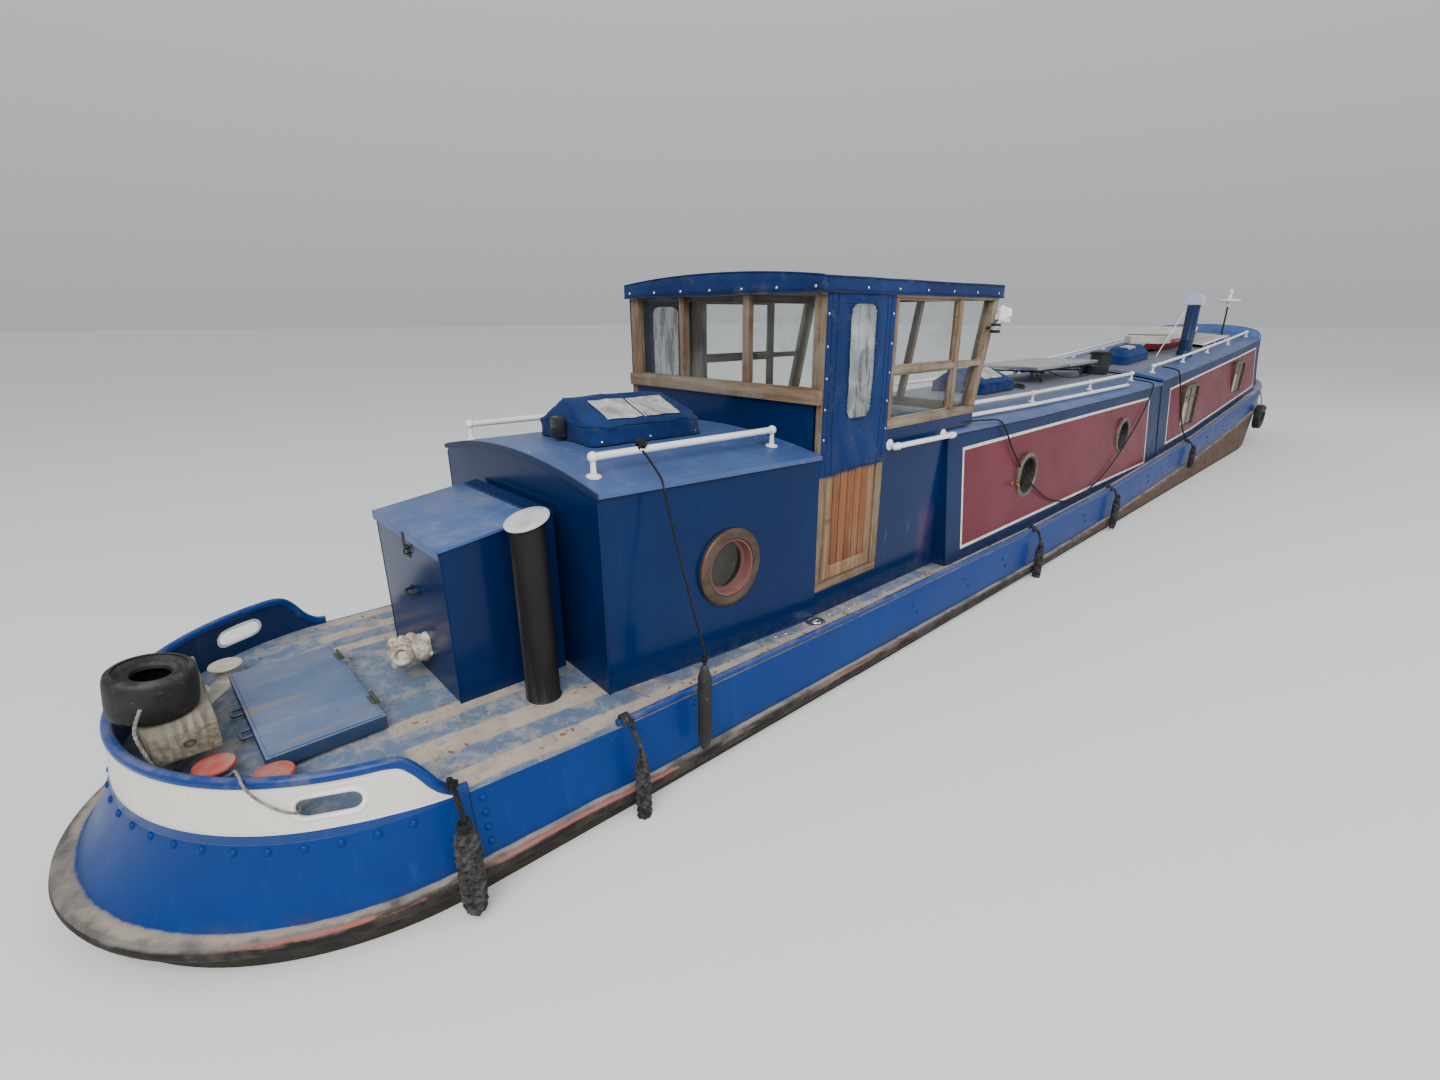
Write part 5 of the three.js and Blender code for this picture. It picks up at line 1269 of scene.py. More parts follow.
def rubber(name="rubber", base=(0.016, 0.016, 0.017), worn=(0.04, 0.038, 0.035), rough=0.5, dusty=0.2):
    p = Paint(name)
    colour = p.mix(p.spots(0.42, 0.74, 4.5, 6, 0.66), base, worn)
    dust = p.both(p.step(p.facing_up(), 0.15, 0.9), p.spots(0.4, 0.7, 14, 5, 0.66))
    colour = p.lay(colour, (0.2, 0.19, 0.175), dust, dusty)
    scuff = p.both(p.spots(0.6, 0.7, 40, 4, 0.7), 0.5)
    colour = p.mix(scuff, colour, (0.11, 0.105, 0.1))
    shine = p.vary(0.24, rough, 10, 5, 0.6)
    normal = p.bump(p.noise(75, 4, 0.66), 0.0012, p.rounded(0.003), 0.6)
    return p.finish(colour, shine, normal, Specular_IOR_Level=0.28)


def fibre(name, base, pale, rough=0.85, depth=0.0016):
    """Rope yarn: fine broken threads with ingrained dirt."""
    p = Paint(name)
    colour = p.mix(p.spots(0.36, 0.66, 30, 5, 0.7), base, pale)
    colour = p.lay(colour, tuple(c * 0.4 for c in base), p.spots(0.5, 0.7, 7, 5, 0.6), 0.5)
    normal = p.bump(p.noise(260, 3, 0.7), depth, None, 0.8)
    return p.finish(colour, rough, normal, Specular_IOR_Level=0.2, Sheen_Weight=0.04)


def solar_cells():
    """Dark cells in a grid behind glass."""
    p = Paint("solar_cells")
    cell = 0.118
    gaps = []
    for place, start in ((p.x, 5.655), (p.y, -0.215)):
        phase = p.math("FRACT", p.math("DIVIDE", p.less(place, start), cell))
        gaps.append(p.step(p.math("MINIMUM", phase, p.less(1.0, phase)), 0.035, 0.015))
    grid = p.math("MAXIMUM", *gaps)
    bars = p.step(p.math("FRACT", p.both(p.y, 55.0)), 0.9, 0.96)
    colour = p.mix(p.spots(0.4, 0.7, 9, 3), (0.01, 0.014, 0.03), (0.016, 0.024, 0.052))
    colour = p.lay(colour, (0.2, 0.21, 0.23), bars, 0.35)
    colour = p.mix(grid, colour, (0.32, 0.33, 0.34))
    dust = p.spots(0.46, 0.74, 6, 6, 0.7)
    colour = p.lay(colour, (0.34, 0.33, 0.31), dust, 0.35)
    rough = p.math("MULTIPLY_ADD", dust, 0.22, 0.1)
    return p.finish(colour, rough, p.bump(p.noise(2, 2), 0.0008, None, 0.4), Coat_Weight=0.6,
        Coat_Roughness=0.04)


WEATHERED = (0.085, 0.047, 0.023), (0.178, 0.122, 0.072), (0.285, 0.212, 0.134)


def make_materials():
    return {"hull": hull_paint(), "bulwark": bulwark_paint(), "deck": deck_paint(), "roof": roof_paint(),
        "navy": navy_paint(), "blue": enamel("blue_enamel", HULL_BLUE, 0.3, 0.35, 0.3, 0.5, 0.25, coat=0.2),
        "lid": enamel("lid_enamel", (0.038, 0.09, 0.235), 0.36, 0.35, 0.15, 0.35, 0.25, coat=0.1),
        "hatch": hatch_paint(), "aft_window": curtained_glass("aft_window_glass", 8.49, 0.62, 0.742, 0.495),
        "fore_window": curtained_glass("fore_window_glass", 11.1, 0.6, 0.97, 0.44),
        "mid_panel": panel_paint("mid_panel", 2.96, 7.2, [(2.9, 0.47), (7.3, 0.485)],
        [(2.9, 1.212), (7.3, 1.225)]), "fore_panel": panel_paint("fore_panel", 7.95, 12.62,
        [(7.9, 0.6), (9.04, 0.66), (11.33, 0.86), (12.7, 0.985)],
        [(7.9, 1.265), (9.04, 1.345), (11.33, 1.5), (12.7, 1.6)]),
        "black": enamel("stack_black", (0.008, 0.007, 0.007), 0.5, 0.2, 0.4, 0.7, 0.35),
        "bottom": enamel("bottom_black", (0.01, 0.01, 0.01), 0.62, 0.5, 0.6, 0.9, 0.2),
        "white": enamel("white_enamel", (0.78, 0.77, 0.73), 0.3, 0.2, 0.2, 0.65, 0.3, coat=0.2),
        "cream": enamel("cream_enamel", (0.55, 0.52, 0.43), 0.35, 0.2, 0.3, 0.8, 0.6),
        "red": enamel("red_enamel", (0.42, 0.055, 0.038), 0.42, 0.7, 0.2, 0.6, 0.6),
        "red_hull": enamel("red_hull", (0.28, 0.018, 0.016), 0.3, 0.5, 0.3, 0.5, 0.4, coat=0.3),
        "frame_z": wood("frame_wood_upright", (0.085, 0.047, 0.023), (0.178, 0.118, 0.068),
        (0.285, 0.208, 0.13), "z", 0.28), "frame_x": wood("frame_wood_fore_aft", *WEATHERED, "x", 0.34),
        "frame_y": wood("frame_wood_athwart", *WEATHERED, "y", 0.34),
        "door": wood("door_boards", (0.065, 0.019, 0.006), (0.175, 0.057, 0.014), (0.29, 0.112, 0.034), "z",
        0.14, 0.34, 0.12, ("x", 0.069, 1.5265), 0.25), "stile": wood("door_stiles", (0.115, 0.062, 0.03),
        (0.235, 0.14, 0.072), (0.36, 0.245, 0.14), "z", 0.22), "helm": wood("helm_wood", (0.1, 0.03, 0.01),
        (0.24, 0.085, 0.024), (0.36, 0.15, 0.05), "z", 0.05, 0.28, 0.4),
        "floor": wood("floor_boards", (0.095, 0.05, 0.024), (0.18, 0.105, 0.052), (0.26, 0.165, 0.09), "x",
        0.3, 0.5, 0.0, ("y", 0.11, -0.777), 0.4), "timber": wood("timber", (0.07, 0.058, 0.04),
        (0.185, 0.162, 0.118), (0.31, 0.275, 0.21), "y", 0.35, 0.75, 0.0, None, 1.0),
        "canvas": canvas("navy_canvas", (0.004, 0.017, 0.078), (0.009, 0.032, 0.125), 0.14),
        "curtain": canvas("door_canvas", (0.004, 0.018, 0.085), (0.008, 0.03, 0.125), 0.1, folds=0.85),
        # The hood's light blue is its one canvas painted lighter: a painted sky reflection on its top.
        "hood": canvas("hood_canvas", (0.07, 0.15, 0.38), (0.125, 0.215, 0.45), 0.22),
        "canvas_blue": canvas("blue_cover", (0.005, 0.022, 0.105), (0.011, 0.044, 0.16), 0.16),
        "pane": clear_panel(), "navy_pipe": enamel("navy_pipe", (0.0035, 0.02, 0.075), 0.3, 0.3, 0.3, 0.5,
        0.2, coat=0.2), "trim": canvas("trim_tape", (0.0045, 0.014, 0.06), (0.008, 0.025, 0.09), 0.25,
        folds=0.2), "vinyl": vinyl(), "glass": glazing(), "dark_glass": dark_glass(), "rubber": rubber(),
        "tread": rubber("tyre_rubber", (0.011, 0.011, 0.011), (0.028, 0.027, 0.026), 0.4, 0.22),
        "rope": fibre("dirty_rope", (0.012, 0.012, 0.012), (0.064, 0.062, 0.058)),
        "grey_rope": fibre("grey_rope", (0.15, 0.14, 0.12), (0.34, 0.32, 0.29)),
        "black_cord": fibre("black_cord", (0.004, 0.004, 0.005), (0.013, 0.013, 0.015), 0.7),
        "solar": solar_cells(), "alloy": metal("alloy", (0.55, 0.56, 0.57), (0.32, 0.32, 0.31), 0.32, 0.4),
        "chrome": metal("chrome", (0.72, 0.72, 0.7), (0.34, 0.3, 0.24), 0.14, 0.4),
        "brass": metal("brass", (0.42, 0.25, 0.12), (0.13, 0.075, 0.045), 0.34, 0.8),
        "mid_ring": metal("mid_ring", (0.165, 0.155, 0.125), (0.075, 0.068, 0.054), 0.42, 0.7, 0.7),
        "port_ring": metal("port_ring", (0.11, 0.072, 0.048), (0.05, 0.033, 0.026), 0.42, 0.75, 0.6),
        "bronze": metal("bronze", (0.5, 0.3, 0.13), (0.14, 0.11, 0.055), 0.34, 0.7),
        "galvanised": metal("galvanised", (0.42, 0.42, 0.4), (0.24, 0.22, 0.19), 0.45, 0.7),
        "iron": metal("painted_iron", (0.045, 0.075, 0.055), (0.05, 0.035, 0.022), 0.5, 0.6, 0.15),
        "plastic": rubber("dark_plastic", (0.014, 0.015, 0.018), (0.03, 0.031, 0.034), 0.36, 0.45),
        "white_plastic": enamel("white_plastic", (0.76, 0.76, 0.74), 0.28, 0.25, 0.15, 0.1, 0.25),
        "pink": enamel("pink_liner", (0.15, 0.06, 0.056), 0.4, 0.3, 0.2, 0.3, 0.3),
        "lavender": enamel("cowl_paint", (0.42, 0.44, 0.58), 0.34, 0.4, 0.3, 0.4, 0.3),
        "offwhite": enamel("tender_deck", (0.58, 0.56, 0.5), 0.4, 0.3, 0.2, 0.5, 0.5), "crust": corroded(),
        "straw": fibre("straw", (0.3, 0.24, 0.13), (0.46, 0.4, 0.27)),
        "dead_leaf": fibre("dead_leaf", (0.16, 0.09, 0.04), (0.3, 0.19, 0.09)),
        "stack_lid": enamel("stack_lid_paint", (0.52, 0.53, 0.54), 0.42, 0.6, 0.2, 0.9, 0.6)}


def corroded():
    """A fitting furred over with white and rust-brown corrosion."""
    p = Paint("crust")
    colour = p.mix(p.spots(0.4, 0.62, 22, 6, 0.7), (0.62, 0.58, 0.5), (0.33, 0.25, 0.19))
    colour = p.lay(colour, (0.14, 0.075, 0.045), p.spots(0.55, 0.66, 50, 5, 0.7), 0.7)
    normal = p.bump(p.noise(55, 5, 0.7), 0.01, None, 0.9)
    return p.finish(colour, 0.85, normal)


# hull and stern

STARBOARD_FENDERS = [(-0.06, 0.276, -0.07), (4.05, 0.265, -0.037), (5.88, 0.34, 0.042), (8.63, 0.486, 0.25)]
PORT_FENDERS = [(1.2, 0.27, -0.02), (6.6, 0.34, 0.04)]


def deck_or_shell(centre, normal):
    """0 on the shell, 1 on the deck."""
    return 1 if normal.z > 0.7 and centre.z > deck_z(centre.x) - 0.02 else 0


def make_hull():
    skins = ["hull", "deck"]
    stern = piece("stern_shell", stern_plating(), skins, slot="hull_blue", replaces="hull_stern",
        decide=deck_or_shell)
    carve(stern, slab(-1.2, -0.865, -0.4, 0.36, 0.1, 0.6))
    piece("stern_swim", [swim_shape(), rod((-1.02, 0, -0.3), (-0.985, 0, -0.3), 0.05)], "bottom",
        replaces="hull_stern")
    piece("rudder_bearing", rod((-1.38, 0, -0.06), (-1.38, 0, -0.035), 0.05), "bottom")
    for side, name in SIDES:
        shape = hull_side() if side > 0 else mirrored(hull_side())
        piece("shell_" + name, shape, skins, slot="hull_blue", replaces="hull_side_" + name,
            decide=deck_or_shell)
        fenders = STARBOARD_FENDERS if side < 0 else PORT_FENDERS
        piece("rail_" + name, toe_rail(side), "blue", replaces="toe_rail_" + name)
        for i, (x, top, bottom) in enumerate(fenders):
            make_rope_fender(f"rope_fender_{name}_{i}", x, side, top, bottom)
    piece("bow_shell", bow_plating(), skins, slot="hull_blue", replaces="hull_bow", decide=deck_or_shell)
    fittings = [rod((14.62, 0, deck_z(14.62) - 0.01), (14.62, 0, 1.15), 0.028),
        rod((14.62, -0.09, 1.12), (14.62, 0.09, 1.12), 0.022), rod((12.9, 0.862, deck_z(12.9) - 0.01),
        (12.9, 0.862, deck_z(12.9) + 0.05), 0.014), rod((12.9, -0.862, deck_z(12.9) - 0.01),
        (12.9, -0.862, deck_z(12.9) + 0.05), 0.014)]
    piece("bow_fittings", fittings, "blue")
    piece("shell_rivets", rivets(), "hull", sharp=60)
    paint_nodes("bottom", "hull_baseplate")
    paint_nodes("bottom", "rudder")
    paint_nodes("bronze", "propeller")
    paint_nodes("iron", "engine_block")


def make_rope_fender(name, x, side, top, bottom):
    y = side * (HALF_BEAM + STRAKE_PROUD + 0.034)
    piece(name, plaited(x, y, top, bottom), "rope", replaces="toe_rail_" + ("starboard" if side < 0
        else "port"), sharp=80)
    rail = straight(SIDE_EDGE, x) - 0.018
    tie = deck_z(x)
    turns = []
    for i in range(49):
        a = 2 * pi * i / 16
        turns.append((x - 0.022 + 0.044 * i / 48, side * (rail + 0.025 * cos(a)),
            tie + 0.0163 + 0.025 * sin(a)))
    drop = [(x, side * (rail + 0.026), tie + 0.02), (x, side * (rail + 0.055), tie - 0.002),
        (x, y - side * 0.012, tie - 0.06), (x, y, top + 0.03), (x, y, top)]
    shapes = [tube(turns, 0.0075, 7), twisted(drop, 0.011), knot((x, y, top + 0.02), 0.02, (0, 0, 1))]
    piece(name + "_tie", shapes, "rope", sharp=80)


def make_bulwark():
    inward = lambda centre, normal: 1 if normal.x * (centre.x - STERN_X) + normal.y * centre.y < 0 else 0
    wall = piece("bulwark_plate", bulwark_shape(), ["bulwark", "navy_pipe"], slot="cream_paint",
        replaces="stern_bulwark", decide=inward)
    carve(wall, fairlead_cutter(-1), fairlead_cutter(1))
    piece("bulwark_rail", bulwark_rail(), "blue")
    rings = joined(*[fairlead_ring(side) for side in (-1, 1)])
    piece("fairlead_rings", rings, "white")
    lines = []
    for side in (-1, 1):
        degrees = [side * (0.5 + 89 * i / 60) for i in range(61)]
        under_rail = [bulwark_point(d, max(bulwark_top(d) - 0.03, 0.459), -0.0008) for d in degrees]
        at_foot = [bulwark_point(d, min(straight(BAND_FOOT, bulwark_point(d, 0.46)[0]),
            bulwark_top(d) - 0.004), -0.0008) for d in degrees]
        lines += [flat_strip(under_rail, 0.006), flat_strip(at_foot, 0.007)]
    piece("bulwark_lines", lines, "white")


def flat_strip(path, width):
    """A thin band standing upright along a path."""
    points, faces = [], []
    for i, p in enumerate(path):
        points += [(p[0], p[1], p[2] - width / 2), (p[0], p[1], p[2] + width / 2)]
        if i:
            k = 2 * i
            faces.append((k - 2, k, k + 1, k - 1))
    return points, faces


def tyre_shape(outer, hole, width, centre, axis, groove=False):
    """A tyre with beads, bulged walls and a worn tread."""
    half = width / 2
    section = [(hole, -half * 0.6), (hole + 0.004, -half * 0.74), (hole + 0.02, -half * 0.84),
        (hole + 0.034, -half * 0.78), (hole + 0.052, -half * 0.92), (outer * 0.8, -half),
        (outer * 0.88, -half * 0.985), (outer * 0.955, -half * 0.88), (outer * 0.988, -half * 0.7),
        (outer, -half * 0.44)]
    tread = []
    if groove:
        for at in (-0.3, 0.0, 0.3):
            tread += [(outer, half * (at - 0.05)), (outer - 0.005, half * (at - 0.035)),
                (outer - 0.005, half * (at + 0.035)), (outer, half * (at + 0.05))]
    profile = section + tread + [(r, -h) for r, h in reversed(section)]
    inner = [(hole + 0.014, half * 0.45), (outer * 0.9, half * 0.6), (outer * 0.93, 0.0),
        (outer * 0.9, -half * 0.6), (hole + 0.014, -half * 0.45), (hole, -half * 0.6)]
    return lathe(profile + inner, centre, axis, 72)


def make_stern_gear():
    plan = [(-1.366, -0.258), (-1.366, 0.416), (-1.478, 0.416), (-1.586, 0.168), (-1.6, 0),
        (-1.571, -0.258)]
    corners = [(x, y, 0.5625) for x, y in plan]
    piece("timber", board(corners, 0.112, (0, 0, 1), 0.008), "timber", replaces="timber_block")
    eye = tube([(-1.46 + 0.016 * cos(a), -0.262, 0.622 + 0.011 * sin(a)) for a in angles(16)], 0.004, 8,
        closed=True)
    piece("timber_eye", eye, "iron")
    axis = Vector((0.139, -0.07, 0.988))
    centre = -1.518, -0.05, 0.7785
    piece("stern_tyre_rubber", tyre_shape(0.14, 0.06, 0.175, centre, axis), "tread", replaces="stern_tyre")
    x, y, z = 12.65, -1.1148, 0.49
    ring = tyre_shape(0.19, 0.1, 0.11, (x, y, z), "y", True)
    piece("bow_tyre_rubber", ring, "rubber", replaces="bow_tyre")
    hang = [(x, -0.985, deck_z(x) + 0.03), (x, -1.035, deck_z(x) + 0.012), (x, -1.085, 0.8),
        (x, -1.115, 0.64), (x, -1.115, 0.59)]
    loop = [(x, -1.05, 0.6), (x, -1.052, 0.66), (x, -1.115, 0.688), (x, -1.178, 0.66), (x, -1.178, 0.6),
        (x, -1.115, 0.577), (x, -1.05, 0.6)]
    piece("bow_tyre_rope", [twisted(hang, 0.01), bent(loop, 0.02, 0.009, 8)], "grey_rope", sharp=80)
    make_bollards()
    make_hatch()
    make_locker()
    make_stack()
    make_hung_fenders()
    make_litter()


BOLLARD_POSTS = [(-1.413, 0.332), (-1.264, 0.535)]


def make_bollards():
    (x0, y0), (x1, y1) = BOLLARD_POSTS
    for side, name, head in ((-1, "starboard", "red"), (1, "port", "cream")):
        foot = stern_deck(x1, y1) + 0.0003
        posts, caps = [], []
        for x, y in BOLLARD_POSTS:
            posts.append(lathe([(0.001, foot + 0.006), (0.05, foot + 0.006), (0.043, foot + 0.014),
                (0.038, foot + 0.022), (0.038, 0.52), (0.044, 0.53), (0.001, 0.53)], (x, side * y, 0), "z",
                28))
            caps.append(turned([(1, 529), (60, 529), (67, 532), (69.5, 538), (66, 544.5), (58, 547),
                (1, 548)], (x, side * y, 0), "z", 40))
        mid = Vector(((x0 + x1) / 2, side * (y0 + y1) / 2, 0))
        along = Vector((x1 - x0, side * (y1 - y0), 0)).normalized()
        across = Vector((-along.y, along.x, 0))
        half = hypot(x1 - x0, y1 - y0) / 2 + 0.055
        corners = [mid + along * a * half + across * b * 0.05 + Vector((0, 0, foot))
            for a, b in ((-1, -1), (1, -1), (1, 1), (-1, 1))]
        plate = board(corners, 0.01, (0, 0, 1), 0.003)
        bolts = [dome(mid + along * a * (half - 0.018) + across * b * 0.032 + Vector((0, 0, foot + 0.01)),
            0.008, 0.006, "z", 8) for a in (-1, 1) for b in (-1, 1)]
        body = "lid" if side < 0 else "cream"
        piece("bollard_posts_" + name, [plate, *posts, *bolts], body, slot="roof_blue",
            replaces="bollards_" + name)
        piece("bollard_heads_" + name, caps, head, slot="red_paint" if side < 0 else "cream_paint",
            replaces="bollards_" + name)


HATCH = -1.27, -0.849, -0.44, 0.4, 0.488, 0.55


def make_hatch():
    x0, x1, y0, y1, z0, z1 = HATCH
    lid = slab(x0, x1, y0, y1, z0 + 0.001, z1 - 0.004, 0.004)
    tread = slab(x0 + 0.012, x1 - 0.012, y0 + 0.012, y1 - 0.012, z1 - 0.006, z1, 0.002)
    grips = []
    for y in (-0.15, 0.06):
        path = [(x0 + 0.004, y + 0.006, 0.5), (x0 - 0.034, y + 0.008, 0.498),
            (x0 - 0.038, y + 0.035, 0.497), (x0 - 0.034, y + 0.062, 0.498), (x0 + 0.004, y + 0.064, 0.5)]
        grips.append(bent(path, 0.008, 0.0065, 10))
    barrels, leaves = [], []
    for a, b in ((-0.33, -0.23), (0.19, 0.29)):
        barrels.append(rod((-0.845, a, 0.558), (-0.845, b, 0.558), 0.0068, 14))
        leaves.append(slab(-0.868, -0.847, a + 0.01, b - 0.01, z1 - 0.001, z1 + 0.002, 0.001, 1))
    piece("hatch_cover", [lid, tread, *grips], "hatch", body="deck_hatch", replaces="deck_hatch_lid")
    piece("hatch_hinges", [*barrels, *leaves], "iron", body="deck_hatch", replaces="deck_hatch_lid")


LOCKER = {"x0": -0.55, "x1": -0.025, "y0": -0.45, "y1": 0.36, "aft": 1.18, "fore": 1.25}


def locker_top(x):
    k = (x - LOCKER["x0"]) / (LOCKER["x1"] - LOCKER["x0"])
    return LOCKER["aft"] + k * (LOCKER["fore"] - LOCKER["aft"])


def make_locker():
    paint_nodes("navy", "locker")
    x0, x1 = LOCKER["x0"] - 0.014, -0.109
    y0, y1 = LOCKER["y0"] - 0.008, LOCKER["y1"] + 0.008
    under = lambda x: locker_top(x) + 0.0004
    top = [(x0, y0, under(x0) + 0.011), (x1, y0, under(x1) + 0.011), (x1, y1, under(x1) + 0.011),
        (x0, y1, under(x0) + 0.011)]
    sheet = board(top, 0.003, (0, 0, 1), 0.001)
    lip = slab(x0, x0 + 0.004, y0, y1, under(x0) - 0.028, under(x0) + 0.013, 0.0015, 1)
    side_lips = []
    for y in (y0, y1 - 0.004):
        corners = [(x0, y, under(x0) + 0.0005), (x1, y, under(x1) + 0.0005), (x1, y, under(x1) + 0.012),
            (x0, y, under(x0) + 0.012)]
        side_lips.append(board(corners, 0.004, (0, 1, 0), 0.0012))
    filler = board([(x0 + 0.006, y0 + 0.006, under(x0)), (x1, y0 + 0.006, under(x1)),
        (x1, y1 - 0.006, under(x1)), (x0 + 0.006, y1 - 0.006, under(x0))], 0.01, (0, 0, 1), 0.0)
    piece("locker_cover", [sheet, lip, *side_lips, filler], "lid", body="locker_lid", replaces="locker_lid")
    barrel = rod((-0.105, LOCKER["y0"] + 0.04, under(x1) + 0.0144),
        (-0.105, LOCKER["y1"] - 0.04, under(x1) + 0.0144), 0.0068, 14)
    hasp = slab(x0 - 0.003, x0, -0.075, -0.045, 1.105, under(x0) + 0.004, 0.001, 1)
    piece("locker_hinge", barrel, "navy", body="locker_lid", slot="iron", replaces="locker_lid")
    piece("locker_hasp", hasp, "black", body="locker_lid")
    xa = LOCKER["x0"]
    eye = tube([(xa - 0.01 - 0.01 * cos(a), -0.06, 1.09 + 0.013 * sin(a))
        for a in [i * pi / 8 for i in range(16)]], 0.0035, 8, closed=True)
    plate = slab(xa - 0.003, xa, -0.082, -0.038, 1.062, 1.118, 0.001, 1)
    grip = bent([(xa, -0.02, 0.9), (xa - 0.03, -0.025, 0.895), (xa - 0.034, -0.06, 0.89),
        (xa - 0.03, -0.095, 0.895), (xa, -0.1, 0.9)], 0.01, 0.006, 10)
    bosses = [turned([(1, 0), (14, 0), (12, 4), (1, 5)], (xa, y, 0.9), (-1, 0, 0), 14)
        for y in (-0.02, -0.1)]
    piece("locker_fittings", [eye, plate, grip, *bosses], "black")
    weld = [tube([(LOCKER["x0"] + 0.0015, y, 0.47), (LOCKER["x0"] + 0.0015, y, 1.178)], 0.004, 6)
        for y in (LOCKER["y0"] + 0.002, LOCKER["y1"] - 0.002)]
    piece("locker_welds", weld, "navy")


def tilted_lid_matrix(x, y, z):
    turn = Matrix.Rotation(-0.3, 4, "Y") @ Matrix.Rotation(0.05, 4, "X")
    return Matrix.Translation((x, y, z)) @ turn


def make_stack():
    x, y, radius = -0.235, -0.605, 0.076
    foot = stern_deck(x, y) - 0.01
    at = tilted_lid_matrix(x + 0.004, y, 1.288)
    rings = []
    for height in (foot + 0.008, foot + 0.016):
        grow = 0.006 if height < foot + 0.012 else 0.0
        rings.append([(x + (radius + grow) * cos(a), y + (radius + grow) * sin(a), height)
            for a in angles(48)])
    for k in range(1, 9):
        rings.append([(x + radius * cos(a), y + radius * sin(a),
            foot + 0.02 + (1.255 - foot) * k / 8 + k / 8 * tilt_of(at, radius * cos(a), radius * sin(a)))
            for a in angles(48)])
    pipe = skin(rings)
    piece("stack_pipe", pipe, "black", slot="black_steel", replaces="exhaust_stack")
    lid = turned([(1, -2), (94, -2), (98, 1), (98, 8), (94, 11), (60, 14.5), (1, 16)], (0, 0, 0), "z", 56)
    specks = [dome((0.062 * cos(a), 0.062 * sin(a), 0.012), 0.0045, 0.0035, (0, 0, 1), 8)
        for a in (0.6, 2.2, 3.7, 5.3)]
    piece("stack_lid_screws", moved(joined(*specks), at), "galvanised")
    piece("stack_lid", moved(lid, at), "stack_lid", replaces="exhaust_stack")


def angles(count):
    return [2 * pi * i / count for i in range(count)]


def tilt_of(matrix, dx, dy):
    """Height of the tilted lid's plane over a point beside its middle."""
    normal = matrix.to_3x3() @ Vector((0, 0, 1))
    return -(normal.x * dx + normal.y * dy) / normal.z


def make_hung_fenders():
    x, y = -0.826, -1.118
    line = [(-0.806, -0.98, 0.5174), (-0.818, -1.04, 0.52), (-0.825, -1.095, 0.5), (x, y, 0.455),
        (x, y, 0.395)]
    piece("stern_rope_fender", plaited(x, y, 0.39, 0.046, 0.037, 2.5), "rope", replaces="stern_fender",
        sharp=80)
    tie = joined(twisted(line, 0.011), knot((-0.812, -1.005, 0.5174), 0.02, (0.1, 1, -0.2)),
        knot((x, y, 0.42), 0.022, (0, 0, 1)))
    piece("stern_rope_tie", tie, "black_cord", sharp=80)
    x, y = 0.3, -1.112
    body = turned([(1, 613), (10, 611), (17, 600), (21, 585), (24, 572), (30, 556), (31, 520), (31, 240),
        (30, 215), (24, 200), (21, 186), (18, 172), (10, 164), (1, 162)], (x, y, 0), "z", 28)
    ribs = [tube([(x + 0.0305 * cos(a), y + 0.0305 * sin(a), 0.55), (x + 0.031 * cos(a), y + 0.031 * sin(a),
        0.4), (x + 0.0305 * cos(a), y + 0.0305 * sin(a), 0.225)], 0.0022, 5) for a in angles(12)]
    piece("slim_fender_body", [body, *ribs], "rubber", replaces="slim_fender")
    knots = [knot((0.345, -0.635, 1.535), 0.024, (1, 0, 0)), knot((0.3, -1.112, 0.64), 0.016, (0, 0, 1))]
    piece("slim_fender_knots", knots, "black_cord", sharp=80)


def scatter(count, seed, region, keep, make):
    rng = np.random.default_rng(seed)
    shapes = []
    while len(shapes) < count:
        x = rng.uniform(region[0], region[1])
        y = rng.uniform(region[2], region[3])
        if keep(x, y):
            shapes.append(make(x, y, rng))
    return joined(*shapes)


def straw(x, y, rng):
    length, a, rise = rng.uniform(0.012, 0.045), rng.uniform(0, pi), stern_deck(x, y) + 0.0015
    dx, dy = cos(a) * length / 2, sin(a) * length / 2
    return rod((x - dx, y - dy, rise), (x + dx, y + dy, rise + rng.uniform(0, 0.004)),
        rng.uniform(0.0006, 0.0013), 4)


def leaf(x, y, rng):
    size, a, z = rng.uniform(0.007, 0.016), rng.uniform(0, 2 * pi), stern_deck(x, y) + 0.003
    u = Vector((cos(a), sin(a), 0)) * size
    v = Vector((-sin(a), cos(a), 0)) * size * rng.uniform(0.35, 0.6)
    c = Vector((x, y, z))
    tip = Vector((0, 0, rng.uniform(0.001, 0.005)))
    return [c - u, c - u * 0.3 + v, c + u * 0.5 + v * 0.8, c + u + tip, c + u * 0.5 - v * 0.8,
        c - u * 0.3 - v], [(0, 1, 2, 3, 4, 5)]


def on_free_deck(x, y):
    inside = hypot((x + 0.75) / 0.88, y / 0.93) < 1 if x < -0.75 else abs(y) < 0.93
    blocked = -0.58 < x < 0 and -0.48 < y < 0.39 or (-1.31 < x < -0.83 and -0.46 < y < 0.42)
    return inside and (not blocked) and (hypot(x + 0.24, y + 0.6) > 0.14)


def make_litter():
    near = lambda x, y: on_free_deck(x, y) and hypot((x + 0.72) / 0.35, (y + 0.3) / 0.55) < 1
    piece("litter_straw", [scatter(90, 3, (-1.1, -0.4, -0.95, 0.3), near, straw),
        scatter(70, 4, (-1.5, 0.0, -0.93, 0.93), on_free_deck, straw)], "straw", sharp=80)
    strip = lambda x, y: True
    piece("litter_leaves", [scatter(46, 5, (-1.45, 0.0, -0.93, 0.93), on_free_deck, leaf),
        scatter(60, 6, (0.1, 3.6, -1.01, -0.9), strip, leaf)], "dead_leaf", sharp=80)


# cabins

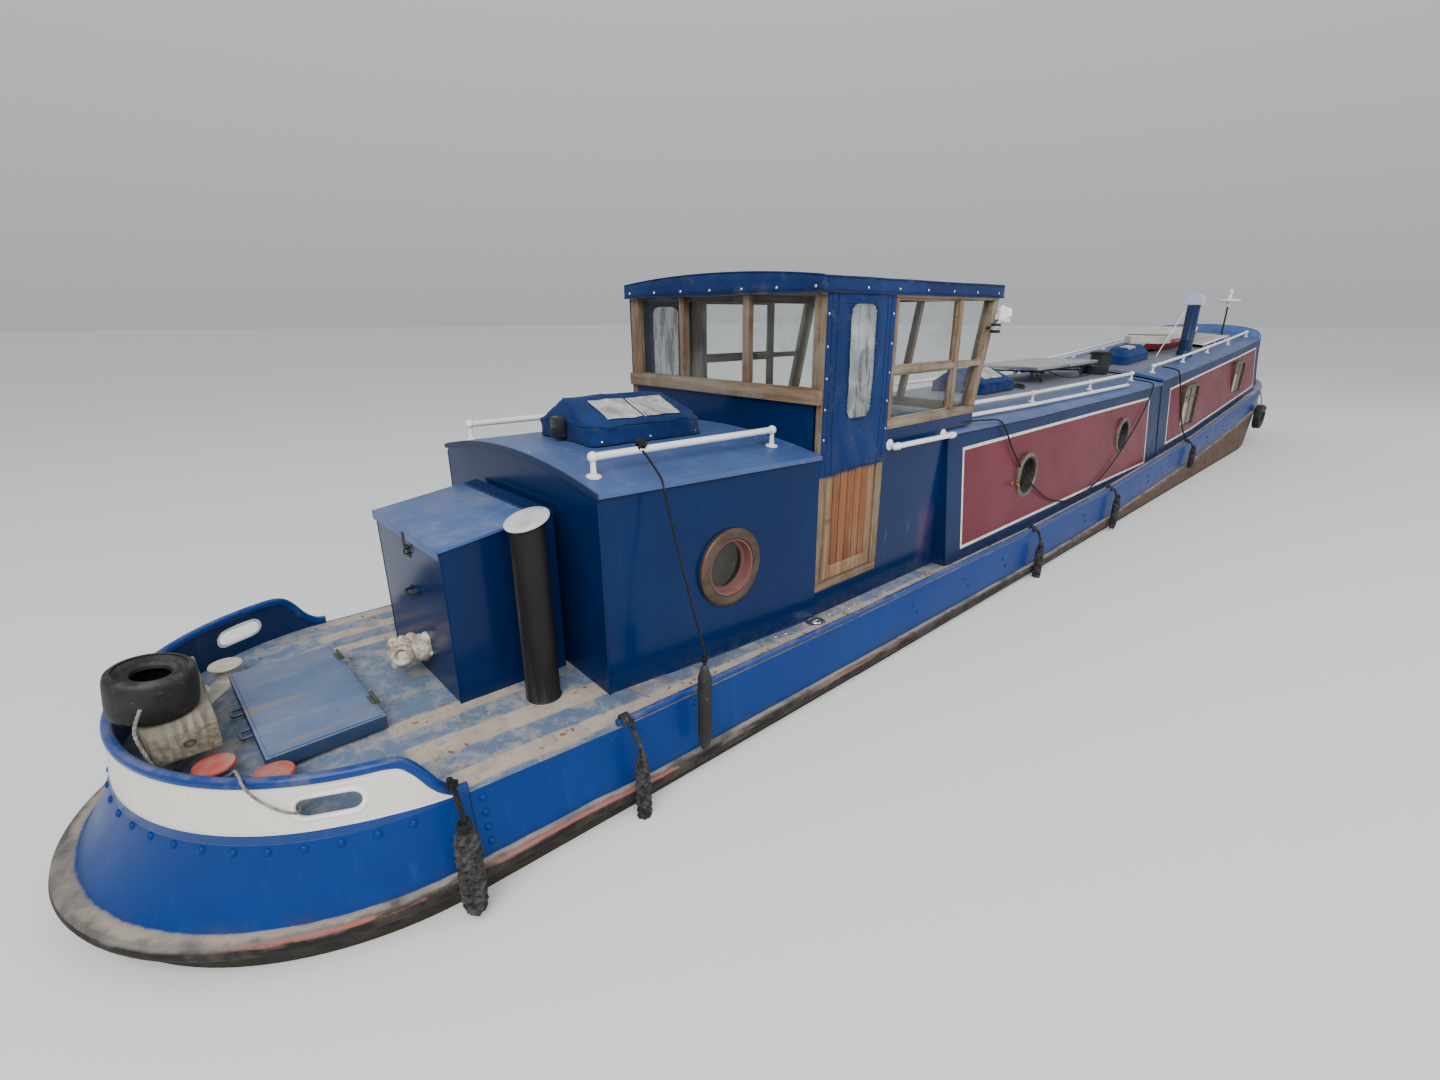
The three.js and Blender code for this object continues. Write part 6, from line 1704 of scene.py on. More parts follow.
AFT_EDGE = [(-0.01, 1.395, 0.788), (1.3847, 1.372, 0.858)]
MID_EDGE = [(2.7403, 1.345, 0.866), (4.11, 1.327, 0.866), (6.03, 1.337, 0.866), (7.5997, 1.354, 0.866)]
FORE_EDGE = [(7.6, 1.398, 0.866), (9.04, 1.472, 0.863), (11.33, 1.622, 0.858), (12.75, 1.73, 0.842)]
CAMBER = 0.09
OVERHANG = 0.012


def roof_z(edge, x, y):
    half = straight(edge, x, 2) + OVERHANG
    return straight(edge, x, 1) + CAMBER * (1 - (y / half) ** 2)


def roof_skin(edge, thick=0.03):
    """A cambered plate with rounded gutters."""
    stations = [edge[0][0], edge[0][0] + 0.02]
    for a, b in zip(edge, edge[1:]):
        stations += [a[0] + (b[0] - a[0]) * k / 3 for k in (1, 2, 3)]
    rings = []
    for x in stations:
        half = straight(edge, x, 2) + OVERHANG
        top = []
        for i in range(33):
            y = half * (1 - i / 16)
            top.append((x, y, straight(edge, x, 1) + CAMBER * (1 - (y / half) ** 2)))
        under = [(px, py, pz - thick) for px, py, pz in top]
        left, right = top[0], top[-1]
        ring = [(left[0], left[1] - 0.006, left[2] + 0.001), *top[1:-1],
            (right[0], right[1] + 0.006, right[2] + 0.001)]
        ring += [(right[0], right[1], right[2] - 0.005), (right[0], right[1], right[2] - 0.024),
            *reversed(under[1:-1]), (left[0], left[1], left[2] - 0.024),
            (left[0], left[1], left[2] - 0.005)]
        rings.append(ring)
    return skin(rings)


def flange(edge, x, y, radius=0.034):
    z = roof_z(edge, x, y)
    slope = -2 * CAMBER * y / (straight(edge, x, 2) + OVERHANG) ** 2
    axis = Vector((0, -slope, 1)).normalized()
    shape = lathe([(0.001, -0.006), (radius, -0.006), (radius, 0.004), (radius * 0.86, 0.007),
        (0.018, 0.009), (0.0155, 0.013), (0.001, 0.013)], (x, y, z), axis, 24)
    screws = [dome(Vector((x, y, z)) + Vector((cos(a), sin(a), -slope * -sin(a))) * radius * 0.68 + axis
        * 0.007, 0.004, 0.003, axis, 6) for a in (0.8, 2.9, 5.0)]
    return joined(shape, *screws)


def hand_rail(edge, feet, y, height, balls=True):
    shapes = []
    path = [(x, y, roof_z(edge, x, y) + height) for x in feet]
    if balls:
        path[0] = (path[0][0] - 0.004, *path[0][1:])
    shapes.append(tube(path, 0.0175, 16))
    for x in feet:
        z = roof_z(edge, x, y)
        shapes.append(tube([(x, y, z), (x, y, z + height * 0.5), (x, y, z + height)],
            [0.0145, 0.0125, 0.0125], 14))
        shapes.append(flange(edge, x, y))
        shapes.append(ball((x, y, z + height), 0.0245))
    return joined(*shapes)


def ball(centre, radius, rows=8, sides=16):
    profile = [(max(0.0005, radius * sin(pi * i / rows)), -radius * cos(pi * i / rows))
        for i in range(rows + 1)]
    return lathe(profile, centre, "z", sides)


def make_roofs():
    rows = ("aft", AFT_EDGE, [0.086, 1.23], 0.635, 0.088), ("mid", MID_EDGE, [3.2, 4.6, 5.97, 7.24], 0.64,
        0.075), ("fore", FORE_EDGE, [7.85, 9.1, 10.27, 11.46, 12.64], 0.68, 0.075)
    for name, edge, feet, y, height in rows:
        piece(f"roof_{name}", roof_skin(edge), "roof", replaces=f"{name}_cabin_roof", sharp=30)
        rails = joined(*[hand_rail(edge, feet, side * y, height) for side in (-1, 1)])
        piece(f"hand_rails_{name}", rails, "white", replaces=f"{name}_cabin_roof", sharp=40)
    half = straight(AFT_EDGE, 0, 2) - 0.012
    heads = [(y, roof_z(AFT_EDGE, 0.0, y) - 0.022) for y in [half * (1 - k / 12) for k in range(25)]]
    rings = [[(x, y, z) for y, z in heads] + [(x, y, z - 0.07) for y, z in reversed(heads)]
        for x in (-0.0012, 0.01)]
    piece("aft_bulkhead_head", skin(rings), "navy")
    paint_nodes("navy", "aft_cabin_side_port", "aft_cabin_side_starboard", "aft_bulkhead",
        "wheelhouse_aft_wall", "wheelhouse_side_port", "wheelhouse_side_starboard", "mid_bulkhead",
        "fore_bulkhead")
    paint_nodes("mid_panel", "mid_cabin_side_port", "mid_cabin_side_starboard")
    paint_nodes("fore_panel", "fore_cabin_side_port", "fore_cabin_side_starboard")
    make_portholes()
    make_fore_windows()
    make_seams()


def side_y(edge, x, z):
    low = deck_z(x)
    k = (z - low) / (straight(edge, x, 1) - 0.03 - low)
    return 0.95 + k * (straight(edge, x, 2) - 0.95)


def aft_side_y(x):
    return 0.785 + 0.075 * x / 1.385


def make_portholes():
    spots = [(0.735, aft_side_y(0.735), 0.887, 0.205, 0.15, 0.822), (4.03, side_y(MID_EDGE, 4.03, 0.85),
        0.85, 0.185, 0.15, None), (6.34, side_y(MID_EDGE, 6.34, 0.9), 0.9, 0.185, 0.15, None)]
    for i, (x, y, z, outer, hole, centre) in enumerate(spots):
        face = (centre or y) + 0.014
        for side, name in SIDES:
            out = 0, side, 0
            at = x, side * face, z
            ring = [(hole - 0.004, -0.03), (hole + 0.001, 0.0), (hole + 0.004, 0.006),
                (hole + 0.014, 0.0095), (outer - 0.02, 0.0095), (outer - 0.006, 0.0065),
                (outer + 0.001, -0.001), (outer + 0.001, -0.02), (outer - 0.02, -0.024)]
            metal_of_ring = "mid_ring" if i else "port_ring"
            piece(f"port_ring_{name}_{i}", lathe(ring, at, out, 64), metal_of_ring, slot="bronze")
            liner = [(hole - 0.001, 0.002), (hole - 0.01, 0.0), (hole - 0.013, -0.012),
                (hole - 0.014, -0.046), (hole - 0.03, -0.05), (hole - 0.034, -0.046), (hole - 0.036, -0.06),
                (hole - 0.001, -0.062)]
            piece(f"port_liner_{name}_{i}", lathe(liner, at, out, 64), "rubber" if i else "pink",
                slot="red_paint")
            pane = [(0.001, -0.052), (hole - 0.03, -0.052), (hole - 0.03, -0.058), (0.001, -0.058)]
            piece(f"port_glass_{name}_{i}", lathe(pane, at, out, 48), "dark_glass")
            screws = [dome(Vector(at) + Vector((cos(a) * (outer - 0.022), 0, sin(a) * (outer - 0.022)))
                + Vector((0, side * 0.0092, 0)), 0.0065, 0.004, out, 8) for a in angles(12)]
            piece(f"port_screws_{name}_{i}", screws, metal_of_ring, slot="bronze")


def frame_rect(x0, x1, z0, z1, wide, corner, y0, y1, side):
    """A window surround with round corners, y0 to y1 outward."""
    rings = [[(x, side * y, z) for x, z in corner_points(x0, x1, z0, z1, corner, grow)]
        for grow, y in ((0, y0), (0, y1 - 0.003), (0.004, y1), (wide - 0.004, y1), (wide, y1 - 0.003),
        (wide, y0))]
    rings.append(rings[0])
    return skin(rings, ends=False)


def make_fore_windows():
    rows = [(8.8, 0.99, 0.62, 0.495), (11.4, 1.19, 0.6, 0.44)]
    for i, (x, z, width, height) in enumerate(rows):
        y = side_y(FORE_EDGE, x, z)
        x0, x1, z0, z1 = x - width / 2, x + width / 2, z - height / 2, z + height / 2
        for side, name in SIDES:
            surround = frame_rect(x0 + 0.012, x1 - 0.012, z0 + 0.012, z1 - 0.012, 0.038, 0.045, y - 0.02,
                y + 0.022, side)
            bar = slab(x - 0.012, x + 0.012, side * y - 0.01, side * y + 0.01, z0 + 0.012, z1 - 0.012,
                0.003)
            rail = slab(x0 + 0.012, x1 - 0.012, side * y - 0.009, side * y + 0.009, z1 - 0.14, z1 - 0.122,
                0.003)
            piece(f"window_surround_{name}_{i}", [surround, bar, rail], "port_ring")
            pane = slab(x0 + 0.004, x1 - 0.004, side * y - 0.003, side * y + 0.003, z0 + 0.004, z1 - 0.004)
            piece(f"window_pane_{name}_{i}", pane, ("aft_window", "fore_window")[i], slot="glass")


def make_seams():
    """Welded joints and beads on the cabin sides, and the angle at the sides' feet."""
    shapes = []
    for side in (-1, 1):
        shapes.append(tube([(7.6, side * (side_y(MID_EDGE, 7.59, 0.49) + 0.001), 0.49),
            (7.6, side * (side_y(MID_EDGE, 7.59, 1.3) + 0.001), 1.3)], 0.006, 8))
        foot = [(x, side * (aft_side_y(x) + 0.002), deck_z(x) + 0.006) for x in (0.02, 0.7, 1.38)]
        shapes.append(tube(foot, 0.006, 8))
        foot = [(x, side * 0.953, deck_z(x) + 0.006) for x in (2.76, 4.11, 6.03, 7.5, 9.04, 11.33, 12.0)]
        shapes.append(tube(foot, 0.006, 8))
        shapes.append(tube([(2.742, side * 0.949, deck_z(2.742) + 0.01), (2.742, side * 0.868, 1.3)], 0.006,
            8))
        shapes.append(tube([(0.003, side * 0.788, 0.43), (0.003, side * 0.787, 1.355)], 0.0055, 8))
    piece("cabin_welds", shapes, "navy")


# wheelhouse

HALF = 0.85
SILL, HEAD = 1.44, 2.25
FOOT_X, HEAD_X = 3.09, 3.3
ROOF_HALF, ROOF_AFT, ROOF_FORE = HALF + 0.0135, 1.3525, HEAD_X + 0.0215
ROOF_EDGE, ROOF_HEM = 2.29, 2.207
BEAD = 0.012
HINGE_HEIGHTS = 0.7, 1.18


def rake(z):
    return (z - SILL) * (HEAD_X - FOOT_X) / (HEAD - SILL)


def oblong(x0, x1, z0, z1):
    return [(x0, z0), (x1, z0), (x1, z1), (x0, z1)]


def member(points, side, y0, y1, round_by=0.004):
    """A frame member in a side of the wheelhouse: its outline in (x, z), from y0 out to y1."""
    corners = [(x, side * y0, z) for x, z in points]
    return board(corners, y1 - y0, (0, side, 0), round_by)


def make_side_frames():
    y0, y1 = HALF - 0.045, HALF
    front = lambda z: FOOT_X + rake(z)
    low, top, sill = SILL + 0.056, 2.19, SILL + 0.055
    upright = [oblong(1.39, 1.458, 0.6, top), oblong(1.942, 2.0055, 0.6, top),
        oblong(2.0065, 2.055, low, top), oblong(2.755, 2.803, low, top),
        [(front(low) - 0.062, low), (front(low), low), (front(top), top), (front(top) - 0.062, top)]]
    level = [oblong(1.39, 2.0055, 0.55, 0.599), [(2.0065, SILL), (front(SILL), SILL), (front(sill), sill),
        (2.0065, sill)], oblong(2.056, 2.754, 1.765, 1.805), [(2.804, 1.765), (front(1.765) - 0.063, 1.765),
        (front(1.805) - 0.063, 1.805), (2.804, 1.805)], [(1.39, 2.191), (front(2.191), 2.191),
        (front(HEAD), HEAD), (1.39, HEAD)]]
    for side, name in SIDES:
        node = "window_frame_" + name
        piece(f"side_posts_{name}", [member(q, side, y0, y1) for q in upright], "frame_z", replaces=node)
        piece(f"side_rails_{name}", [member(q, side, y0, y1 - 0.001) for q in level], "frame_x",
            replaces=node)
        beads = []
        a, b, w = 2.055, 2.755, BEAD
        for c, d in ((1.495, 1.765), (1.805, 2.19)):
            beads += [member(oblong(*edge), side, y1 - 0.03, y1 - 0.012, 0.003)
                for edge in ((a, b, c, c + w), (a, b, d - w, d), (a, a + w, c, d), (b - w, b, c, d))]
        piece(f"side_beads_{name}", beads, "frame_x")


def cross_member(y0, y1, z0, z1, x0, x1, raked=False, round_by=0.004):
    lean = rake if raked else lambda z: 0.0
    corners = [(x0 + lean(z0), y0, z0), (x0 + lean(z0), y1, z0), (x0 + lean(z1), y1, z1),
        (x0 + lean(z1), y0, z1)]
    return board(corners, x1 - x0, (1, 0, 0), round_by)


def make_end_frames():
    half = HALF - 0.0455
    for name, x0, raked, low, foot, head in (("aft", 1.392, False, 1.6375, 1.722, 2.205),
            ("front", FOOT_X - 0.05, True, SILL + 0.005, SILL + 0.07, 2.19)):
        x1 = x0 + 0.045
        node = "window_frame_" + name
        posts, rails = [], []
        for y, wide in ((half - 0.02, 0.02), (0.31 if name == "aft" else 0.26, 0.024), (-0.26, 0.024),
                (-half + 0.02, 0.02)):
            posts.append(cross_member(y - wide, y + wide, foot, head, x0, x1, raked))
        rails.append(cross_member(-half, half, low, foot - 0.001, x0, x1, raked))
        rails.append(cross_member(-half, half, head + 0.001, HEAD - 0.001, x0, x1, raked))
        if name == "aft":
            rails.append(slab(1.3605, 1.393, -HALF + 0.001, HALF - 0.001, 1.64, 1.718, 0.006))
            rails.append(slab(1.372, 1.396, -half + 0.02, half - 0.02, 1.7185, 1.7235, 0.002))
        piece(f"{name}_posts", posts, "frame_z", replaces=node)
        piece(f"{name}_rails", rails, "frame_y", replaces=node)
    paint_nodes("glass", "glass_aft", "glass_port", "glass_starboard", "glass_front")


def make_doors():
    y0, y1 = 0.815, 0.843
    for side, name in SIDES:
        body = "door_" + name
        boards = [member(oblong(1.5265 + 0.069 * k + 0.0006, 1.5265 + 0.069 * k + 0.0684, 0.692, 1.309),
            side, y0, y1, 0.0028) for k in range(5)]
        edging = [member(oblong(*edge), side, y0, y1) for edge in ((1.4673, 1.5257, 0.607, 1.309),
            (1.8725, 1.9289, 0.607, 1.309), (1.5265, 1.8717, 0.607, 0.6905))]
        piece(f"door_stiles_{name}", edging, "stile", body=body, replaces=body)
        piece(f"door_boards_{name}", boards, "door", body=body, replaces=body)
        ledges = [member(oblong(1.49, 1.87, z, z + 0.09), side, 0.8055, 0.815, 0.003) for z in (0.79, 1.05)]
        piece(f"door_ledges_{name}", ledges, "frame_x", body=body, slot="door_wood")
        barrels = [rod((1.9317, side * 0.807, z), (1.9317, side * 0.807, z + 0.07), 0.0078, 14)
            for z in HINGE_HEIGHTS]
        leaves = [member(oblong(1.872, 1.93, z, z + 0.07), side, 0.8115, 0.8152, 0.001)
            for z in HINGE_HEIGHTS]
        piece(f"door_hinges_{name}", [*barrels, *leaves], "brass", body=body, replaces=body)
        latch = member(oblong(1.474, 1.52, 0.955, 0.985), side, 0.8432, 0.8452, 0.001)
        piece(f"door_latch_{name}", latch, "brass", body=body)


def make_curtains():
    """Canvas over the doorway with a crinkled clear window, piping down both sides and studs."""
    for side, name in SIDES:
        x0, x1, z0, z1 = 1.388, 2.011, 1.253, 2.204
        nx, nz = 72, 190
        wx0, wx1, wz0, wz1 = 1.585, 1.825, 1.545, 2.16
        points, faces = [], []
        base = HALF + 0.0035

        def lift(x, z):
            u, v = (x - x0) / (x1 - x0), (z - z0) / (z1 - z0)
            hang = sin(pi * u) ** 0.7
            wrinkle = 0.0058 * sin(u * 21 + 2.4 * sin(v * 7 + side)) * (0.3 + 0.7 * (1 - v))
            beside = min(abs(x - wx0), abs(x - wx1)) if wz0 - 0.03 < z < wz1 + 0.03 else 1.0
            wrinkle += 0.004 * sin(z * 330 + 2 * sin(z * 37)) * exp(-((beside - 0.012) / 0.013) ** 2)
            beside = min(abs(x - 1.452), abs(x - 1.945))
            wrinkle += 0.0028 * sin(z * 210 + 3 * sin(z * 19)) * exp(-(beside / 0.016) ** 2)
            wrinkle += 0.0014 * sin(u * 9 - v * 13 + 1.3) + 0.0007 * sin(v * 47 + u * 11)
            return 0.0035 * hang + wrinkle * (0.25 + 0.75 * hang)
        for j in range(nz + 1):
            for i in range(nx + 1):
                x, z = x0 + (x1 - x0) * i / nx, z0 + (z1 - z0) * j / nz
                droop = 0.012 * (1 - j / nz) ** 3 * cos(i / nx * 2.2) ** 2
                points.append((x, side * (base + lift(x, z)), z - droop))
        window = []
        for j in range(nz):
            for i in range(nx):
                x, z = x0 + (x1 - x0) * (i + 0.5) / nx, z0 + (z1 - z0) * (j + 0.5) / nz
                k = j * (nx + 1) + i
                face = k, k + 1, k + nx + 2, k + nx + 1
                (window if rounded_inside(x, z, wx0, wx1, wz0, wz1, 0.06) else faces).append(face)
        cloth = piece(f"curtain_{name}", (points, faces), "curtain", replaces="door_canvas_" + name,
            sharp=80)
        thicken(cloth, 0.0018)
        pane = piece(f"curtain_window_{name}", (points, window), "vinyl", replaces="door_canvas_" + name,
            sharp=80)
        thicken(pane, 0.0008)
        rim = [(x, side * (base + lift(x, z) + 0.0028), z) for x, z in rounded_outline(wx0, wx1, wz0, wz1,
            0.06)]
        seams = [tube(rim, 0.0052, 8, closed=True)]
        for x in (1.43, 1.475, 1.925, 1.965):
            path = [(x, side * (base + lift(x, z) + 0.002), z) for z in spread(z0, z1, 24)]
            seams.append(tube(path, 0.0042, 8))
        hem = [(x, side * (base + lift(x, z0 + 0.012) + 0.001), z0 + 0.012) for x in spread(x0, x1, 24)]
        seams.append(tube(hem, 0.0045, 8))
        piece(f"curtain_piping_{name}", seams, "trim", sharp=80)
        studs = []
        for k in range(5):
            z = z0 + 0.2 + (z1 - z0 - 0.3) * k / 4
            for x in (1.405, 1.992):
                studs.append(dome((x, side * (base + lift(x, z) + 0.001), z), 0.007, 0.0035, (0, side, 0),
                    10))
        piece(f"curtain_studs_{name}", studs, "chrome")


def rounded_inside(x, z, x0, x1, z0, z1, corner):
    dx = max(x0 + corner - x, x - x1 + corner, 0)
    dz = max(z0 + corner - z, z - z1 + corner, 0)
    return hypot(dx, dz) <= corner and x0 <= x <= x1 and (z0 <= z <= z1)


def corner_points(x0, x1, z0, z1, corner, grow=0.0):
    """A rectangle with round corners as (x, z), grown outward."""
    points = []
    for k in range(28):
        a = radians(15 * k - 15 * (k // 7))
        cx = x0 + corner if 7 <= k < 21 else x1 - corner
        cz = z1 - corner if k < 14 else z0 + corner
        points.append((cx + (corner + grow) * cos(a), cz + (corner + grow) * sin(a)))
    return points


def rounded_outline(x0, x1, z0, z1, corner):
    points = corner_points(x0, x1, z0, z1, corner)
    out = []
    for a, b in zip(points, points[1:] + points[:1]):
        count = max(1, int(hypot(b[0] - a[0], b[1] - a[1]) / 0.03))
        out += [(a[0] + (b[0] - a[0]) * k / count, a[1] + (b[1] - a[1]) * k / count) for k in range(count)]
    return out


def thicken(obj, amount, offset=1.0):
    modifier = obj.modifiers.new("thickness", "SOLIDIFY")
    modifier.thickness = amount
    modifier.offset = offset


def roof_top(x, y):
    """Height of the canvas: camber, a ridge over each rib and a little sag between them."""
    rib = sum(0.003 * exp(-((x - at) / 0.03) ** 2) for at in (1.37, 1.85, 2.33, 2.81, 3.3))
    sag = -0.0035 * cos((x - 1.61) / 0.48 * 2 * pi) * (1 - (y / ROOF_HALF) ** 4)
    return ROOF_EDGE + 0.038 * (1 - (y / ROOF_HALF) ** 2) + rib + sag - 0.004


def make_wheelhouse_roof():
    """Canvas stretched over the roof and turned down over its edge, held by studs."""
    half, steps = ROOF_HALF, 36
    rows = []
    for x in spread(ROOF_AFT, ROOF_FORE, 40):
        side = [(half - 0.001 + 0.0018 * sin(x * 31 + z * 20) * 0.5 - 0.001, z + 0.0015 * sin(x * 17))
            for z in (ROOF_HEM, ROOF_HEM + 0.02, ROOF_HEM + 0.045, ROOF_EDGE - 0.014)]
        across = [-half + 0.004 + (2 * half - 0.008) * j / steps for j in range(steps + 1)]
        rows.append([(x, -y, z) for y, z in side] + [(x, y, roof_top(x, y)) for y in across] + [(x, y, z)
            for y, z in reversed(side)])
    cloth = piece("roof_canvas", skin(rows, closed=False, ends=False), "canvas", replaces="wheelhouse_roof",
        sharp=80)
    thicken(cloth, 0.002, -1.0)
    for name, x, out in (("aft", ROOF_AFT, -1), ("front", ROOF_FORE, 1)):
        make_roof_flap(name, x, out)
    boards = [slab(x, x + 0.02, -half + 0.006, half - 0.006, 2.205, 2.285, 0.003)
        for x in (ROOF_AFT + 0.002, ROOF_FORE - 0.022)]
    boards += [slab(ROOF_AFT + 0.004, ROOF_FORE - 0.004, y, y + 0.02, 2.205, 2.285, 0.003)
        for y in (-half + 0.003, half - 0.023)]
    headlining = slab(ROOF_AFT + 0.01, ROOF_FORE - 0.01, -half + 0.02, half - 0.02, 2.252, 2.27, 0.002)
    piece("roof_boards", [*boards, headlining], "frame_x", replaces="wheelhouse_roof")
    make_roof_trim()


def make_roof_flap(name, x, out):
    half, count = ROOF_HALF, 48
    points = []
    for j in range(count + 1):
        y = -half + 0.003 + (2 * half - 0.006) * j / count
        for k, z in enumerate(spread(ROOF_HEM, roof_top(x, y) - 0.002, 3)):
            points.append((x + out * (0.0005 + 0.001 * sin(y * 29 + k)), y, z))
    flap = piece(f"roof_flap_{name}", (points, sheet_faces(count, 4)), "canvas", replaces="wheelhouse_roof",
        sharp=80)
    thicken(flap, 0.002, 0.0)


def make_roof_trim():
    """Piping along the roof's edge and hem, and the studs."""
    half = ROOF_HALF
    paths = []
    for side in (-1, 1):
        paths.append([(x, side * (half - 0.001), ROOF_EDGE - 0.006) for x in spread(ROOF_AFT, ROOF_FORE,
            12)])
        paths.append([(x, side * (half + 0.001), ROOF_HEM + 0.003 + 0.0015 * sin(x * 17))
            for x in spread(ROOF_AFT, ROOF_FORE, 30)])
    across = [-half + 0.01 + (2 * half - 0.02) * k / 30 for k in range(31)]
    for x in (ROOF_AFT - 0.001, ROOF_FORE + 0.001):
        paths.append([(x, y, roof_top(x, y) - 0.001) for y in across])
        paths.append([(x, y, ROOF_HEM + 0.004) for y in across])
    piece("roof_piping", [tube(path, 0.0042, 8) for path in paths], "trim", sharp=80)
    studs = [dome((x, -0.8 + 1.6 * k / 6, 2.236), 0.009, 0.004, (out, 0, 0), 12) for k in range(7)
        for x, out in ((ROOF_AFT - 0.002, -1), (ROOF_FORE + 0.002, 1))]
    studs += [dome((1.72 + 1.52 * k / 5, side * (half + 0.001), 2.236), 0.0075, 0.0035, (0, side, 0), 12)
        for k in range(6) for side in (-1, 1)]
    piece("roof_studs", studs, "chrome")


def make_wheelhouse():
    make_side_frames()
    make_end_frames()
    make_doors()
    make_curtains()
    make_wheelhouse_roof()
    paint_nodes("floor", "wheelhouse_floor")
    make_helm()
    make_grab_rails()


def make_helm():
    x, y, z = 2.4, -0.28, 1.2
    spokes = []
    rim = tube([(x, y + 0.27 * cos(a), z + 0.27 * sin(a)) for a in angles(64)], 0.0165, 14, closed=True)
    for i in range(6):
        a = i * pi / 3 + pi / 6
        at = lambda r: (x, y + r * cos(a), z + r * sin(a))
        profile = [(0.04, 0.01), (0.08, 0.0085), (0.105, 0.0125), (0.13, 0.0085), (0.19, 0.0115),
            (0.235, 0.009), (0.253, 0.012), (0.287, 0.012), (0.295, 0.0075), (0.308, 0.0115),
            (0.322, 0.0105), (0.329, 0.004)]
        spokes.append(tube([at(r) for r, _ in profile], [s for _, s in profile], 12))
    hub = turned([(1, -35), (30, -34), (44, -26), (45, 20), (36, 30), (22, 36), (22, 54), (1, 54.5)],
        (x, y, z), "x", 32)
    piece("helm_wheel", [rim, *spokes, hub], "helm", body="steering_wheel", replaces="steering_wheel",
        sharp=50)
    boss = turned([(1, -35.5), (20, -36), (24, -34), (26, -30), (1, -30)], (x, y, z), "x", 24)
    piece("helm_boss", boss, "brass", body="steering_wheel")
    dials = [lathe([(0.001, 0.004), (r * 0.82, 0.004), (r * 0.86, 0.008), (r, 0.008), (r, 0.0)],
        (2.48, -0.28 + dy * 2.2, 1.06 + dz), (-1, 0, 0), 24) for dy, dz, r in ((-0.07, 0.02, 0.03),
        (0.0, 0.03, 0.036), (0.07, 0.02, 0.03))]
    piece("helm_dials", dials, "chrome")


def make_grab_rails():
    for side, name in SIDES:
        y = side * (HALF + 0.062)
        bar = tube([(2.03, y, 1.345), (2.73, y, 1.335)], 0.0165, 18)
        parts = [bar]
        for x, z in ((2.06, 1.345), (2.7, 1.335)):
            parts.append(bent([(x, side * (HALF - 0.001), z), (x, side * (HALF + 0.03), z), (x, y, z)],
                0.01, 0.0145, 16))
            parts.append(turned([(1, 0), (34, 0), (34, 5), (28, 9), (18, 11), (1, 12)], (x, side * HALF, z),
                (0, side, 0), 24))
            parts.append(ball((x, y, z), 0.0235))
        parts += [ball((2.028, y, 1.345), 0.0205), ball((2.732, y, 1.335), 0.0205)]
        piece(f"grab_rail_{name}", parts, "white")


# canvas covers and roof gear


def rounded_plan(half_x, half_y, corner, count=88):
    """A rounded rectangle round the origin as (x, y), counter-clockwise and evenly spaced."""
    corner = min(corner, half_x * 0.98, half_y * 0.98)
    outline = []
    for cx, cy, start in ((1, 1, 0), (-1, 1, 90), (-1, -1, 180), (1, -1, 270)):
        for k in range(9):
            a = radians(start + 90 * k / 8)
            outline.append((cx * (half_x - corner) + corner * cos(a),
                cy * (half_y - corner) + corner * sin(a)))
    closed = outline + outline[:1]
    lengths = [0.0]
    for a, b in zip(closed, closed[1:]):
        lengths.append(lengths[-1] + hypot(b[0] - a[0], b[1] - a[1]))
    out = []
    for i in range(count):
        want = lengths[-1] * i / count
        k = max(j for j in range(len(lengths)) if lengths[j] <= want + 1e-09)
        k = min(k, len(closed) - 2)
        t = (want - lengths[k]) / max(lengths[k + 1] - lengths[k], 1e-09)
        out.append((closed[k][0] + t * (closed[k + 1][0] - closed[k][0]),
            closed[k][1] + t * (closed[k + 1][1] - closed[k][1])))
    return out


def cover_shape(x0, x1, middle_y, half, base, height, slope, ridge, wrinkle=0.007, seed=0.0):
    """A cloth cover: skirt, puckered eave and slopes; ridge is its top as (share of half, shift)."""
    middle, half_x = (x0 + x1) / 2, (x1 - x0) / 2
    levels = [(1.0, 1.0, 0.006, 1.3, 0), (0.992, 0.988, 0.1, 1.0, 0), (0.984, 0.978, 0.2, 0.9, 0),
        (0.984, 0.98, 0.3, 0.9, 0), (0.996, 0.996, 0.375, 2.2, 0), (0.998, 1.0, 0.415, 2.8, 0),
        (0.99, 0.988, 0.45, 2.2, 0)]
    top_x = 1 - slope / half_x
    top_y, shift = ridge
    for k in range(1, 8):
        t = k / 7
        levels.append((0.985 + (top_x - 0.985) * t, 0.98 + (top_y - 0.98) * t,
            0.465 + 0.495 * t - 0.02 * sin(pi * t), 1.0 - 0.6 * t, shift * t))
    for k in range(1, 7):
        t = k / 6
        levels.append((top_x * (1 - t) + 0.001, top_y * (1 - t) + 0.001, 0.96 + 0.04 * sin(t * pi / 2), 0.4,
            shift))
    rings = []
    for fx, fy, fz, loose, aside in levels:
        plan = rounded_plan(half_x * fx, half * fy, 0.035 * fx + 0.012)
        ring = []
        for i, (px, py) in enumerate(plan):
            a = 2 * pi * i / len(plan)
            fold = sin(a * 17 + fz * 3.1 + seed) * 0.5 + sin(a * 29 + seed * 2 - fz * 5) * 0.35 + sin(
                a * 7 + fz * 9 + seed) * 0.4
            push = 1 - (0.5 + 0.5 * fold) * wrinkle * loose / max(0.06, hypot(px, py))
            x, y = middle + px * push, middle_y + aside + py * push
            bulge = 0.0045 * sin(x * 23 + seed) * sin(y * 19 + 1) * (1 if 0.3 < fz < 0.99 else 0)
            sag = 0.0035 * loose * (0.5 + 0.5 * sin(a * 13 + seed)) if fz > 0.4 else 0
            ring.append((x, y, base(x, y) + SEAT + (height - 0.006) * fz + bulge - sag))
        rings.append(ring)
    return skin(rings, ends=False), len(rings[0])


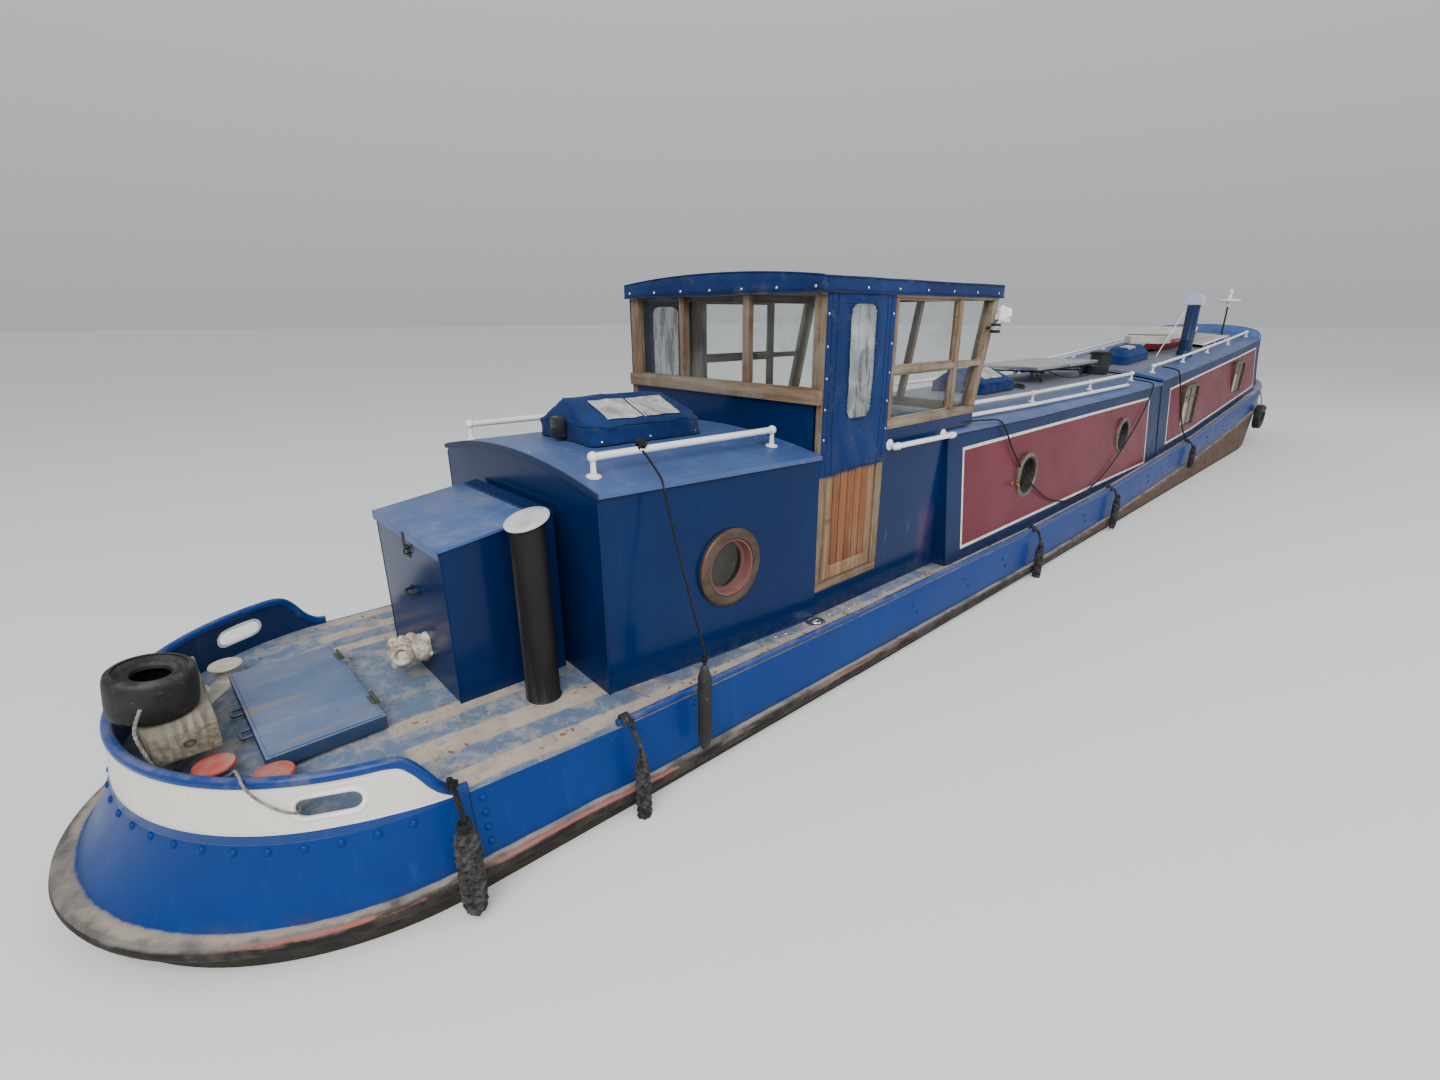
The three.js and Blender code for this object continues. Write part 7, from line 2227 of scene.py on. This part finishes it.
SEAT = 0.0006


def cloth_cover(name, node, span, across, base, height, slope, ridge, panes, seed, mat="canvas"):
    """span is (x0, x1), across is (middle, half); panes are clear sheets as (x0, x1, y0, y1)."""
    (points, faces), count = cover_shape(*span, *across, base, height, slope, ridge, seed=seed)
    cloth = piece(name, (points, faces), mat, slot="canvas", replaces=node, sharp=80)
    thicken(cloth, 0.0018, -1.0)
    names = []
    if panes:
        patches = [laid_patch((points, faces), *pane, 0.0022) for pane in panes]
        pane = piece(name + "_panes", [shape for shape, edge in patches], "pane", sharp=80)
        thicken(pane, 0.0012, -1.0)
        binding = piece(name + "_binding", [tube(edge, 0.003, 7, closed=True) for shape, edge in patches],
            "trim", sharp=80)
        names += [pane, binding]
    hem = points[:count]
    cord = piece(name + "_hem", tube([(x, y, z + 0.005) for x, y, z in hem], 0.0038, 8, closed=True),
        "trim", sharp=80)
    eave = points[6 * count:7 * count]
    seam = piece(name + "_seam", tube([(x, y, z + 0.001) for x, y, z in eave], 0.0034, 6, closed=True),
        "trim", sharp=80)
    names += [cord, seam]
    cloth_area = surface_area(points, faces)
    return points, count


def laid_patch(shape, x0, x1, y0, y1, lift, count=16):
    """A sheet lying on a shape, seen from above, and its outline."""
    tree = BVHTree.FromPolygons([Vector(p) for p in shape[0]], shape[1])
    rows = []
    for i in range(count + 1):
        row = []
        for j in range(count + 1):
            x, y = x0 + (x1 - x0) * i / count, y0 + (y1 - y0) * j / count
            hit = tree.ray_cast(Vector((x, y, 6.0)), Vector((0, 0, -1)))[0]
            row.append((x, y, hit.z + lift))
        rows.append(row)
    edge = rows[0] + [row[-1] for row in rows[1:]] + rows[-1][-2::-1] + [row[0] for row in rows[-2:0:-1]]
    return skin(rows, closed=False, ends=False), edge


def surface_area(points, faces):
    total = 0.0
    for f in faces:
        a = Vector(points[f[0]])
        for i in range(1, len(f) - 1):
            total += (Vector(points[f[i]]) - a).cross(Vector(points[f[i + 1]]) - a).length / 2
    return total


def make_covers():
    aft = crown_of(AFT_EDGE)
    panes = [(0.45, 0.685, -0.215, -0.02), (0.705, 0.94, -0.215, -0.02)]
    points, count = cloth_cover("pigeon_cover", "pigeon_box_cover", (0.31, 1.05), (0.0, 0.275), aft, 0.22,
        0.045, (0.16, 0.045), panes, 0.4)
    studs = []
    for i in range(3, count, 11):
        x, y, z = points[i]
        out = Vector((x - 0.68, y, 0)).normalized()
        studs.append(dome(Vector((x, y, z + 0.02)) + out * 0.001, 0.0075, 0.004, out, 10))
    piece("pigeon_cover_studs", studs, "chrome")
    slope_line = [(0.695, y, aft(0.695, y) + 0.22 * (0.5 + 0.45 * (y + 0.24) / 0.26))
        for y in (-0.215, -0.15, -0.09, -0.035)]
    piece("pigeon_cover_join", tube(slope_line, 0.007, 8), "offwhite")
    fore = lambda x, y: roof_z(FORE_EDGE, x, y)
    cloth_cover("mid_cover", "roof_cover_mid", (8.05, 8.95), (-0.17, 0.158), fore, 0.2, 0.13, (0.55, 0.0),
        [(8.22, 8.52, -0.27, -0.15)], 1.7, "canvas_blue")
    cloth_cover("small_cover", "", (4.42, 5.08), (0.0, 0.27), crown_of(MID_EDGE), 0.21, 0.1, (0.35, 0.03),
        [(4.56, 4.94, -0.2, -0.03)], 2.9, "canvas_blue")


def crown_of(edge):
    """The height under a cover: the roof's crown, a little lower toward the sides."""
    return lambda x, y: straight(edge, x, 1) + CAMBER - (0.006 if abs(y) > 0.2 else 0.0)


def make_solar():
    x0, x1, y0, y1, z0, z1 = 5.63, 7.32, -0.24, 0.44, 1.56, 1.595
    frames, cells = [], []
    for a, b in ((x0, 6.469), (6.481, x1)):
        w = 0.028
        frames += [slab(a, b, y0, y0 + w, z0, z1, 0.0025), slab(a, b, y1 - w, y1, z0, z1, 0.0025),
            slab(a, a + w, y0 + w, y1 - w, z0, z1 - 0.0005, 0.0025), slab(b - w, b, y0 + w, y1 - w, z0,
            z1 - 0.0005, 0.0025)]
        cells.append(slab(a + w * 0.6, b - w * 0.6, y0 + w * 0.6, y1 - w * 0.6, z0 + 0.012, z1 - 0.003))
    piece("solar_frames", frames, "alloy", replaces="solar_panel")
    piece("solar_glass", cells, "solar", replaces="solar_panel")
    legs = []
    for y in (-0.18, 0.38):
        legs.append(slab(5.7, 7.25, y - 0.012, y + 0.012, z0 - 0.026, z0, 0.002))
        for x in (5.9, 7.0):
            foot = roof_z(MID_EDGE, x, y) + SEAT
            legs.append(slab(x - 0.022, x + 0.022, y - 0.004, y + 0.004, foot, z0 - 0.02, 0.0015))
            legs.append(slab(x - 0.025, x + 0.025, y - 0.015, y + 0.015, foot, foot + 0.005, 0.0015))
            legs.append(tube([(x - 0.16, y + 0.006, z0 - 0.02), (x - 0.01, y + 0.006, foot + 0.02)], 0.006,
                8))
    for x in (5.9, 7.0):
        legs.append(slab(x - 0.012, x + 0.012, -0.2, 0.4, z0 - 0.04, z0 - 0.026, 0.002))
    legs.append(slab(6.3, 6.44, 0.02, 0.13, z0 - 0.03, z0, 0.004))
    piece("solar_brackets", legs, "plastic", replaces="solar_panel")
    path = smooth_path([(6.37, 0.02, z0 - 0.02), (6.36, -0.08, 1.5), (6.42, -0.15, 1.46),
        (6.6, -0.21, 1.437), (7.0, -0.24, 1.437), (7.3, -0.2, 1.45), (7.56, -0.16, 1.45)], 0.03)
    piece("solar_lead", tube(path, 0.005, 8), "black_cord", slot="rubber")


def make_tub():
    x, y = 7.79, -0.11
    base = straight(FORE_EDGE, x, 1) + CAMBER - 0.02
    profile = [(0.001, 0.022), (0.108, 0.022), (0.112, 0.026), (0.114, 0.09), (0.116, 0.15), (0.117, 0.166),
        (0.12, 0.17), (0.121, 0.186), (0.118, 0.189), (0.108, 0.188), (0.104, 0.178), (0.101, 0.06),
        (0.094, 0.052), (0.001, 0.05)]
    piece("tub", lathe(profile, (x, y, base), "z", 64), "plastic", replaces="roof_tub")
    grips = []
    for side in (-1, 1):
        path = [(x + 0.05, y + side * 0.11, base + 0.165), (x + 0.035, y + side * 0.132, base + 0.16),
            (x - 0.035, y + side * 0.132, base + 0.16), (x - 0.05, y + side * 0.11, base + 0.165)]
        grips.append(bent(path, 0.01, 0.0065, 10))
    piece("tub_grips", grips, "plastic")
    px, py = 7.36, -0.2
    pot = turned([(1, 0), (130, 0), (142, 12), (148, 75), (150, 92), (144, 94), (138, 80), (132, 50),
        (1, 45)], (px, py, roof_z(MID_EDGE, px, py) - 0.004), "z", 48)
    piece("low_pot", pot, "plastic")


# The small boat on the roof: x, half-width and half-width of its bottom, height of its bottom and edge
TENDER = [(9.252, 0.055, 0.018, 0.1, 0.232), (9.35, 0.125, 0.055, 0.072, 0.226),
    (9.55, 0.228, 0.12, 0.04, 0.215), (9.85, 0.287, 0.175, 0.016, 0.206), (10.15, 0.308, 0.208, 0.002, 0.2),
    (10.55, 0.308, 0.21, 0.001, 0.199), (10.85, 0.299, 0.208, 0.002, 0.2),
    (11.05, 0.288, 0.196, 0.005, 0.204), (11.248, 0.269, 0.17, 0.01, 0.209)]
TENDER_Y = -0.03


def make_tender():
    rings, gunwale = [], [[], []]
    for x, wide, narrow, low, high in TENDER:
        base = straight(FORE_EDGE, x, 1) + CAMBER + 0.001
        half = [(wide, high), (wide - 0.006, high * 0.72 + low * 0.28),
            (wide * 0.93 + narrow * 0.07, high * 0.45 + low * 0.55),
            (narrow * 0.8 + wide * 0.2, low + (high - low) * 0.12), (narrow, low)]
        section = [(x, TENDER_Y - y, base + z) for y, z in half] + [(x, TENDER_Y + y, base + z)
            for y, z in reversed(half)]
        rings.append(section)
        for k, side in enumerate((-1, 1)):
            gunwale[k].append((x, TENDER_Y + side * (wide - 0.01), base + high - 0.004))
    piece("tender_hull", skin(rings), ["red_hull", "offwhite"], slot="red_paint", replaces="roof_tender",
        decide=lambda c, n: 1 if n.z > 0.6 or c.z > straight(FORE_EDGE, c.x, 1) + CAMBER + 0.125 else 0)
    rails = [tube(side, 0.0095, 10) for side in gunwale]
    stern = [gunwale[0][-1], gunwale[1][-1]]
    rails.append(tube(stern, 0.0095, 10))
    piece("tender_gunwale", rails, "offwhite", replaces="roof_tender")
    base = straight(FORE_EDGE, 10.35, 1) + CAMBER
    thwarts = [slab(x - 0.09, x + 0.09, TENDER_Y - w, TENDER_Y + w, base + 0.19, base + 0.2045, 0.004)
        for x, w in ((9.9, 0.27), (10.5, 0.29), (11.05, 0.265))]
    piece("tender_thwarts", thwarts, "offwhite")


def make_chimney():
    x, y = 9.69, -0.54
    base = roof_z(FORE_EDGE, x, y)
    collar = turned([(1, -12), (98, -12), (101, -4), (100, 6), (92, 12), (92, 52), (88, 60), (1, 62)],
        (x, y, base), "z", 40)
    pipe = turned([(1, 40), (76.5, 40), (76.5, 200), (77.5, 203), (76.5, 206), (76.5, 652), (1, 655)],
        (x, y, base), "z", 40)
    piece("chimney_pipe", [collar, pipe], "navy_pipe", replaces="chimney")
    cy, radius, half = base + 0.692, 0.11, 0.083
    arc = [radians(-18 + 216 * k / 30) for k in range(31)]
    rings = []
    for s in (-half, -half + 0.006, half - 0.006, half):
        r = radius - (0.004 if abs(s) == half else 0)
        rings.append([Vector((x, y, cy)) + Vector((s, 0, 0)) + Vector((0, r * cos(a), r * sin(a)))
            for a in arc])
    shell = skin(rings, closed=False, ends=False)
    cheeks = []
    for s in (-half, half):
        ring = [Vector((x + s, y + (radius - 0.004) * cos(a), cy + (radius - 0.004) * sin(a))) for a in arc]
        cheeks.append(([Vector((x + s, y, cy - 0.03))] + ring,
            [(0, i + 1, i + 2) for i in range(len(ring) - 1)]))
    piece("chimney_cowl", [shell, *cheeks], "lavender", replaces="chimney")
    stay = tube([(x - 0.02, y + 0.078, base + 0.6),
        (x - 0.42, y + 0.22, roof_z(FORE_EDGE, x - 0.42, y + 0.22))], 0.006, 8)
    piece("chimney_stay", stay, "white")


def make_aerial():
    x, y = 12.45, -0.38
    base = roof_z(FORE_EDGE, x, y)
    disc = turned([(1, 517), (110, 517), (146, 522), (154, 532), (152, 543), (142, 553), (90, 561),
        (1, 564)], (x, y, base), "z", 56)
    knob = turned([(1, 640), (26, 642), (30, 655), (30, 690), (22, 712), (1, 718)], (x, y, base), "z", 24)
    neck = turned([(1, 555), (40, 560), (30, 600), (16, 650), (1, 655)], (x, y, base), "z", 24)
    below = turned([(1, 440), (24, 442), (34, 460), (34, 505), (50, 519), (1, 520)], (x, y, base), "z", 24)
    piece("aerial_disc", [disc, knob, neck, below], "white_plastic", replaces="aerial")
    pole = rod((x, y, base - 0.005), (x, y, base + 0.45), 0.013)
    foot = turned([(1, -8), (58, -8), (60, 4), (50, 10), (18, 14), (1, 15)], (x, y, base), "z", 28)
    piece("aerial_pole", [pole, foot], "plastic", replaces="aerial")


HOOD_ROWS = [(12.786, 0.918, 0.828, 1.778, 1.948), (13.4, 0.848, 0.763, 1.738, 1.933),
    (13.95, 0.698, 0.598, 1.638, 1.848), (14.418, 0.498, 0.298, 1.228, 1.328)]


def hood_section(x, count=56):
    foot, shoulder, shoulder_z, crown = (smooth_lookup(HOOD_ROWS, x, c) for c in (1, 2, 3, 4))
    base = deck_z(x) + 0.001
    out = []
    for i in range(count + 1):
        t = i / count * 2 - 1
        s = abs(t)
        side = 1 if t > 0 else -1
        if s > 0.52:
            k = (1 - s) / 0.48
            sag = 0.01 * sin(pi * k)
            out.append((x, side * (foot + (shoulder - foot) * k - sag), base + (shoulder_z - base) * k))
        else:
            k = s / 0.52
            y = shoulder * sin(k * pi / 2) ** 0.92
            z = shoulder_z + (crown - shoulder_z) * cos(k * pi / 2) ** 0.8
            out.append((x, side * y, z))
    return out


def hood_ring(x, slack):
    """The cloth across the hood at x, drawn in and rippled where it is slack between two hoops."""
    foot, ring = deck_z(x) + 0.001, []
    for j, (x, y, z) in enumerate(hood_section(x)):
        ripple = 0.004 * sin(j * 0.9 + x * 9) * slack + 0.003 * sin(x * 37 + j * 0.33)
        inward = 0.012 * slack ** 1.5 + abs(ripple)
        ring.append((x, y * (1 - inward / max(0.3, hypot(y, 0.6))), foot + (z - foot) * (1 - inward / 0.9)))
    return ring


def hood_wall(ring, out):
    """The cloth that closes an end of the hood, bellied a little."""
    base = deck_z(ring[0][0]) + 0.001
    points = []
    for j, (x, y, z) in enumerate(ring):
        for k in range(9):
            belly = abs(0.008 * sin(pi * k / 8) * sin(j * 0.5))
            points.append((x + (0.002 + belly if out > 0 else -0.004 - belly), y,
                base + (z - base) * k / 8))
    return points, sheet_faces(len(ring) - 1, 9)


def make_hood():
    hoops = 12.8, 13.4, 13.95, 14.41
    rings = [hood_ring(x, min(1.0, min(abs(x - h) for h in hoops) / 0.16))
        for x in spread(12.786, 14.418, 48)]
    shape = skin(rings, closed=False, ends=False)
    # One blue canvas in two painted shades: light blue above the shoulders is a painted sky reflection,
    # dark navy on the flanks is painted shade.
    cloth = piece("hood_cloth", shape, ["hood", "canvas_blue"], slot="hood_canvas", replaces="bow_hood",
        sharp=80, decide=lambda c, n: 0 if c.z > smooth_lookup(HOOD_ROWS, c.x, 3) - 0.06 else 1)
    thicken(cloth, 0.002, -1.0)
    front_wall, back_wall = hood_wall(rings[-1], -1), hood_wall(rings[0], 1)
    # The end walls take the same two painted copies: the front wall has the dark one of painted shade, the
    # back wall the light one of painted sky reflection.
    front = piece("hood_front", front_wall, "canvas_blue", replaces="bow_hood", sharp=80)
    back = piece("hood_back", back_wall, "hood", slot="canvas", replaces="bow_hood", sharp=80)
    for each in (front, back):
        thicken(each, 0.002, 0.0)
    min(surface_area(*shape), 6.47)
    min(surface_area(*front_wall), 1.02 * 0.36)
    min(surface_area(*back_wall), 1.86 * 1.06)
    lines = []
    for h in hoops:
        ring = [(x, y * 0.998, z - 0.004) for x, y, z in hood_section(min(max(h, 12.79), 14.41))]
        lines.append(tube(ring, 0.0055, 8))
    for side in (0, -1):
        feet = [ring[side] for ring in rings[::3]]
        lines.append(tube([(x, y * 0.999, z + 0.012) for x, y, z in feet], 0.005, 8))
    piece("hood_seams", lines, "trim", sharp=80)


def make_rack():
    """A white slatted rack and a boat pole lying on the roofs."""
    bars = []
    lift = lambda x, y, up: roof_z(FORE_EDGE, x, y) + up
    for y in (-0.54, -0.1):
        corners = [(x, y + dy, lift(x, y, 0.045)) for x, dy in ((10.62, -0.03), (12.0, -0.03), (12.0, 0.03),
            (10.62, 0.03))]
        bars.append(board(corners, 0.014, (0, 0, 1), 0.004))
        for x in (10.7, 11.3, 11.92):
            bars.append(rod((x, y, lift(x, y, -0.002)), (x, y, lift(x, y, 0.048)), 0.01))
    for k in range(9):
        x = 10.65 + 0.165 * k
        corners = [(x + dx, y, lift(x, y, 0.046)) for dx, y in ((-0.03, -0.52), (0.03, -0.52),
            (0.03, -0.12), (-0.03, -0.12))]
        bars.append(board(corners, 0.01, (0, 0, 1), 0.003))
    piece("roof_rack", bars, "white")
    under = [(x, y, lift(x, y, 0.034)) for x, y in ((10.64, -0.51), (11.98, -0.51), (11.98, -0.13),
        (10.64, -0.13))]
    piece("roof_rack_tray", board(under, 0.004, (0, 0, 1), 0.001), "plastic")
    pole = [(x, -0.72 - 0.022 * (x - 3.3), roof_z(MID_EDGE, x, 0.74) + 0.022)
        for x in (3.3, 4.4, 5.5, 6.62)]
    hook = smooth_path([pole[-1], (6.7, -0.8, pole[-1][2] + 0.005), (6.74, -0.775, pole[-1][2] + 0.01),
        (6.7, -0.75, pole[-1][2] + 0.012)], 0.01)
    piece("boat_pole", tube(pole, 0.016, 14), "white")
    piece("boat_pole_hook", tube(hook, 0.006, 8), "brass")


def lamp(name, at, out, size):
    at, out = Vector(at), Vector(out).normalized()
    body = lathe([(0.001, -size * 0.5), (size * 0.42, -size * 0.5), (size * 0.46, -size * 0.44),
        (size * 0.46, size * 0.3), (size * 0.38, size * 0.4), (0.001, size * 0.42)], at, "z", 20)
    lens = lathe([(size * 0.47, -size * 0.22), (size * 0.475, -size * 0.2), (size * 0.475, size * 0.1),
        (size * 0.47, size * 0.12)], at, "z", 20)
    bracket = joined(rod(at - out * size * 0.3, at - out * size * 0.95, size * 0.12),
        slab(at.x - out.x * size - 0.004, at.x - out.x * size + 0.004, at.y - size * 0.3, at.y + size * 0.3,
        at.z - size * 0.4, at.z + size * 0.4, 0.002, 1))
    piece(name + "_body", [body, bracket], "plastic")
    piece(name + "_lens", lens, "pane")


def cord_piece(name, points, radius, material, slot, laid=True):
    """A free cord along measured points; a laid one shows its three strands."""
    line = smooth_path(points, 0.012)
    shape = twisted(points, radius) if laid else tube(line, radius, 10)
    obj = piece(name, shape, material, slot=slot, sharp=80)
    length = sum((b - a).length for a, b in zip(line, line[1:]))
    path = [tuple(point + ORIGIN) for point in line]
    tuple(path[0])


def make_fittings():
    core = Vector((-0.645, -0.1, 0.628))
    rng = np.random.default_rng(11)
    lumps = [ball(core, 0.072, 10, 18), ball(core + Vector((0.055, -0.03, 0.008)), 0.058, 10, 18)]
    for _ in range(46):
        out = Vector(rng.normal(size=3)).normalized()
        middle = core if rng.random() < 0.65 else core + Vector((0.055, -0.03, 0.008))
        lumps.append(ball(middle + out * rng.uniform(0.045, 0.068), rng.uniform(0.014, 0.03), 6, 10))
    piece("deck_fitting", lumps, "crust", sharp=80)
    facing = Vector((-0.45, -0.8, 0.25)).normalized()
    collar = turned([(26, -20), (26, 12), (34, 20), (44, 16), (50, 2), (50, -20)], core + facing * 0.07,
        facing, 28)
    piece("deck_fitting_collar", collar, "crust", sharp=80)
    bore = turned([(1, -10), (30, -10), (30, -16), (1, -16)], core + facing * 0.074, facing, 20)
    piece("deck_fitting_bore", bore, "iron")
    piece("deck_fitting_stub", rod((-0.58, -0.12, 0.634), (-0.5495, -0.129, 0.636), 0.042), "crust")
    x, y = 1.345, -0.907
    z = deck_z(x)
    filler = turned([(1, -3), (60, -3), (60, 4), (52, 8), (40, 8), (36, 5), (33, 9), (1, 10)], (x, y, z),
        "z", 36)
    slot_bar = slab(x - 0.02, x + 0.02, y - 0.004, y + 0.004, z + 0.009, z + 0.013, 0.001, 1)
    more = [dome((x + dx, y + dy, z), 0.009, 0.007, "z", 8) for dx, dy in ((-0.24, 0.02), (-0.31, 0.03),
        (0.14, 0.01), (0.29, -0.02), (0.36, -0.01))]
    piece("deck_filler", [filler, slot_bar, *more], "chrome")
    ty = -(side_y(MID_EDGE, 3.78, 0.82) + 0.002)
    tap = joined(turned([(1, 0), (22, 0), (20, 6), (10, 10), (9, 40), (1, 41)], (3.78, ty, 0.82),
        (0, -1, 0), 20), bent([(3.78, ty - 0.03, 0.82), (3.78, ty - 0.05, 0.815),
        (3.78, ty - 0.055, 0.785)], 0.006, 0.009, 10),
        rod((3.78, ty - 0.035, 0.82), (3.78, ty - 0.035, 0.85), 0.005),
        rod((3.755, ty - 0.035, 0.85), (3.805, ty - 0.035, 0.85), 0.005))
    piece("side_tap", tap, "brass")
    make_lamps()
    make_cords()


def make_lamps():
    case = joined(slab(0.258, 0.304, -0.047, 0.025, 1.5, 1.605, 0.006),
        slab(0.3, 0.314, -0.027, 0.005, 1.46, 1.58, 0.003))
    piece("roof_lamp_case", case, "plastic")
    piece("roof_lamp_glass", slab(0.253, 0.259, -0.04, 0.018, 1.525, 1.598, 0.002), "dark_glass")
    lamp("corner_lamp", (3.165, -0.905, 2.015), (0, -1, 0), 0.07)
    bag = ball((3.41, -0.82, 2.09), 0.062, 10, 16)
    crumpled = []
    for x, y, z in bag[0]:
        k = 1 + 0.16 * sin(x * 170 + z * 90) + 0.12 * sin(y * 140 - z * 60)
        crumpled.append((3.41 + (x - 3.41) * k * 1.25, -0.82 + (y + 0.82) * k, 2.09 + (z - 2.09) * k))
    piece("bagged_lamp", (crumpled, bag[1]), "white_plastic", sharp=30)
    piece("bagged_lamp_arm", tube([(3.22, -0.845, 2.03), (3.36, -0.83, 2.07)], 0.008, 8), "plastic")


def make_cords():
    cable = [(2.95, -0.845, 1.385), (3.25, -0.872, 1.375), (3.5, -0.892, 1.33), (3.72, -0.905, 1.1),
        (4.05, -0.935, 0.8), (4.55, -0.955, 0.55), (5.2, -0.96, 0.46), (5.9, -0.955, 0.6),
        (6.5, -0.935, 0.86), (6.95, -0.905, 1.1), (7.15, -0.895, 1.3), (7.22, -0.86, 1.375),
        (7.24, -0.66, 1.405)]
    cord_piece("side_cable", cable, 0.0065, "black_cord", "rubber", laid=False)
    lash = [(-1.395, -0.375, 0.5), (-1.372, -0.445, 0.545), (-1.368, -0.6, 0.64), (-1.366, -0.712, 0.68),
        (-1.362, -0.752, 0.66), (-1.335, -0.772, 0.605), (-1.292, -0.804, 0.562), (-1.25, -0.828, 0.542),
        (-1.236, -0.8, 0.54)]
    cord_piece("bollard_lashing", lash, 0.0052, "grey_rope", "rope")
    hang = [(8.15, -0.7, 1.5), (8.15, -0.84, 1.475), (8.16, -0.892, 1.42), (8.25, -0.93, 1.15),
        (8.4, -0.975, 0.8), (8.52, -1.02, 0.62), (8.6, -1.03, 0.575)]
    cord_piece("fore_fender_line", hang, 0.008, "black_cord", "rope")
    slim = [(0.348, -0.635, 1.515), (0.318, -0.745, 1.476), (0.279, -0.862, 1.431), (0.276, -0.886, 1.385),
        (0.283, -0.95, 1.16), (0.29, -1.035, 0.91), (0.299, -1.105, 0.7), (0.3, -1.112, 0.64),
        (0.3, -1.112, 0.605)]
    cord_piece("slim_fender_line", slim, 0.006, "black_cord", "rope")
    tail = [(-1.56, -0.25, 0.8), (-1.59, -0.275, 0.74), (-1.585, -0.285, 0.66), (-1.56, -0.3, 0.56),
        (-1.5, -0.32, 0.5)]
    cord_piece("tyre_tail", tail, 0.0065, "grey_rope", "rope")
    coil = []
    for i in range(80):
        a = i * 0.42
        r = 0.075 + 0.011 * (i * 0.42 / (2 * pi) % 3)
        coil.append((5.22 + r * cos(a), -0.19 + r * sin(a),
            roof_z(MID_EDGE, 5.22, -0.19) + 0.012 + 0.017 * (i * 0.42 / (2 * pi) // 3)))
    cord_piece("roof_coil", coil, 0.0055, "black_cord", "rubber", laid=False)


# build

PAINTS = make_materials()
for make in (make_camera, make_stage, make_light, make_hull, make_bulwark, make_stern_gear, make_roofs,
        make_wheelhouse, make_covers, make_solar, make_tub, make_tender, make_chimney, make_aerial,
        make_hood, make_rack, make_fittings):
    make()
